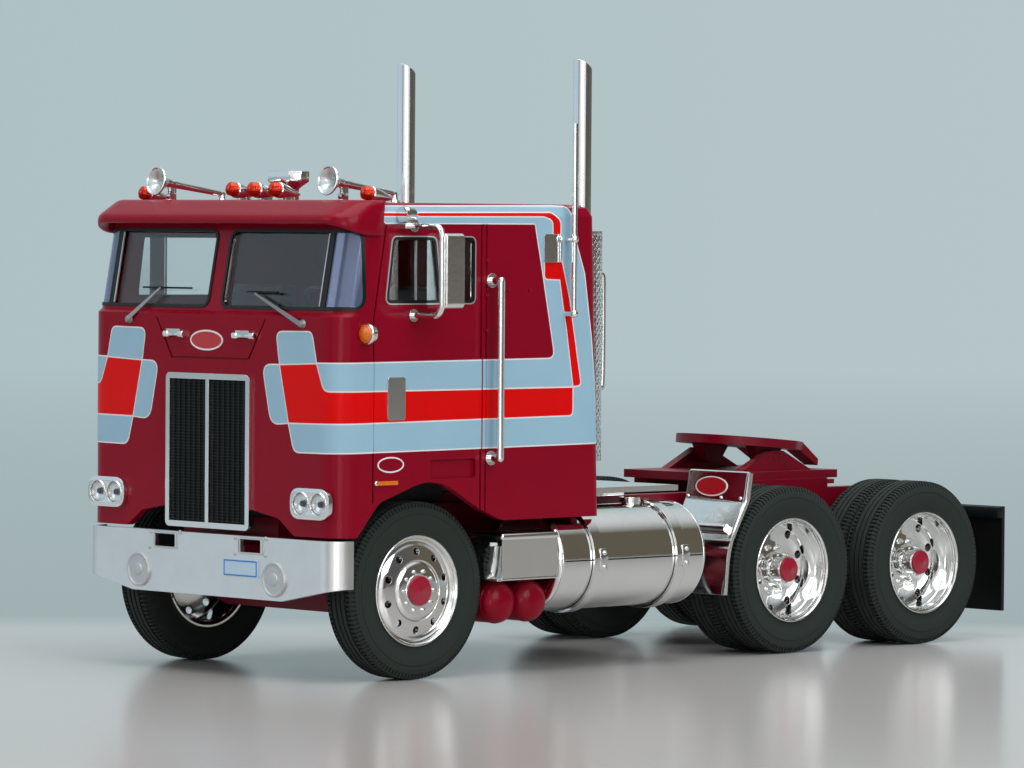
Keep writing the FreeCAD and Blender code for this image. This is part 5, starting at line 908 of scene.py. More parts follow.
@dataclass
class CabStripes:
    """Printed bands round the cab: blue and red areas on white, so that a white line runs round each."""

    line: float = 0.1
    white_lift: float = 0.026
    lift_step: float = 0.004
    colour_lift: float = 0.062

    def areas(self) -> dict[str, tuple[Finish, Corners]]:
        """The printed areas of one side, as outlines of (way round, height, radius)."""
        return {
            "tab_high": (STRIPE_BLUE, [[13.75, 47.3, 1.1], [21.05, 47.4, 1.1], [22.05, 43.15], [14.5, 42.85]]),
            "tab_side": (STRIPE_BLUE, [[10.95, 42.8, 2.2], [14.5, 42.85], [16.4, 34.98], [12.8, 34.72, 1.9]]),
            "band_high": (STRIPE_BLUE, [
                [22.05, 43.2], [64.95, 43.52, 1.1], [63.845, 48.9], [62.715, 54.27], [62.165, 56.83], [61.3, 60.7],
                [61.03, 62.1, 0.3], [33.2, 62.0], [32.2, 62.88], [62.6, 63.08, 1.0], [64.35, 62.6, 1.0],
                [64.43, 60.6], [64.5, 56.9], [62.795, 56.9], [62.8, 54.45, 0.7], [65.745, 54.33],
                [66.575, 50.04], [67.055, 47.86], [68.465, 39.55], [23.55, 39.42, 1.3]]),
            "band_red": (STRIPE_RED, [
                [14.5, 42.85], [22.05, 43.15], [23.55, 39.42, 1.3], [68.5, 39.5], [68.5, 35.5, 0.8],
                [16.4, 34.98]]),
            "strip_red": (STRIPE_RED, [
                [62.795, 56.9], [66.23, 56.9], [67.735, 51.7], [70.1, 39.62, 0.8], [68.465, 39.55],
                [67.055, 47.86], [66.575, 50.04], [65.745, 54.33], [62.8, 54.45, 0.7]]),
            "roof_red": (STRIPE_RED, [
                [31.825, 63.43], [64.2, 63.7, 1.3], [65.92, 62.6, 1.2], [65.925, 60.6], [64.43, 60.6],
                [64.35, 62.6, 1.0], [62.6, 63.08, 1.0], [32.2, 62.88]]),
            "band_low": (STRIPE_BLUE, [
                [16.4, 34.98], [68.5, 35.5, 0.8], [68.5, 39.55], [70.1, 39.62, 0.8], [67.735, 51.7],
                [66.23, 56.9], [65.925, 60.6], [65.92, 62.6, 1.2], [64.2, 63.7, 1.3], [31.825, 63.43],
                [30.645, 64.26], [64.925, 64.56], [67.5, 64.5, 0.8], [68.335, 62.99], [69.085, 59.15],
                [70.565, 55.29], [71.995, 46.27], [73.75, 31.6, 0.9], [17.55, 31.1, 1.4]]),
        }

    def build(self) -> None:
        """Prints every area of both sides."""
        prints: dict[Finish, list[Bench]] = {STRIPE_WHITE: [], STRIPE_BLUE: [], STRIPE_RED: []}
        for order, (name, (finish, corners)) in enumerate(self.areas().items()):
            outline = rounded(corners)
            ground = self.white_lift + order * self.lift_step
            for ink, width, lift in ((STRIPE_WHITE, self.line, ground), (finish, -self.line, self.colour_lift)):
                piece = Bench(f"{ink.name}_{name}").flat(grown(outline, width))
                SKIN.score(piece)
                prints[ink].append(piece.wrap(lambda way, height: SKIN.wall(way, height, lift)))
        for ink, (first, *others) in prints.items():
            first.absorb(*others)
            first.name = f"{ink.name}s"
            first.both().finish(ink, angle=60.0)


@dataclass
class Badges:
    """Plain ovals where the truck carries its badges: a white ring round a bare field."""

    depth: float = 0.1
    ring_lift: float = 0.1
    field_lift: float = 0.05
    front_oval: tuple[Flat, Flat] = ((-0.7, 45.85), (3.44, 1.42))
    front_ring: float = 0.24
    side_oval: tuple[Flat, Flat] = ((34.355, 29.5), (2.4, 1.08))
    side_ring: float = 0.2

    def pair(self, place: str, outside: tuple[Flat, Flat], width: float,
             surface: Callable[[float, float, float], Point]) -> tuple[Bench, Bench]:
        """Makes a badge's ring and its field.

        Args:
            place: A word for where it sits.
            outside: The middle and the half sizes of its oval.
            width: How wide the ring is.
            surface: What it lies on, as a way from (x, y, lift) to a place.

        Returns:
            The ring and the field.
        """
        middle, half = outside
        inner = oval(middle, (half[0] - width, half[1] - width))
        ring = Bench(f"badge_ring_{place}").flat(oval(middle, half), inner)
        field = Bench(f"badge_field_{place}").flat(inner)
        for piece, lift in ((ring, self.ring_lift), (field, self.field_lift)):
            piece.wrap(lambda x, y: surface(x, y, lift)).thicken(self.depth)
        return ring, field

    def build(self) -> None:
        """Builds the badge on the front and those on the doors."""
        ring, field = self.pair("front", self.front_oval, self.front_ring,
                                lambda x, z, lift: (x, CAB_FRONT - lift, z))
        side_ring, side_field = self.pair("side", self.side_oval, self.side_ring, SKIN.wall)
        ring.absorb(side_ring.both()).finish(STRIPE_WHITE)
        field.finish(BADGE_RED)
        side_field.both().finish(CRIMSON)


# Wheels


@dataclass
class Tyres:
    """Tyres with ribs, grooves and pressed shoulder slots, one mesh for a wheel or a pair of twins."""

    steps: int = 240
    tread_half: float = 2.25
    radius: float = 12.14
    bead: Flat = (2.35, 7.1)
    groove: float = 0.55
    groove_half: float = 0.16
    groove_slope: float = 0.05
    groove_places: tuple[float, ...] = (-1.35, -0.45, 0.45, 1.35)
    wall: tuple[Flat, ...] = (
        (2.5, 7.35), (2.52, 7.7), (2.42, 7.82), (2.45, 8.1), (2.68, 8.9), (2.79, 9.8), (2.795, 10.25), (2.72, 10.32),
        (2.72, 10.44), (2.78, 10.52), (2.76, 11.0), (2.66, 11.35), (2.56, 11.55), (2.37, 11.92))
    shoulder_band: Flat = (11.38, 12.12)
    shoulder_side: float = 2.2
    shoulder_depth: float = 0.16
    rib_radius: float = 12.1
    rib_side: float = 1.5
    rib_depth: float = 0.3

    def profile(self) -> list[Flat]:
        """The section, from one bead over the tread to the other."""
        side = [self.bead, *self.wall, (self.tread_half, self.radius - 0.06)]
        tread = []
        for place in self.groove_places:
            low, high = place - self.groove_half, place + self.groove_half
            foot = self.radius - self.groove
            tread += [(low, self.radius), (low + self.groove_slope, foot), (high - self.groove_slope, foot),
                      (high, self.radius)]
        return [(-x, r) for x, r in side] + tread + side[::-1] + [(-self.bead[0], self.bead[1])]

    def build(self) -> None:
        """Makes one tyre and copies it to every wheel."""
        tyre = Bench("tyre_pattern").turned(self.profile(), "X", self.steps)
        self.press(tyre)
        for axle, side in WHEELS:
            planes = [WHEEL_PLANE] if axle == "front" else [WHEEL_PLANE, TWIN_PLANE]
            name = f"{axle}_{side.name.lower()}"
            piece = tyre.twin(f"{name}_rubber")
            piece.repeat([shift(side.value * plane, AXLES[axle], HUB_HEIGHT) for plane in planes])
            piece.finish(TYRE, f"{name}_wheel_set", 30.0)
            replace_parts(piece.obj, f"{name}_tyre" if axle == "front" else f"{name}_tyres")
        tyre.scrap()

    def press(self, tyre: Bench) -> None:
        """Presses the shoulder slots and the thin slots of the ribs into the tread."""
        def slot(at: Vector) -> bool:
            """Says whether a face lies in every second step round the tyre."""
            return math.floor(math.atan2(at.y, at.z) / math.tau * self.steps) % 2 == 0

        def shoulder(at: Vector, way: Vector) -> bool:
            """Picks the slots of the two shoulders, between the side wall and the tread."""
            low, high = self.shoulder_band
            return low < math.hypot(at.y, at.z) < high and abs(at.x) > self.shoulder_side and slot(at)

        def rib(at: Vector, way: Vector) -> bool:
            """Picks the outer ribs' slots."""
            outside = math.hypot(at.y, at.z) > self.rib_radius
            return outside and self.rib_side < abs(at.x) < self.tread_half and slot(at)

        for test, depth in ((shoulder, self.shoulder_depth), (rib, self.rib_depth)):
            tyre.pick(Element.FACE, test)
            bpy.ops.mesh.extrude_region_shrink_fatten(
                TRANSFORM_OT_shrink_fatten={"value": -depth, "use_even_offset": False})
        tyre.hold()


@dataclass(frozen=True)
class WheelKind:
    """The measures of a kind of wheel; places count outwards from the outer wheel's middle plane."""

    name: str
    section: tuple[Flat, ...]
    hole_ring: float
    hole: float
    drill: Flat
    nut_face: float
    nut_ring: float
    nut: float
    nut_height: float
    extra: tuple[Flat, ...]
    cap: tuple[float, float, float]


@dataclass
class Wheels:
    """Plated wheels with hand holes, nuts and enamelled hub caps."""

    BORE: ClassVar[float] = 1.06
    LIP: ClassVar[tuple[Flat, ...]] = (
        (2.6, 7.28), (2.7, 7.36), (2.72, 7.48), (2.66, 7.58), (2.56, 7.6), (2.46, 7.5), (2.38, 7.1))
    FRONT: ClassVar[WheelKind] = WheelKind(
        "front",
        ((2.9, BORE), (2.9, 3.3), (2.82, 3.6), (2.62, 3.85), (2.55, 3.95), (2.55, 4.12), (2.62, 4.2), (2.6, 4.4),
         (2.5, 4.8), (2.4, 5.4), (2.26, 5.9), (2.05, 6.3), (1.88, 6.55), (1.86, 6.75), (2.0, 6.95), (2.35, 7.08),
         (2.5, 7.14), *LIP, (-2.38, 7.1), (-2.5, 7.5), (-2.66, 7.5), (-2.66, 7.2), (-2.3, 6.75), (1.2, 6.4),
         (1.7, 5.9), (1.95, 4.6), (1.9, 3.0), (-1.9, 2.6), (-2.35, 2.4), (-2.35, BORE), (2.9, BORE)),
        hole_ring=5.35, hole=0.52, drill=(1.0, 3.5), nut_face=2.9, nut_ring=2.75, nut=0.24, nut_height=1.5,
        extra=((2.85, 2.02), (2.85, 2.36), (2.95, 2.36), (3.02, 2.28), (3.02, 2.02), (2.85, 2.02)),
        cap=(2.6, 3.42, 2.06))
    REAR: ClassVar[WheelKind] = WheelKind(
        "rear",
        ((1.75, BORE), (1.75, 1.9), (1.6, 1.98), (1.45, 1.9), (1.4, 1.72), (-0.3, 1.78), (-0.42, 2.28),
         (-0.62, 2.36), (-1.35, 2.4), (-1.45, 2.6), (-1.45, 3.9), (-1.55, 4.2), (-1.75, 5.2), (-1.8, 6.3),
         (-1.68, 6.62), (-1.4, 6.72), (0.6, 6.82), (0.75, 6.95), (1.9, 7.0), (2.0, 7.12), (2.5, 7.2), *LIP,
         (-2.38, 7.1), (-3.42, 7.1), (-8.25, 7.1), (-8.38, 7.5), (-8.5, 7.5), (-8.5, 7.2), (-8.1, 6.8),
         (-4.6, 6.5), (-4.2, 6.1), (-3.9, 4.6), (-3.9, 2.6), (-8.0, 2.2), (-8.1, 1.9), (-8.1, BORE), (1.75, BORE)),
        hole_ring=5.95, hole=0.62, drill=(-4.5, -1.0), nut_face=-1.45, nut_ring=3.25, nut=0.36, nut_height=2.2,
        extra=((-0.42, 0.16), (-0.25, 0.16), (-0.18, 0.1), (-0.16, 0.0)), cap=(1.3, 2.12, 1.8))
    count: int = 10
    steps: int = 80
    stud_ring: float = 2.03

    def build(self) -> None:
        """Builds every wheel with its nuts and cap."""
        for kind in (self.FRONT, self.REAR):
            wheel = Bench(f"{kind.name}_wheel").turned(kind.section, "X", self.steps)
            (near, far), size = kind.drill, kind.hole
            drill = Bench("drill").turned([(near, 0.0), (near, size), (far, size), (far, 0.0)], "X", 20)
            wheel.carve(drill.repeat(ring_of(self.count, kind.hole_ring)))
            patterns = (wheel, self.nuts(kind), self.cap(kind))
            for axle, side in WHEELS:
                if axle.startswith(kind.name):
                    self.fit(axle, side, *patterns)
            for pattern in patterns:
                pattern.scrap()

    def nuts(self, kind: WheelKind) -> Bench:
        """Makes the ring of domed nuts, with the cap's washer in front and the hub's studs behind."""
        face, size, tall = kind.nut_face, kind.nut, kind.nut * kind.nut_height
        nut = Bench(f"{kind.name}_nuts").turned([
            (face - 0.05, size * 1.25), (face + 0.06, size * 1.25), (face + 0.1, size), (face + size, size),
            (face + size * 1.25, size * 0.82), (face + tall * 0.85, size * 0.55), (face + tall, 0.0)], "X", 12)
        nut.repeat(ring_of(self.count, kind.nut_ring, 0.5))
        if kind is self.FRONT:
            return nut.absorb(Bench("cap_washer").turned(kind.extra, "X", 48))
        studs = Bench("hub_studs").turned(kind.extra, "X", 10)
        return nut.absorb(studs.repeat(ring_of(self.count, self.stud_ring)))

    @staticmethod
    def cap(kind: WheelKind) -> Bench:
        """Makes the enamelled cap with its raised middle."""
        foot, face, radius = kind.cap
        return Bench(f"{kind.name}_cap").turned([
            (foot, 0.0), (foot, radius), (face - 0.22, radius), (face - 0.06, radius - 0.1), (face, radius - 0.26),
            (face - 0.03, radius * 0.72), (face + 0.04, radius * 0.62), (face + 0.05, radius * 0.3),
            (face + 0.14, radius * 0.22), (face + 0.17, 0.0)], "X", 48)

    @staticmethod
    def fit(axle: str, side: Side, wheel: Bench, nuts: Bench, cap: Bench) -> None:
        """Copies the patterns to one wheel, with their outside outwards."""
        name = f"{axle}_{side.name.lower()}"
        turn = Matrix.Rotation(0.0 if side is Side.LEFT else math.pi, 4, "Z")
        place = shift(side.value * WHEEL_PLANE, AXLES[axle], HUB_HEIGHT) @ turn
        for pattern, ending, finish, node in ((wheel, "plated_wheel", CHROME, f"{name}_wheel"),
                                              (nuts, "nuts", CHROME, None),
                                              (cap, "enamel_cap", CRIMSON_CAP, f"{name}_hub_cap")):
            piece = pattern.twin(f"{name}_{ending}").repeat([place])
            made = piece.finish(finish, f"{name}_wheel_set", 32.0)
            if node:
                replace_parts(made, node)


# Windows


@dataclass
class WindowRubbers:
    """Black gaskets round the screens and door windows, thin bright lines and the corner dividers."""

    screen: Corners = ((1.33, 50.4, 1.5), (28.75, 50.4, 1.7), (26.67, 61.0, 1.5), (1.33, 61.0, 1.5))
    screen_rubber: Flat = (0.12, 0.3)
    divider: tuple[Flat, Flat] = ((21.75, 50.6), (22.75, 60.8))
    bright: tuple[Flat, Flat] = ((21.55, 50.8), (21.72, 60.6))
    corner_pane: Corners = ((22.8, 50.75, 0.1), (28.35, 50.75, 1.2), (26.4, 60.65, 1.2), (22.8, 60.65, 0.1))
    door_pane: Corners = ((-59.575, 51.3, 0.8), (-43.375, 51.3, 0.8), (-43.375, 60.1, 0.8), (-58.375, 60.1, 0.8))
    door_rubber: Flat = (0.1, -0.35)
    door_bright: Flat = (0.24, 0.08)
    vent: tuple[Point, Point] = ((26.0, -54.1, 51.5), (26.42, -53.85, 59.95))

    def build(self) -> None:
        """Builds the rubbers, bright lines, dividers and corner panes, whose blue is a painted reflection."""
        screen = rounded(self.screen, 8)
        outer, inner = self.screen_rubber
        rubber = self.sheet("screen_rubber", [grown(screen, outer), grown(screen, -inner)], 0.16, 0.28)
        divider = self.sheet("screen_divider", [oblong(*self.divider, 0.1, 2)], 0.12, 0.25)
        (left, low), (right, high) = self.bright
        bright = self.sheet("divider_bright", [[(left, low), (right, low), (right, high), (left, high)]], 0.16, 0.2)
        door = self.door_ring("door_rubber", self.door_rubber, 0.1, 0.3)
        edge = self.door_ring("door_bright", self.door_bright, 0.14, 0.14)
        # the corner panes' blue colour is a painted reflection of a pale blue window
        corner = self.sheet("corner_panes", [rounded(self.corner_pane)], -0.02, 0.08)
        corner.both().finish(CORNER_GLASS_PAINTED_REFLECTION, angle=60.0)
        vent = Bench("vent_bright").block(*self.vent, 0.04)
        rubber.absorb(divider, door).both().finish(BLACK)
        bright.absorb(edge, vent).both().finish(SILVER)

    def door_ring(self, name: str, edges: Flat, lift: float, depth: float) -> Bench:
        """A ring on the door between two distances from the window's outline."""
        pane = rounded(self.door_pane)
        ring = Bench(name).flat(*(grown(pane, edge) for edge in edges))
        return ring.wrap(lambda y, height: (CAB_HALF + lift, y, height)).thicken(depth)

    @staticmethod
    def sheet(name: str, outlines: Sequence[Sequence[Flat]], lift: float, depth: float) -> Bench:
        """Wraps a flat shape on the raked front and gives it a thickness inwards."""
        piece = Bench(name).flat(*outlines)
        SKIN.score_corner(piece)
        return piece.wrap(lambda way, height: SKIN.screen(way, height, lift)).thicken(depth)


# Grille and lamps


@dataclass
class GrilleWires:
    """Fine level wires in front of the grille's fins."""

    pitch: float = 0.42
    low: float = 21.0
    high: float = 40.4
    inner: float = 0.4
    outer: float = 7.95
    face: float = -68.25
    thick: float = 0.12

    def build(self) -> None:
        """Builds the wires of both panels."""
        count = int((self.high - self.low) / self.pitch)
        wire = Bench("grille_wires").block((self.inner, self.face, -self.thick / 2),
                                           (self.outer, self.face + self.thick, self.thick / 2), 0.03, 1)
        lifts = [shift(0.0, 0.0, self.low + self.pitch * (i + 0.5)) for i in range(count)]
        wire.repeat(lifts + [MIRROR @ lift for lift in lifts]).finish(MESH_BLACK)


@dataclass
class Headlamps:
    """Plated pods with pairs of lamps: a ring, a reflector bowl, a bulb and a domed lens each, and the fog lamps."""

    height: float = 24.3
    places: tuple[float, ...] = (19.7, 23.3)
    face: float = -68.7
    seat: float = -68.555
    pod: tuple[Flat, Flat] = ((17.55, 22.2), (25.4, 26.4))
    pod_radius: float = 1.9
    pod_depth: float = 0.75
    hole: float = 1.46
    fog: Flat = (14.3, 13.8)
    lens: tuple[Flat, ...] = (
        (0.1, 1.42), (0.02, 1.42), (-0.1, 1.2), (-0.17, 0.8), (-0.2, 0.4), (-0.21, 0.0), (-0.12, 0.0), (-0.11, 0.4),
        (-0.08, 0.8), (-0.01, 1.2), (0.1, 1.36), (0.1, 1.42))
    bowl: tuple[Flat, ...] = (
        (0.0, 1.42), (-0.06, 1.36), (0.0, 1.28), (0.16, 1.2), (0.3, 0.95), (0.4, 0.6), (0.44, 0.3), (0.44, 0.0))
    bulb: tuple[Flat, ...] = ((0.42, 0.42), (0.2, 0.42), (0.1, 0.34), (0.06, 0.2), (0.05, 0.0))
    rim: tuple[Flat, ...] = (
        (0.1, 1.44), (-0.1, 1.46), (-0.16, 1.54), (-0.1, 1.66), (0.1, 1.68), (0.1, 1.44))
    fog_section: tuple[Flat, ...] = (
        (0.4, 2.4), (0.12, 2.4), (0.02, 2.3), (0.0, 2.14), (0.06, 2.0), (0.16, 1.92), (0.2, 1.2), (0.16, 0.86),
        (0.06, 0.8), (0.02, 0.62), (0.02, 0.3), (0.0, 0.0))

    def build(self) -> None:
        """Builds the two pods, their four lamps and the two fog lamps."""
        moves = [shift(side.value * x, self.seat, self.height) for x in self.places for side in Side]
        lens = Bench("headlamp_glass").turned(self.lens, "Y", 40).repeat(moves).finish(LENS)
        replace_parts(lens, "headlamp_lenses")
        Bench("headlamp_bowls").turned(self.bowl, "Y", 40).repeat(moves).finish(REFLECTOR)
        Bench("headlamp_bulbs").turned(self.bulb, "Y", 24).repeat(moves).finish(DARK)
        fog = Bench("fog_lamp_faces").turned(self.fog_section, "Y", 56)
        fog.repeat([shift(side.value * self.fog[0], FOG_FACE, self.fog[1]) for side in Side])
        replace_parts(fog.finish(SILVER), "fog_lamps")
        holes = [oval((x, self.height), (self.hole, self.hole)) for x in self.places]
        pod = Bench("lamp_pods").flat(oblong(*self.pod, self.pod_radius, 10), *holes)
        pod.wrap(lambda x, z: (x, self.face, z)).thicken(self.pod_depth).soften(0.16, 3)
        pod.absorb(*(Bench("lamp_ring").turned(self.rim, "Y", 40, (x, self.face, self.height))
                     for x in self.places))
        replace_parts(pod.both().finish(CHROME, angle=40.0), "headlamp_pods")


@dataclass
class FrontHardware:
    """Small things on the bumper, doors and front: hook frames, bolts, hinges, marker bars and plate edge."""

    hooks: tuple[Flat, ...] = ((-10.83, -6.31), (7.24, 11.73))
    hook_rise: Flat = (16.9, 19.3)
    hook_margin: float = 0.3
    hook_radius: float = 0.4
    hook_rim: float = 0.32
    hook_lift: float = 0.12
    bolt: tuple[Flat, ...] = ((0.0, 0.3), (-0.1, 0.3), (-0.18, 0.2), (-0.2, 0.0))
    bolts: tuple[Flat, ...] = (
        (-11.75, 19.15), (-5.5, 19.3), (-12.06, 16.98), (6.2, 19.1), (12.5, 19.24), (6.06, 16.93), (12.4, 16.95))
    hinge: tuple[Flat, ...] = ((0.0, 0.26), (0.12, 0.24), (0.18, 0.12), (0.2, 0.0))
    hinges: tuple[Flat, ...] = (
        (-40.975, 57.06), (-40.975, 52.26), (-40.975, 47.45), (-36.895, 53.0), (-32.845, 53.0))
    bar: tuple[Point, Point] = ((CAB_HALF, -61.4, 26.75), (CAB_HALF + 0.35, -57.4, 27.35))
    bar_end: Point = (CAB_HALF, -61.3, 27.05)
    bar_section: tuple[Flat, ...] = ((0.0, 0.34), (0.3, 0.34), (0.42, 0.22), (0.45, 0.0))
    plate_radius: float = 0.3
    plate_line: Flat = (-0.12, -0.3)
    plate_lift: float = 0.03
    handles: tuple[Flat, ...] = ((-9.3, -5.2), (5.23, 9.7))
    handle_axis: Point = (0.0, -68.3, 46.6)
    handle_end: tuple[Flat, ...] = ((0.0, 0.0), (0.0, 0.42), (0.1, 0.5), (0.9, 0.5), (1.0, 0.34))
    handle_waist: float = 0.26

    def build(self) -> None:
        """Builds the hardware."""
        frames = [self.hook_frame(*ends) for ends in self.hooks]
        frames[0].absorb(frames[1]).finish(SILVER)
        bolt = Bench("bumper_bolts").turned(self.bolt, "Y", 16)
        bolt.repeat([shift(x, BUMPER_FACE, z) for x, z in self.bolts]).finish(SILVER)
        hinge = Bench("door_hinges").turned(self.hinge, "X", 16)
        hinge.repeat([shift(CAB_HALF, y, z) for y, z in self.hinges]).both().finish(CRIMSON)
        Bench("marker_bars").block(*self.bar, 0.12).both().finish(AMBER)
        Bench("marker_bar_ends").turned(self.bar_section, "X", 20, self.bar_end).both().finish(CHROME)
        self.plate_edge()
        self.front_handles()

    def hook_frame(self, low: float, high: float) -> Bench:
        """Makes the frame round one tow hook's opening."""
        (foot, top), margin = self.hook_rise, self.hook_margin
        outer = oblong((low - margin, foot), (high + margin, top), self.hook_radius)
        rim = Bench(f"hook_frame_{low:.0f}").flat(outer, grown(outer, -self.hook_rim))
        return rim.wrap(lambda x, z: (x, BUMPER_FACE - self.hook_lift, z)).thicken(self.hook_lift)

    def plate_edge(self) -> None:
        """Draws the blue line inside the bare plate's edge."""
        low, high = (Vector(corner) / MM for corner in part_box("licence_plate"))
        plate = oblong((low.x, low.z), (high.x, high.z), self.plate_radius)
        edge = Bench("plate_edge").flat(*(grown(plate, width) for width in self.plate_line))
        edge.wrap(lambda x, z: (x, low.y - self.plate_lift, z)).thicken(0.05).finish(PLATE_EDGE)

    def front_handles(self) -> None:
        """Builds the two waisted handles."""
        pieces = []
        for low, high in self.handles:
            near = [(low + along, radius) for along, radius in self.handle_end]
            far = [(high - along, radius) for along, radius in self.handle_end[::-1]]
            section = [*near, ((low + high) / 2, self.handle_waist), *far]
            pieces.append(Bench("front_handles").turned(section, "X", 20, self.handle_axis))
        pieces[0].absorb(pieces[1]).finish(CHROME)


# Sides and roof


@dataclass
class ExhaustGuards:
    """Perforated guards round the stacks, with their end rings and handle bars."""

    spread: float = 18.4
    depth: float = -15.075
    radius: float = 2.9
    low: float = 29.0
    high: float = 60.9
    columns: int = 22
    rows: int = 30
    strand: float = 0.13
    wall: float = 0.12
    ring: tuple[Flat, ...] = ((-0.25, 2.82), (0.25, 2.82), (0.25, 3.0), (-0.25, 3.0), (-0.25, 2.82))
    cap: tuple[Flat, ...] = ((-0.1, 1.4), (-0.1, 2.9), (0.1, 2.9), (0.1, 1.4), (-0.1, 1.4))
    bar: tuple[Flat, ...] = ((2.8, 38.9), (4.0, 38.9), (4.4, 39.4), (4.4, 54.6), (4.0, 55.1), (2.8, 55.1))
    bar_radius: float = 0.45

    def build(self) -> None:
        """Builds both guards."""
        centre = (self.spread, self.depth, 0.0)
        guard = self.sleeve(centre)
        for place in (self.low, self.high):
            for name, section in (("guard_ring", self.ring), ("guard_cap", self.cap)):
                profile = [(place + rise, radius) for rise, radius in section]
                guard.absorb(Bench(name).turned(profile, "Z", 48, centre))
        line = [(self.spread, self.depth + out, height) for out, height in self.bar]
        guard.absorb(Bench("guard_bar").tube(line, self.bar_radius, 4, True))
        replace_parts(guard.both().finish(CHROME, angle=40.0), "muffler_guards")

    def sleeve(self, centre: Point) -> Bench:
        """Makes the sleeve: each face is cut corner to corner, and diamonds are left between the cuts."""
        row = (self.high - self.low) / self.rows
        sleeve = Bench("guard_mesh").turned([(self.low + row * i, self.radius) for i in range(self.rows + 1)],
                                            "Z", self.columns, centre)
        sleeve.pick(Element.FACE)
        bpy.ops.mesh.poke()
        sleeve.pick(Element.EDGE, lambda at, way: abs(way.z) > row * 0.9 or abs(way.z) < 0.01)
        bpy.ops.mesh.dissolve_edges(use_verts=False)
        bpy.ops.mesh.select_mode(type="FACE")
        bpy.ops.mesh.select_all(action="SELECT")
        bpy.ops.mesh.inset(thickness=self.strand, use_individual=True)
        bpy.ops.mesh.delete(type="FACE")
        return sleeve.thicken(self.wall, 1.0)


@dataclass
class TankTrim:
    """Side seams, strap buckles and end rims of the fuel tanks."""

    spread: float = 19.8
    height: float = 15.3
    radius: float = 7.3
    ends: Flat = (-27.175, 2.025)
    rim_inset: float = 0.7
    rim: tuple[Flat, ...] = ((-0.2, -0.05), (-0.1, 0.06), (0.1, 0.06), (0.2, -0.05), (-0.2, -0.05))
    straps: tuple[float, ...] = (-19.075, -2.775)
    buckle_half: Flat = (0.75, 1.6)
    bolt: tuple[Flat, ...] = ((0.5, 0.3), (0.75, 0.3), (0.82, 0.2), (0.82, 0.0))

    def build(self) -> None:
        """Builds the seam lines, the end rims and the buckles."""
        outside = self.spread + self.radius
        front, rear = self.ends
        seam = Bench("tank_seams").block((outside - 0.03, front + 1.0, self.height - 0.09),
                                         (outside + 0.02, rear - 1.0, self.height + 0.09), 0.02, 1)
        seam.both().finish(BLACK)
        rims = []
        for place in (front + self.rim_inset, rear - self.rim_inset):
            section = [(place + along, self.radius + out) for along, out in self.rim]
            rims.append(Bench("tank_rims").turned(section, "Y", 72, (self.spread, 0.0, self.height)))
        rims[0].absorb(rims[1]).both().finish(CHROME)
        buckles = []
        half_long, half_high = self.buckle_half
        for place in self.straps:
            buckles.append(Bench("strap_buckles").block(
                (outside + 0.3, place - half_long, self.height - half_high),
                (outside + 0.55, place + half_long, self.height + half_high), 0.12))
            for lift in (-1.0, 1.0):
                bolt = Bench("strap_bolts").turned(self.bolt, "X", 12, (outside, place, self.height + lift))
                buckles.append(bolt)
        buckles[0].absorb(*buckles[1:]).both().finish(CHROME)


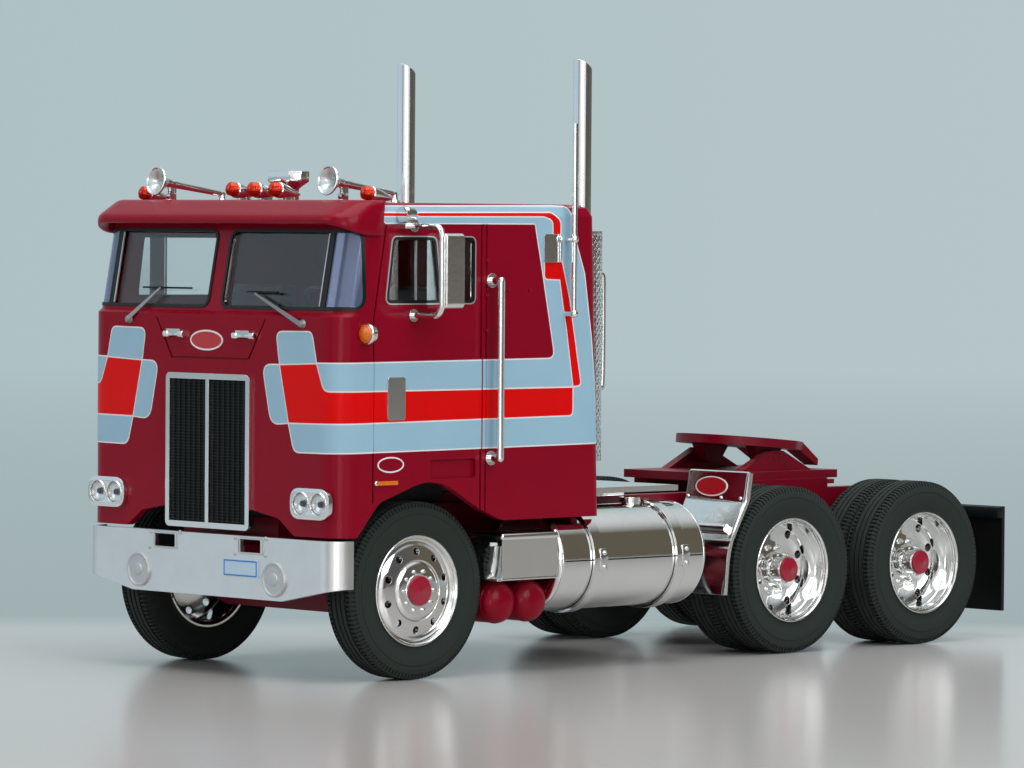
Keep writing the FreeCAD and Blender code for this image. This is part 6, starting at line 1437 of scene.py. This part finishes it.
@dataclass
class StepBoxes:
    """Lids and wings of the step boxes, domed air tanks under them, and the dark flap hangers."""

    inner: float = 16.5
    front: float = -38.175
    rear: float = -27.575
    reach: float = 27.0
    high: float = 19.5
    low: float = 13.1
    wing: tuple[Flat, ...] = ((21.4, 13.3), (27.0, 13.3), (27.0, 17.9), (21.4, 17.5))
    wing_face: float = -38.1
    wing_bend: float = 24.6
    wing_lean: Flat = (0.44, 0.08)
    ridge: tuple[Flat, Flat] = ((21.4, 17.5), (26.6, 13.3))
    ridge_width: float = 1.2
    ridge_height: float = 0.12
    tray: tuple[Point, Point] = ((21.4, -39.1, 13.0), (27.0, -38.0, 13.3))
    tank_radius: float = 2.9
    tank_height: float = 9.9
    tank_places: Flat = (-36.2, -30.3)
    tank_start: tuple[Flat, ...] = ((13.8, 0.0), (14.1, 1.9), (14.8, 2.6), (15.6, 2.9), (23.3, 2.9), (23.35, 2.97),
                                    (23.65, 2.97), (23.7, 2.9))
    tank_dome: Flat = (23.8, 2.0)
    saddle: Flat = (16.0, 18.4)
    hanger: tuple[Point, Point] = ((12.9, 67.15, 18.25), (24.72, 68.4, 19.95))

    def build(self) -> None:
        """Builds the trim, the air tanks and the hangers."""
        lid = Bench("step_trim").block((self.inner, self.front - 0.12, self.high - 0.95),
                                       (self.reach + 0.12, self.rear + 0.12, self.high + 0.06), 0.4, 3)
        sill = Bench("step_sills").block((self.inner, self.front - 0.05, self.low - 0.05),
                                         (self.reach + 0.06, self.rear + 0.05, self.low + 0.35), 0.12)
        tray = Bench("step_tray").block(*self.tray, 0.1)
        lid.absorb(sill, self.wings(), tray).both().finish(CHROME)
        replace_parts(self.air_tanks().finish(CRIMSON, angle=40.0), "air_tanks")
        Bench("flap_hangers").block(*self.hanger, 0.2).both().finish(BLACK)

    def wings(self) -> Bench:
        """Makes the plate ahead of the box, with a soft ridge from corner to corner."""
        wing = Bench("step_wings").flat(self.wing)
        start, end = (Vector(place) for place in self.ridge)
        along = (end - start).normalized()
        across = Vector((-along.y, along.x))
        wing.slice((self.wing_bend, 0.0))
        for width in (-self.ridge_width, 0.0, self.ridge_width):
            wing.slice(tuple(start + across * width), tuple(across))
        steep, slight = self.wing_lean

        def fold(x: float, z: float) -> Point:
            """The wing's surface: it leans back from its outer edge, and less behind the bend."""
            off = abs((Vector((x, z)) - start).cross(along))
            bend = (self.reach - self.wing_bend) * steep
            lean = (self.reach - x) * steep if x > self.wing_bend else bend - (self.wing_bend - x) * slight
            rise = self.ridge_height * max(0.0, 1.0 - off / self.ridge_width)
            return x, self.wing_face - lean - rise, z

        return wing.wrap(fold).thicken(0.12)

    def air_tanks(self) -> Bench:
        """Makes the tanks of both sides, with domed ends, and their saddles."""
        foot, dome = self.tank_dome
        profile = list(self.tank_start)
        for step in range(10):
            turn = math.radians(step * 10)
            profile.append((foot + dome * math.sin(turn), self.tank_radius * math.cos(turn)))
        tanks = [Bench("air_tank_shells").turned(profile, "X", 48, (0.0, place, self.tank_height))
                 for place in self.tank_places]
        inner, outer = self.saddle
        saddles = [Bench("air_tank_saddle").block((inner, place - 0.6, self.tank_height + 2.5),
                                                  (outer, place + 0.6, self.low + 0.2), 0.1)
                   for place in self.tank_places]
        return tanks[0].absorb(tanks[1], *saddles).both()


@dataclass
class FenderTrim:
    """The quarter fenders' plain oval in a white ring, bolts, rolled outer edge and top edge."""

    foot: Flat = (12.58, 22.46)
    top: Flat = (13.26, 26.4)
    oval_middle: Flat = (17.2, 24.33)
    oval_half: Flat = (3.2, 1.45)
    ring: float = 0.18
    bolt: tuple[Flat, ...] = ((0.02, 0.26), (-0.12, 0.26), (-0.22, 0.16), (-0.24, 0.0))
    bolts: tuple[float, ...] = (12.7, 19.4, 23.3)
    bolt_height: float = 22.75
    edge_reach: float = 24.2
    edge: tuple[Flat, ...] = (
        (8.435, 9.04), (8.725, 12.2), (9.275, 15.5), (10.275, 18.2), (11.775, 20.9), (12.775, 22.3), (12.975, 23.2),
        (13.45, 25.8), (13.55, 26.3))
    top_edge: tuple[Point, Point] = ((12.5, 13.5, 26.35), (24.2, 13.5, 26.35))

    def depth(self, height: float) -> float:
        """The plate's front at a height."""
        share = (height - self.foot[1]) / (self.top[1] - self.foot[1])
        return self.foot[0] + (self.top[0] - self.foot[0]) * share

    def build(self) -> None:
        """Builds the trim of both fenders."""
        inner = oval(self.oval_middle, (self.oval_half[0] - self.ring, self.oval_half[1] - self.ring))
        ring = Bench("fender_oval_ring").flat(oval(self.oval_middle, self.oval_half), inner)
        field = Bench("fender_oval").flat(inner)
        for piece, lift, finish in ((ring, 0.1, STRIPE_WHITE), (field, 0.06, BADGE_RED)):
            piece.wrap(lambda x, z: (x, self.depth(z) - lift, z)).thicken(0.12).both().finish(finish)
        trim = Bench("fender_trim").turned(self.bolt, "Y", 14)
        trim.repeat([shift(x, self.depth(self.bolt_height), self.bolt_height) for x in self.bolts])
        edge = Bench("fender_edge").tube([(self.edge_reach, y, z) for y, z in self.edge], 0.4, 4, True)
        top = Bench("fender_top_edge").tube(self.top_edge, 0.3)
        trim.absorb(edge, top).both().finish(CHROME, angle=50.0)


@dataclass
class Horns:
    """Two air horns whose tubes slope down to the rear, on a post and a rear foot."""

    spread: float = 18.1
    mouth: Flat = (-62.7, 67.75)
    slope: float = 8.1
    horn: tuple[Flat, ...] = (
        (0.0, 1.72), (-0.14, 1.86), (-0.12, 2.0), (0.04, 2.06), (0.2, 2.0), (0.45, 1.66), (0.8, 1.28), (1.3, 0.94),
        (2.0, 0.7), (3.0, 0.58), (4.4, 0.5), (12.4, 0.38), (12.7, 0.3), (12.75, 0.0))
    bell: tuple[Flat, ...] = (
        (0.0, 1.74), (0.12, 1.56), (0.4, 1.2), (0.8, 0.84), (1.3, 0.5), (1.6, 0.3), (1.2, 0.22), (0.3, 0.08),
        (0.2, 0.0))
    post: tuple[Flat, Flat] = ((-60.6, 64.7), (-59.2, 67.5))
    post_half: float = 0.42
    base: tuple[Flat, Flat] = ((-60.9, 64.7), (-58.8, 65.15))
    base_half: float = 0.8
    foot: tuple[Flat, ...] = (
        (64.7, 0.95), (64.95, 0.92), (65.25, 0.6), (65.8, 0.46), (66.3, 0.4), (66.45, 0.0))
    foot_place: float = -50.6
    clamp: tuple[Flat, ...] = (
        (-0.35, 0.66), (0.35, 0.66), (0.42, 0.5), (0.42, 0.3), (-0.42, 0.3), (-0.42, 0.5), (-0.35, 0.66))
    clamp_place: Flat = (-59.9, 67.34)

    def build(self) -> None:
        """Builds both horns."""
        lean = shift(self.spread, *self.mouth) @ Matrix.Rotation(math.radians(-self.slope), 4, "X")
        horn = Bench("air_horns").turned(self.horn, "Y", 40).repeat([lean])
        bell = Bench("air_horn_bells").turned(self.bell, "Y", 40).repeat([lean])
        for name, ends, half, radius in (("horn_post", self.post, self.post_half, 0.2),
                                         ("horn_base", self.base, self.base_half, 0.18)):
            low, high = ends
            horn.absorb(Bench(name).block((self.spread - half, *low), (self.spread + half, *high), radius))
        horn.absorb(Bench("horn_foot").turned(self.foot, "Z", 24, (self.spread, self.foot_place, 0.0)),
                    Bench("horn_clamp").turned(self.clamp, "Y", 24, (self.spread, *self.clamp_place)))
        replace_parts(horn.both().finish(CHROME, angle=40.0), "horns")
        bell.both().finish(HORN_INSIDE, angle=50.0)


@dataclass
class MarkerLamps:
    """Bullet lamps on the roof, and the round lamps on the cab's sides."""

    places: tuple[Flat, ...] = ((-4.5, 66.75), (0.0, 66.75), (4.5, 66.75), (23.4, 66.2), (-23.4, 66.2))
    face: float = -61.3
    tilt: float = -9.0
    body: tuple[Flat, ...] = (
        (1.5, 0.0), (1.5, 1.0), (1.62, 1.12), (1.95, 1.1), (2.6, 0.98), (3.6, 0.76), (4.6, 0.5), (5.5, 0.22),
        (5.75, 0.0))
    rib: tuple[tuple[float, float, float], ...] = ((0.0, 0.84, 0.03), (0.1, 0.94, 0.02), (0.2, 0.86, 0.03))
    rib_pitch: float = 0.28
    roof: float = 64.2
    side_lamp: Point = (27.35, -63.95, 47.2)
    bezel: tuple[Flat, ...] = (
        (0.1, 1.16), (-0.02, 1.22), (-0.02, 1.36), (0.12, 1.46), (0.5, 1.46), (0.62, 1.36), (0.66, 1.18), (1.2, 1.12),
        (1.45, 0.8), (1.5, 0.0))
    side_lens: tuple[Flat, ...] = (
        (0.15, 0.0), (0.15, 1.2), (-0.15, 1.2), (-0.28, 1.1), (-0.3, 0.95), (-0.42, 0.9), (-0.55, 0.55), (-0.6, 0.2),
        (-0.6, 0.0))

    def lens_section(self) -> list[Flat]:
        """The roof lenses' section, with four ribs that widen to the rear."""
        ribs = [(0.45 + ring * self.rib_pitch + along, radius + growth * ring)
                for ring in range(4) for along, radius, growth in self.rib]
        return [(0.0, 0.0), (0.08, 0.34), (0.28, 0.64), *ribs, (1.55, 1.0), (1.55, 0.0)]

    def build(self) -> None:
        """Builds the bodies and lenses."""
        tilt = Matrix.Rotation(math.radians(self.tilt), 4, "X")
        moves = [shift(x, self.face, z) @ tilt for x, z in self.places]
        body = Bench("marker_bodies").turned(self.body, "Y", 24).repeat(moves)
        lens = Bench("marker_lenses").turned(self.lens_section(), "Y", 18).repeat(moves)
        feet = [Bench("marker_foot").block((x - 0.4, self.face + 2.0, self.roof), (x + 0.4, self.face + 4.2, z - 0.5),
                                           0.12) for x, z in self.places]
        x, y, z = self.side_lamp
        stay = Bench("side_stay").block((CAB_HALF - 0.2, y + 0.3, z - 0.6), (x, y + 1.3, z + 0.6), 0.15)
        bezel = Bench("side_bezel").turned(self.bezel, "Y", 40, self.side_lamp).absorb(stay).both()
        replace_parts(body.absorb(*feet, bezel).finish(CHROME, angle=40.0), "lamp_bezels")
        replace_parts(lens.finish(SIGNAL, angle=50.0), "amber_lenses")
        Bench("side_lenses").turned(self.side_lens, "Y", 32, self.side_lamp).both().finish(AMBER, angle=40.0)


@dataclass
class RoofVent:
    """The bright eight-sided ventilator on its narrow foot."""

    half: float = 3.45
    front: float = -55.75
    rear: float = -52.0
    low: float = 67.75
    high: float = 69.15
    corner: float = 1.15
    steps: tuple[Flat, ...] = ((0.75, 0.62), (0.35, 0.8), (2.0, 1.0))

    def build(self) -> None:
        """Builds the box, then draws its underside down in steps of (drop, taper)."""
        h, c = self.half, self.corner
        outline = [(-h, self.front + c), (-h + c, self.front), (h - c, self.front), (h, self.front + c),
                   (h, self.rear - c), (h - c, self.rear), (-h + c, self.rear), (-h, self.rear - c)]
        box = Bench("vent_box").flat(outline).repeat([shift(0.0, 0.0, self.low)])
        box.thicken(self.high - self.low, 1.0)
        middle = (0.0, (self.front + self.rear) / 2, 0.0)
        box.pick(Element.FACE, lambda at, way: way.z < -0.9)
        for drop, share in self.steps:
            bpy.ops.mesh.extrude_region_move(TRANSFORM_OT_translate={"value": (0.0, 0.0, -drop)})
            bpy.ops.transform.resize(value=(share, share, 1.0), center_override=middle)
        box.pick(Element.FACE, lambda at, way: way.z > 0.9)
        bpy.ops.mesh.inset(thickness=0.35)
        bpy.ops.transform.translate(value=(0.0, 0.0, 0.06))
        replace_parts(box.soften(0.12, 2).finish(CHROME, angle=30.0), "roof_vent")


@dataclass
class Wipers:
    """Flat tapered wiper arms on round spindles, with thin dark blades."""

    arms: tuple[tuple[Flat, Flat], ...] = (((19.16, 48.4), (8.42, 52.4)), ((-17.3, 48.46), (-11.47, 52.9)))
    blades: tuple[tuple[float, float, float], ...] = ((6.5, 13.0, 52.6), (-15.6, -5.2, 52.95))
    half_widths: Flat = (0.34, 0.13)
    thick: float = 0.16
    foot: float = -68.4
    climb: float = 1.2
    spindle: tuple[Flat, ...] = (
        (-68.62, 0.0), (-68.6, 0.3), (-68.5, 0.42), (-68.25, 0.46), (-67.95, 0.62))
    stand_off: float = 0.36

    def build(self) -> None:
        """Builds both arms, spindles and blades."""
        arms, blades = [], []
        for (hub, tip), (low, high, height) in zip(self.arms, self.blades):
            arms += [self.arm(Vector(hub), Vector(tip)),
                     Bench("wiper_hub").turned(self.spindle, "Y", 24, (hub[0], 0.0, hub[1]))]
            place = SKIN.front(height) - self.stand_off
            blades += [Bench("wiper_blade").block((low, place, height - 0.16), (high, place + 0.3, height + 0.1), 0.05),
                       Bench("wiper_blade_bridge").block((tip[0] - 1.3, place - 0.16, height - 0.06),
                                                         (tip[0] + 1.3, place + 0.02, height + 0.12), 0.04)]
        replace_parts(arms[0].absorb(*arms[1:]).finish(WIPER_GREY), "wipers")
        blades[0].absorb(*blades[1:]).finish(BLACK)

    def arm(self, hub: Vector, tip: Vector) -> Bench:
        """Makes a tapered arm that leans with the screen from its hub to its tip."""
        along = (tip - hub).normalized()
        wide, narrow = (Vector((-along.y, along.x)) * half for half in self.half_widths)
        shape = [(*point, 0.1) for point in (hub + wide, hub - wide, tip - narrow, tip + narrow)]
        arm = Bench("wiper_arm").flat(rounded(shape, 2))
        rise = self.climb / (tip - hub).length
        arm.wrap(lambda x, z: (x, self.foot + rise * (Vector((x, z)) - hub).dot(along), z))
        return arm.thicken(self.thick, 1.0)


@dataclass
class Visor:
    """The sun visor: a peak that slopes from the roof to a rolled lip and turns down round the corners."""

    front: float = -64.75
    rear: float = -59.6
    straight_steps: int = 12
    arc_steps: int = 14
    side_steps: int = 6
    ear_drop: float = 1.5
    levels: tuple[tuple[float, float, float, float], ...] = (
        (-0.9, -0.8, 65.1, 0.0), (-0.3, -0.3, 65.0, 0.0), (0.2, 0.1, 64.72, 0.0), (1.2, 0.25, 64.1, 0.0),
        (2.3, 0.38, 63.45, 0.1), (2.85, 0.45, 63.12, 0.2), (3.15, 0.49, 62.85, 0.35), (3.28, 0.5, 62.5, 0.5),
        (3.3, 0.5, 62.2, 0.8), (3.22, 0.48, 61.98, 1.0), (3.0, 0.4, 61.84, 1.0), (2.7, 0.2, 61.82, 1.0),
        (2.3, -0.2, 61.95, 1.0), (1.2, -0.45, 62.25, 0.6), (0.1, -0.5, 62.6, 0.2), (-0.5, -0.7, 64.2, 0.0),
        (-0.9, -0.8, 65.1, 0.0))

    def plan(self, step: int, reach: float, side: float) -> Flat:
        """The plan's place at a step along it.

        Args:
            step: Steps from the middle of the front.
            reach: How far ahead of the roof the place is.
            side: How far out from the cab's side it is.

        Returns:
            The place as (X, Y).
        """
        half = CAB_HALF + side
        corner = SKIN.corner + side
        start = self.front - reach
        if step <= self.straight_steps:
            return (half - corner) * step / self.straight_steps, start
        turn = (step - self.straight_steps) / self.arc_steps
        if turn <= 1.0:
            turn *= math.pi / 2
            return half - corner + corner * math.sin(turn), start + corner * (1.0 - math.cos(turn))
        share = (step - self.straight_steps - self.arc_steps) / self.side_steps
        return half - (side + 0.3) * share ** 6, start + corner + (self.rear - start - corner) * share

    def build(self) -> None:
        """Wraps a grid round the section, given as (reach, side, height, share of the drop), and the plan."""
        along = self.straight_steps + self.arc_steps + self.side_steps
        count = len(self.levels) - 1
        Bench.clear()
        bpy.ops.mesh.primitive_grid_add(x_subdivisions=along, y_subdivisions=count, size=2.0)

        def surface(x: float, y: float) -> Point:
            """The visor's surface at a place on the grid."""
            step = round((x + 1.0) / 2 * along)
            reach, side, height, share = self.levels[round((y + 1.0) / 2 * count)]
            drop = min(1.0, max(0.0, (step - self.straight_steps) / (self.arc_steps + 2)))
            across, depth = self.plan(step, reach, side)
            return across, depth, height - self.ear_drop * share * drop * drop * (3 - 2 * drop)

        visor = Bench("visor_shell").take().wrap(surface).both()
        visor.pick(Element.VERT)
        bpy.ops.mesh.remove_doubles(threshold=0.001)
        bpy.ops.mesh.normals_make_consistent(inside=False)
        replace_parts(visor.finish(CRIMSON, angle=60.0), "sun_visor")


# The studio


@dataclass
class Studio:
    """The camera, floor, backdrop and lamps; distances of the camera in millimetres."""

    azimuth: float = 46.42
    elevation: float = 1.63
    roll: float = 0.42
    focal: float = 187.4
    distance: float = 775.2
    target: Point = (-4.41, -6.685, 38.86)
    backdrop: ClassVar[tuple[Colour, Colour]] = (srgb(174, 193, 197), srgb(182, 197, 200))
    backdrop_foot: ClassVar[Colour] = srgb(160, 176, 179)
    floor_size: float = 30.0
    floor_drop: float = 0.00002
    floor_roughness: float = 0.2
    floor_tones: tuple[Colour, Colour] = ((0.5, 0.465, 0.44), (0.58, 0.58, 0.57))
    tones_depth: Flat = (-0.2, 0.03)
    edge_depth: Flat = (0.035, 0.062)
    foot_depth: Flat = (0.05, 1.6)
    light: Colour = (0.93, 0.97, 1.0)
    light_strength: float = 0.42
    ceiling: Colour = (0.82, 0.86, 0.88)
    lamps: tuple[tuple[str, Point, Point, float, float], ...] = (
        ("overhead", (0.15, -0.1, 0.75), (0.0, 0.0, 0.02), 0.7, 3.6),
        ("window", (0.75, -0.15, 0.42), (0.0, -0.01, 0.03), 0.45, 2.1),
        ("fill", (-0.3, -0.8, 0.4), (0.0, -0.02, 0.03), 0.5, 0.9))

    def build(self) -> None:
        """Builds the whole studio."""
        bpy.context.scene.view_settings.view_transform = "Standard"
        turn, lift = math.radians(self.azimuth), math.radians(self.elevation)
        self.back = Vector((math.sin(turn) * math.cos(lift), -math.cos(turn) * math.cos(lift), math.sin(lift)))
        self.right = Vector((math.cos(turn), math.sin(turn), 0.0))
        self.lens = (Vector(self.target) + self.back * self.distance) * MM
        self.camera()
        self.floor()
        self.world()
        for lamp in self.lamps:
            self.lamp(*lamp)

    def camera(self) -> None:
        """Places the camera at the photograph's place and angle."""
        data = bpy.data.cameras.new("camera")
        data.lens = self.focal
        data.sensor_width = 36.0
        data.clip_start = 0.01
        data.clip_end = 100.0
        camera = bpy.data.objects.new("camera", data)
        bpy.context.scene.collection.objects.link(camera)
        turn = Matrix((self.right, self.back.cross(self.right), self.back)).transposed()
        turn = turn @ Matrix.Rotation(math.radians(self.roll), 3, "Z")
        camera.matrix_world = Matrix.Translation(self.lens) @ turn.to_4x4()
        bpy.context.scene.camera = camera

    @staticmethod
    def background_rays(tree: Tree) -> bpy.types.NodeSocket:
        """One for rays that show the background: from the camera, a mirror or clear glass."""
        rays = tree.add("LightPath").outputs
        seen = tree.math("MAXIMUM", rays["Is Glossy Ray"], rays["Is Transmission Ray"])
        return tree.math("MAXIMUM", rays["Is Camera Ray"], seen)

    def tone(self, tree: Tree, way: bpy.types.NodeSocket) -> bpy.types.NodeSocket:
        """The backdrop's colour in a direction, cooler and darker to the left.

        Args:
            tree: The node tree to add to.
            way: The direction from the camera's place, as a unit vector.

        Returns:
            The colour.
        """
        left, right = self.backdrop
        side = tree.range(tree.vector("DOT_PRODUCT", way, self.right), -0.1, 0.1)
        return tree.mix(side, (*left, 1.0), (*right, 1.0))

    def floor(self) -> None:
        """Lays a pale glossy floor that runs into the backdrop's tone behind the truck."""
        Bench.clear()
        bpy.ops.mesh.primitive_grid_add(x_subdivisions=8, y_subdivisions=8, size=self.floor_size,
                                        location=(0.0, 0.0, -self.floor_drop))
        floor = bpy.context.object
        floor.name = "studio_floor"
        made = bpy.data.materials.new("pale_floor")
        made.use_nodes = True
        tree = Tree(made.node_tree)
        place = tree.add("TexCoord").outputs["Object"]
        depth = tree.vector("DOT_PRODUCT", place, (-self.back.x, -self.back.y, 0.0))
        near, far = ((*tone, 1.0) for tone in self.floor_tones)
        mottle = Effect.MOTTLE.place(tree, place, Colour=tree.mix(tree.range(depth, *self.tones_depth), near, far),
                                     Size=0.05, Amount=0.03)
        shader = tree.feed(made.node_tree.nodes["Principled BSDF"], {
            "Base Color": mottle["Colour"], "Roughness": self.floor_roughness, "Specular IOR Level": 0.5})
        way = tree.add("VectorMath", operation="NORMALIZE")
        tree.join(tree.vector("SUBTRACT", place, self.lens), way.inputs[0])
        tone = tree.mix(tree.range(depth, *self.foot_depth), (*self.backdrop_foot, 1.0),
                        self.tone(tree, way.outputs["Vector"]))
        paper = tree.feed(tree.add("Emission"), {"Color": tone})
        share = tree.math("MULTIPLY", tree.range(depth, *self.edge_depth), self.background_rays(tree))
        tree.join(tree.blend(share, shader, paper), made.node_tree.nodes["Material Output"].inputs["Surface"])
        floor.data.materials.append(made)

    def world(self) -> None:
        """Sets the backdrop's pale tone and a room's tones for what is seen, and an even light for what is lit."""
        room = (
            (self.right, 0.3, 0.7, (0.13, 0.115, 0.085)),
            (self.back, 0.0, 0.35, (0.1, 0.1, 0.1)),
            ((-0.72, -0.69, 0.0), 0.55, 0.85, (0.55, 0.67, 0.77)),
            (self.back, 0.74, 0.84, (1.0, 1.0, 1.0)),
            (self.back, 0.984, 0.988, (4.5, 4.5, 4.5)),
            ((0.0, 0.0, 1.0), 0.58, 0.76, self.ceiling),
        )
        world = bpy.data.worlds.new("studio_world")
        bpy.context.scene.world = world
        world.use_nodes = True
        tree = Tree(world.node_tree)
        lit = tree.feed(world.node_tree.nodes["Background"], {
            "Color": (*self.light, 1.0), "Strength": self.light_strength})
        way = tree.add("TexCoord").outputs["Generated"]
        shade = self.tone(tree, way)
        for line, low, high, colour in room:
            share = tree.range(tree.vector("DOT_PRODUCT", way, line), low, high)
            shade = tree.mix(share, shade, (*colour, 1.0))
        seen = tree.feed(tree.add("Background"), {"Color": shade})
        output = world.node_tree.nodes["World Output"]
        tree.join(tree.blend(self.background_rays(tree), lit, seen), output.inputs["Surface"])

    @staticmethod
    def lamp(name: str, place: Point, aim: Point, size: float, power: float) -> None:
        """Hangs one square soft lamp.

        Args:
            name: The lamp's name.
            place: Where it hangs, in metres.
            aim: The point it faces.
            size: Its side.
            power: Its power in watts.
        """
        data = bpy.data.lights.new(name, "AREA")
        data.shape = "SQUARE"
        data.size = size
        data.energy = power
        lamp = bpy.data.objects.new(name, data)
        bpy.context.scene.collection.objects.link(lamp)
        lamp.location = place
        lamp.rotation_euler = (Vector(place) - Vector(aim)).to_track_quat("Z", "Y").to_euler()


def main() -> None:
    """Dresses the frame, builds the studio and adds the pieces."""
    dress_frame()
    for part in (Studio(), CabStripes(), Badges(), Tyres(), Wheels(), WindowRubbers(), GrilleWires(), Headlamps(),
                 FrontHardware(), ExhaustGuards(), TankTrim(), StepBoxes(), FenderTrim(), Horns(), MarkerLamps(),
                 RoofVent(), Wipers(), Visor()):
        LOG.info("Building %s", type(part).__name__)
        part.build()


if __name__ == "__main__":
    main()
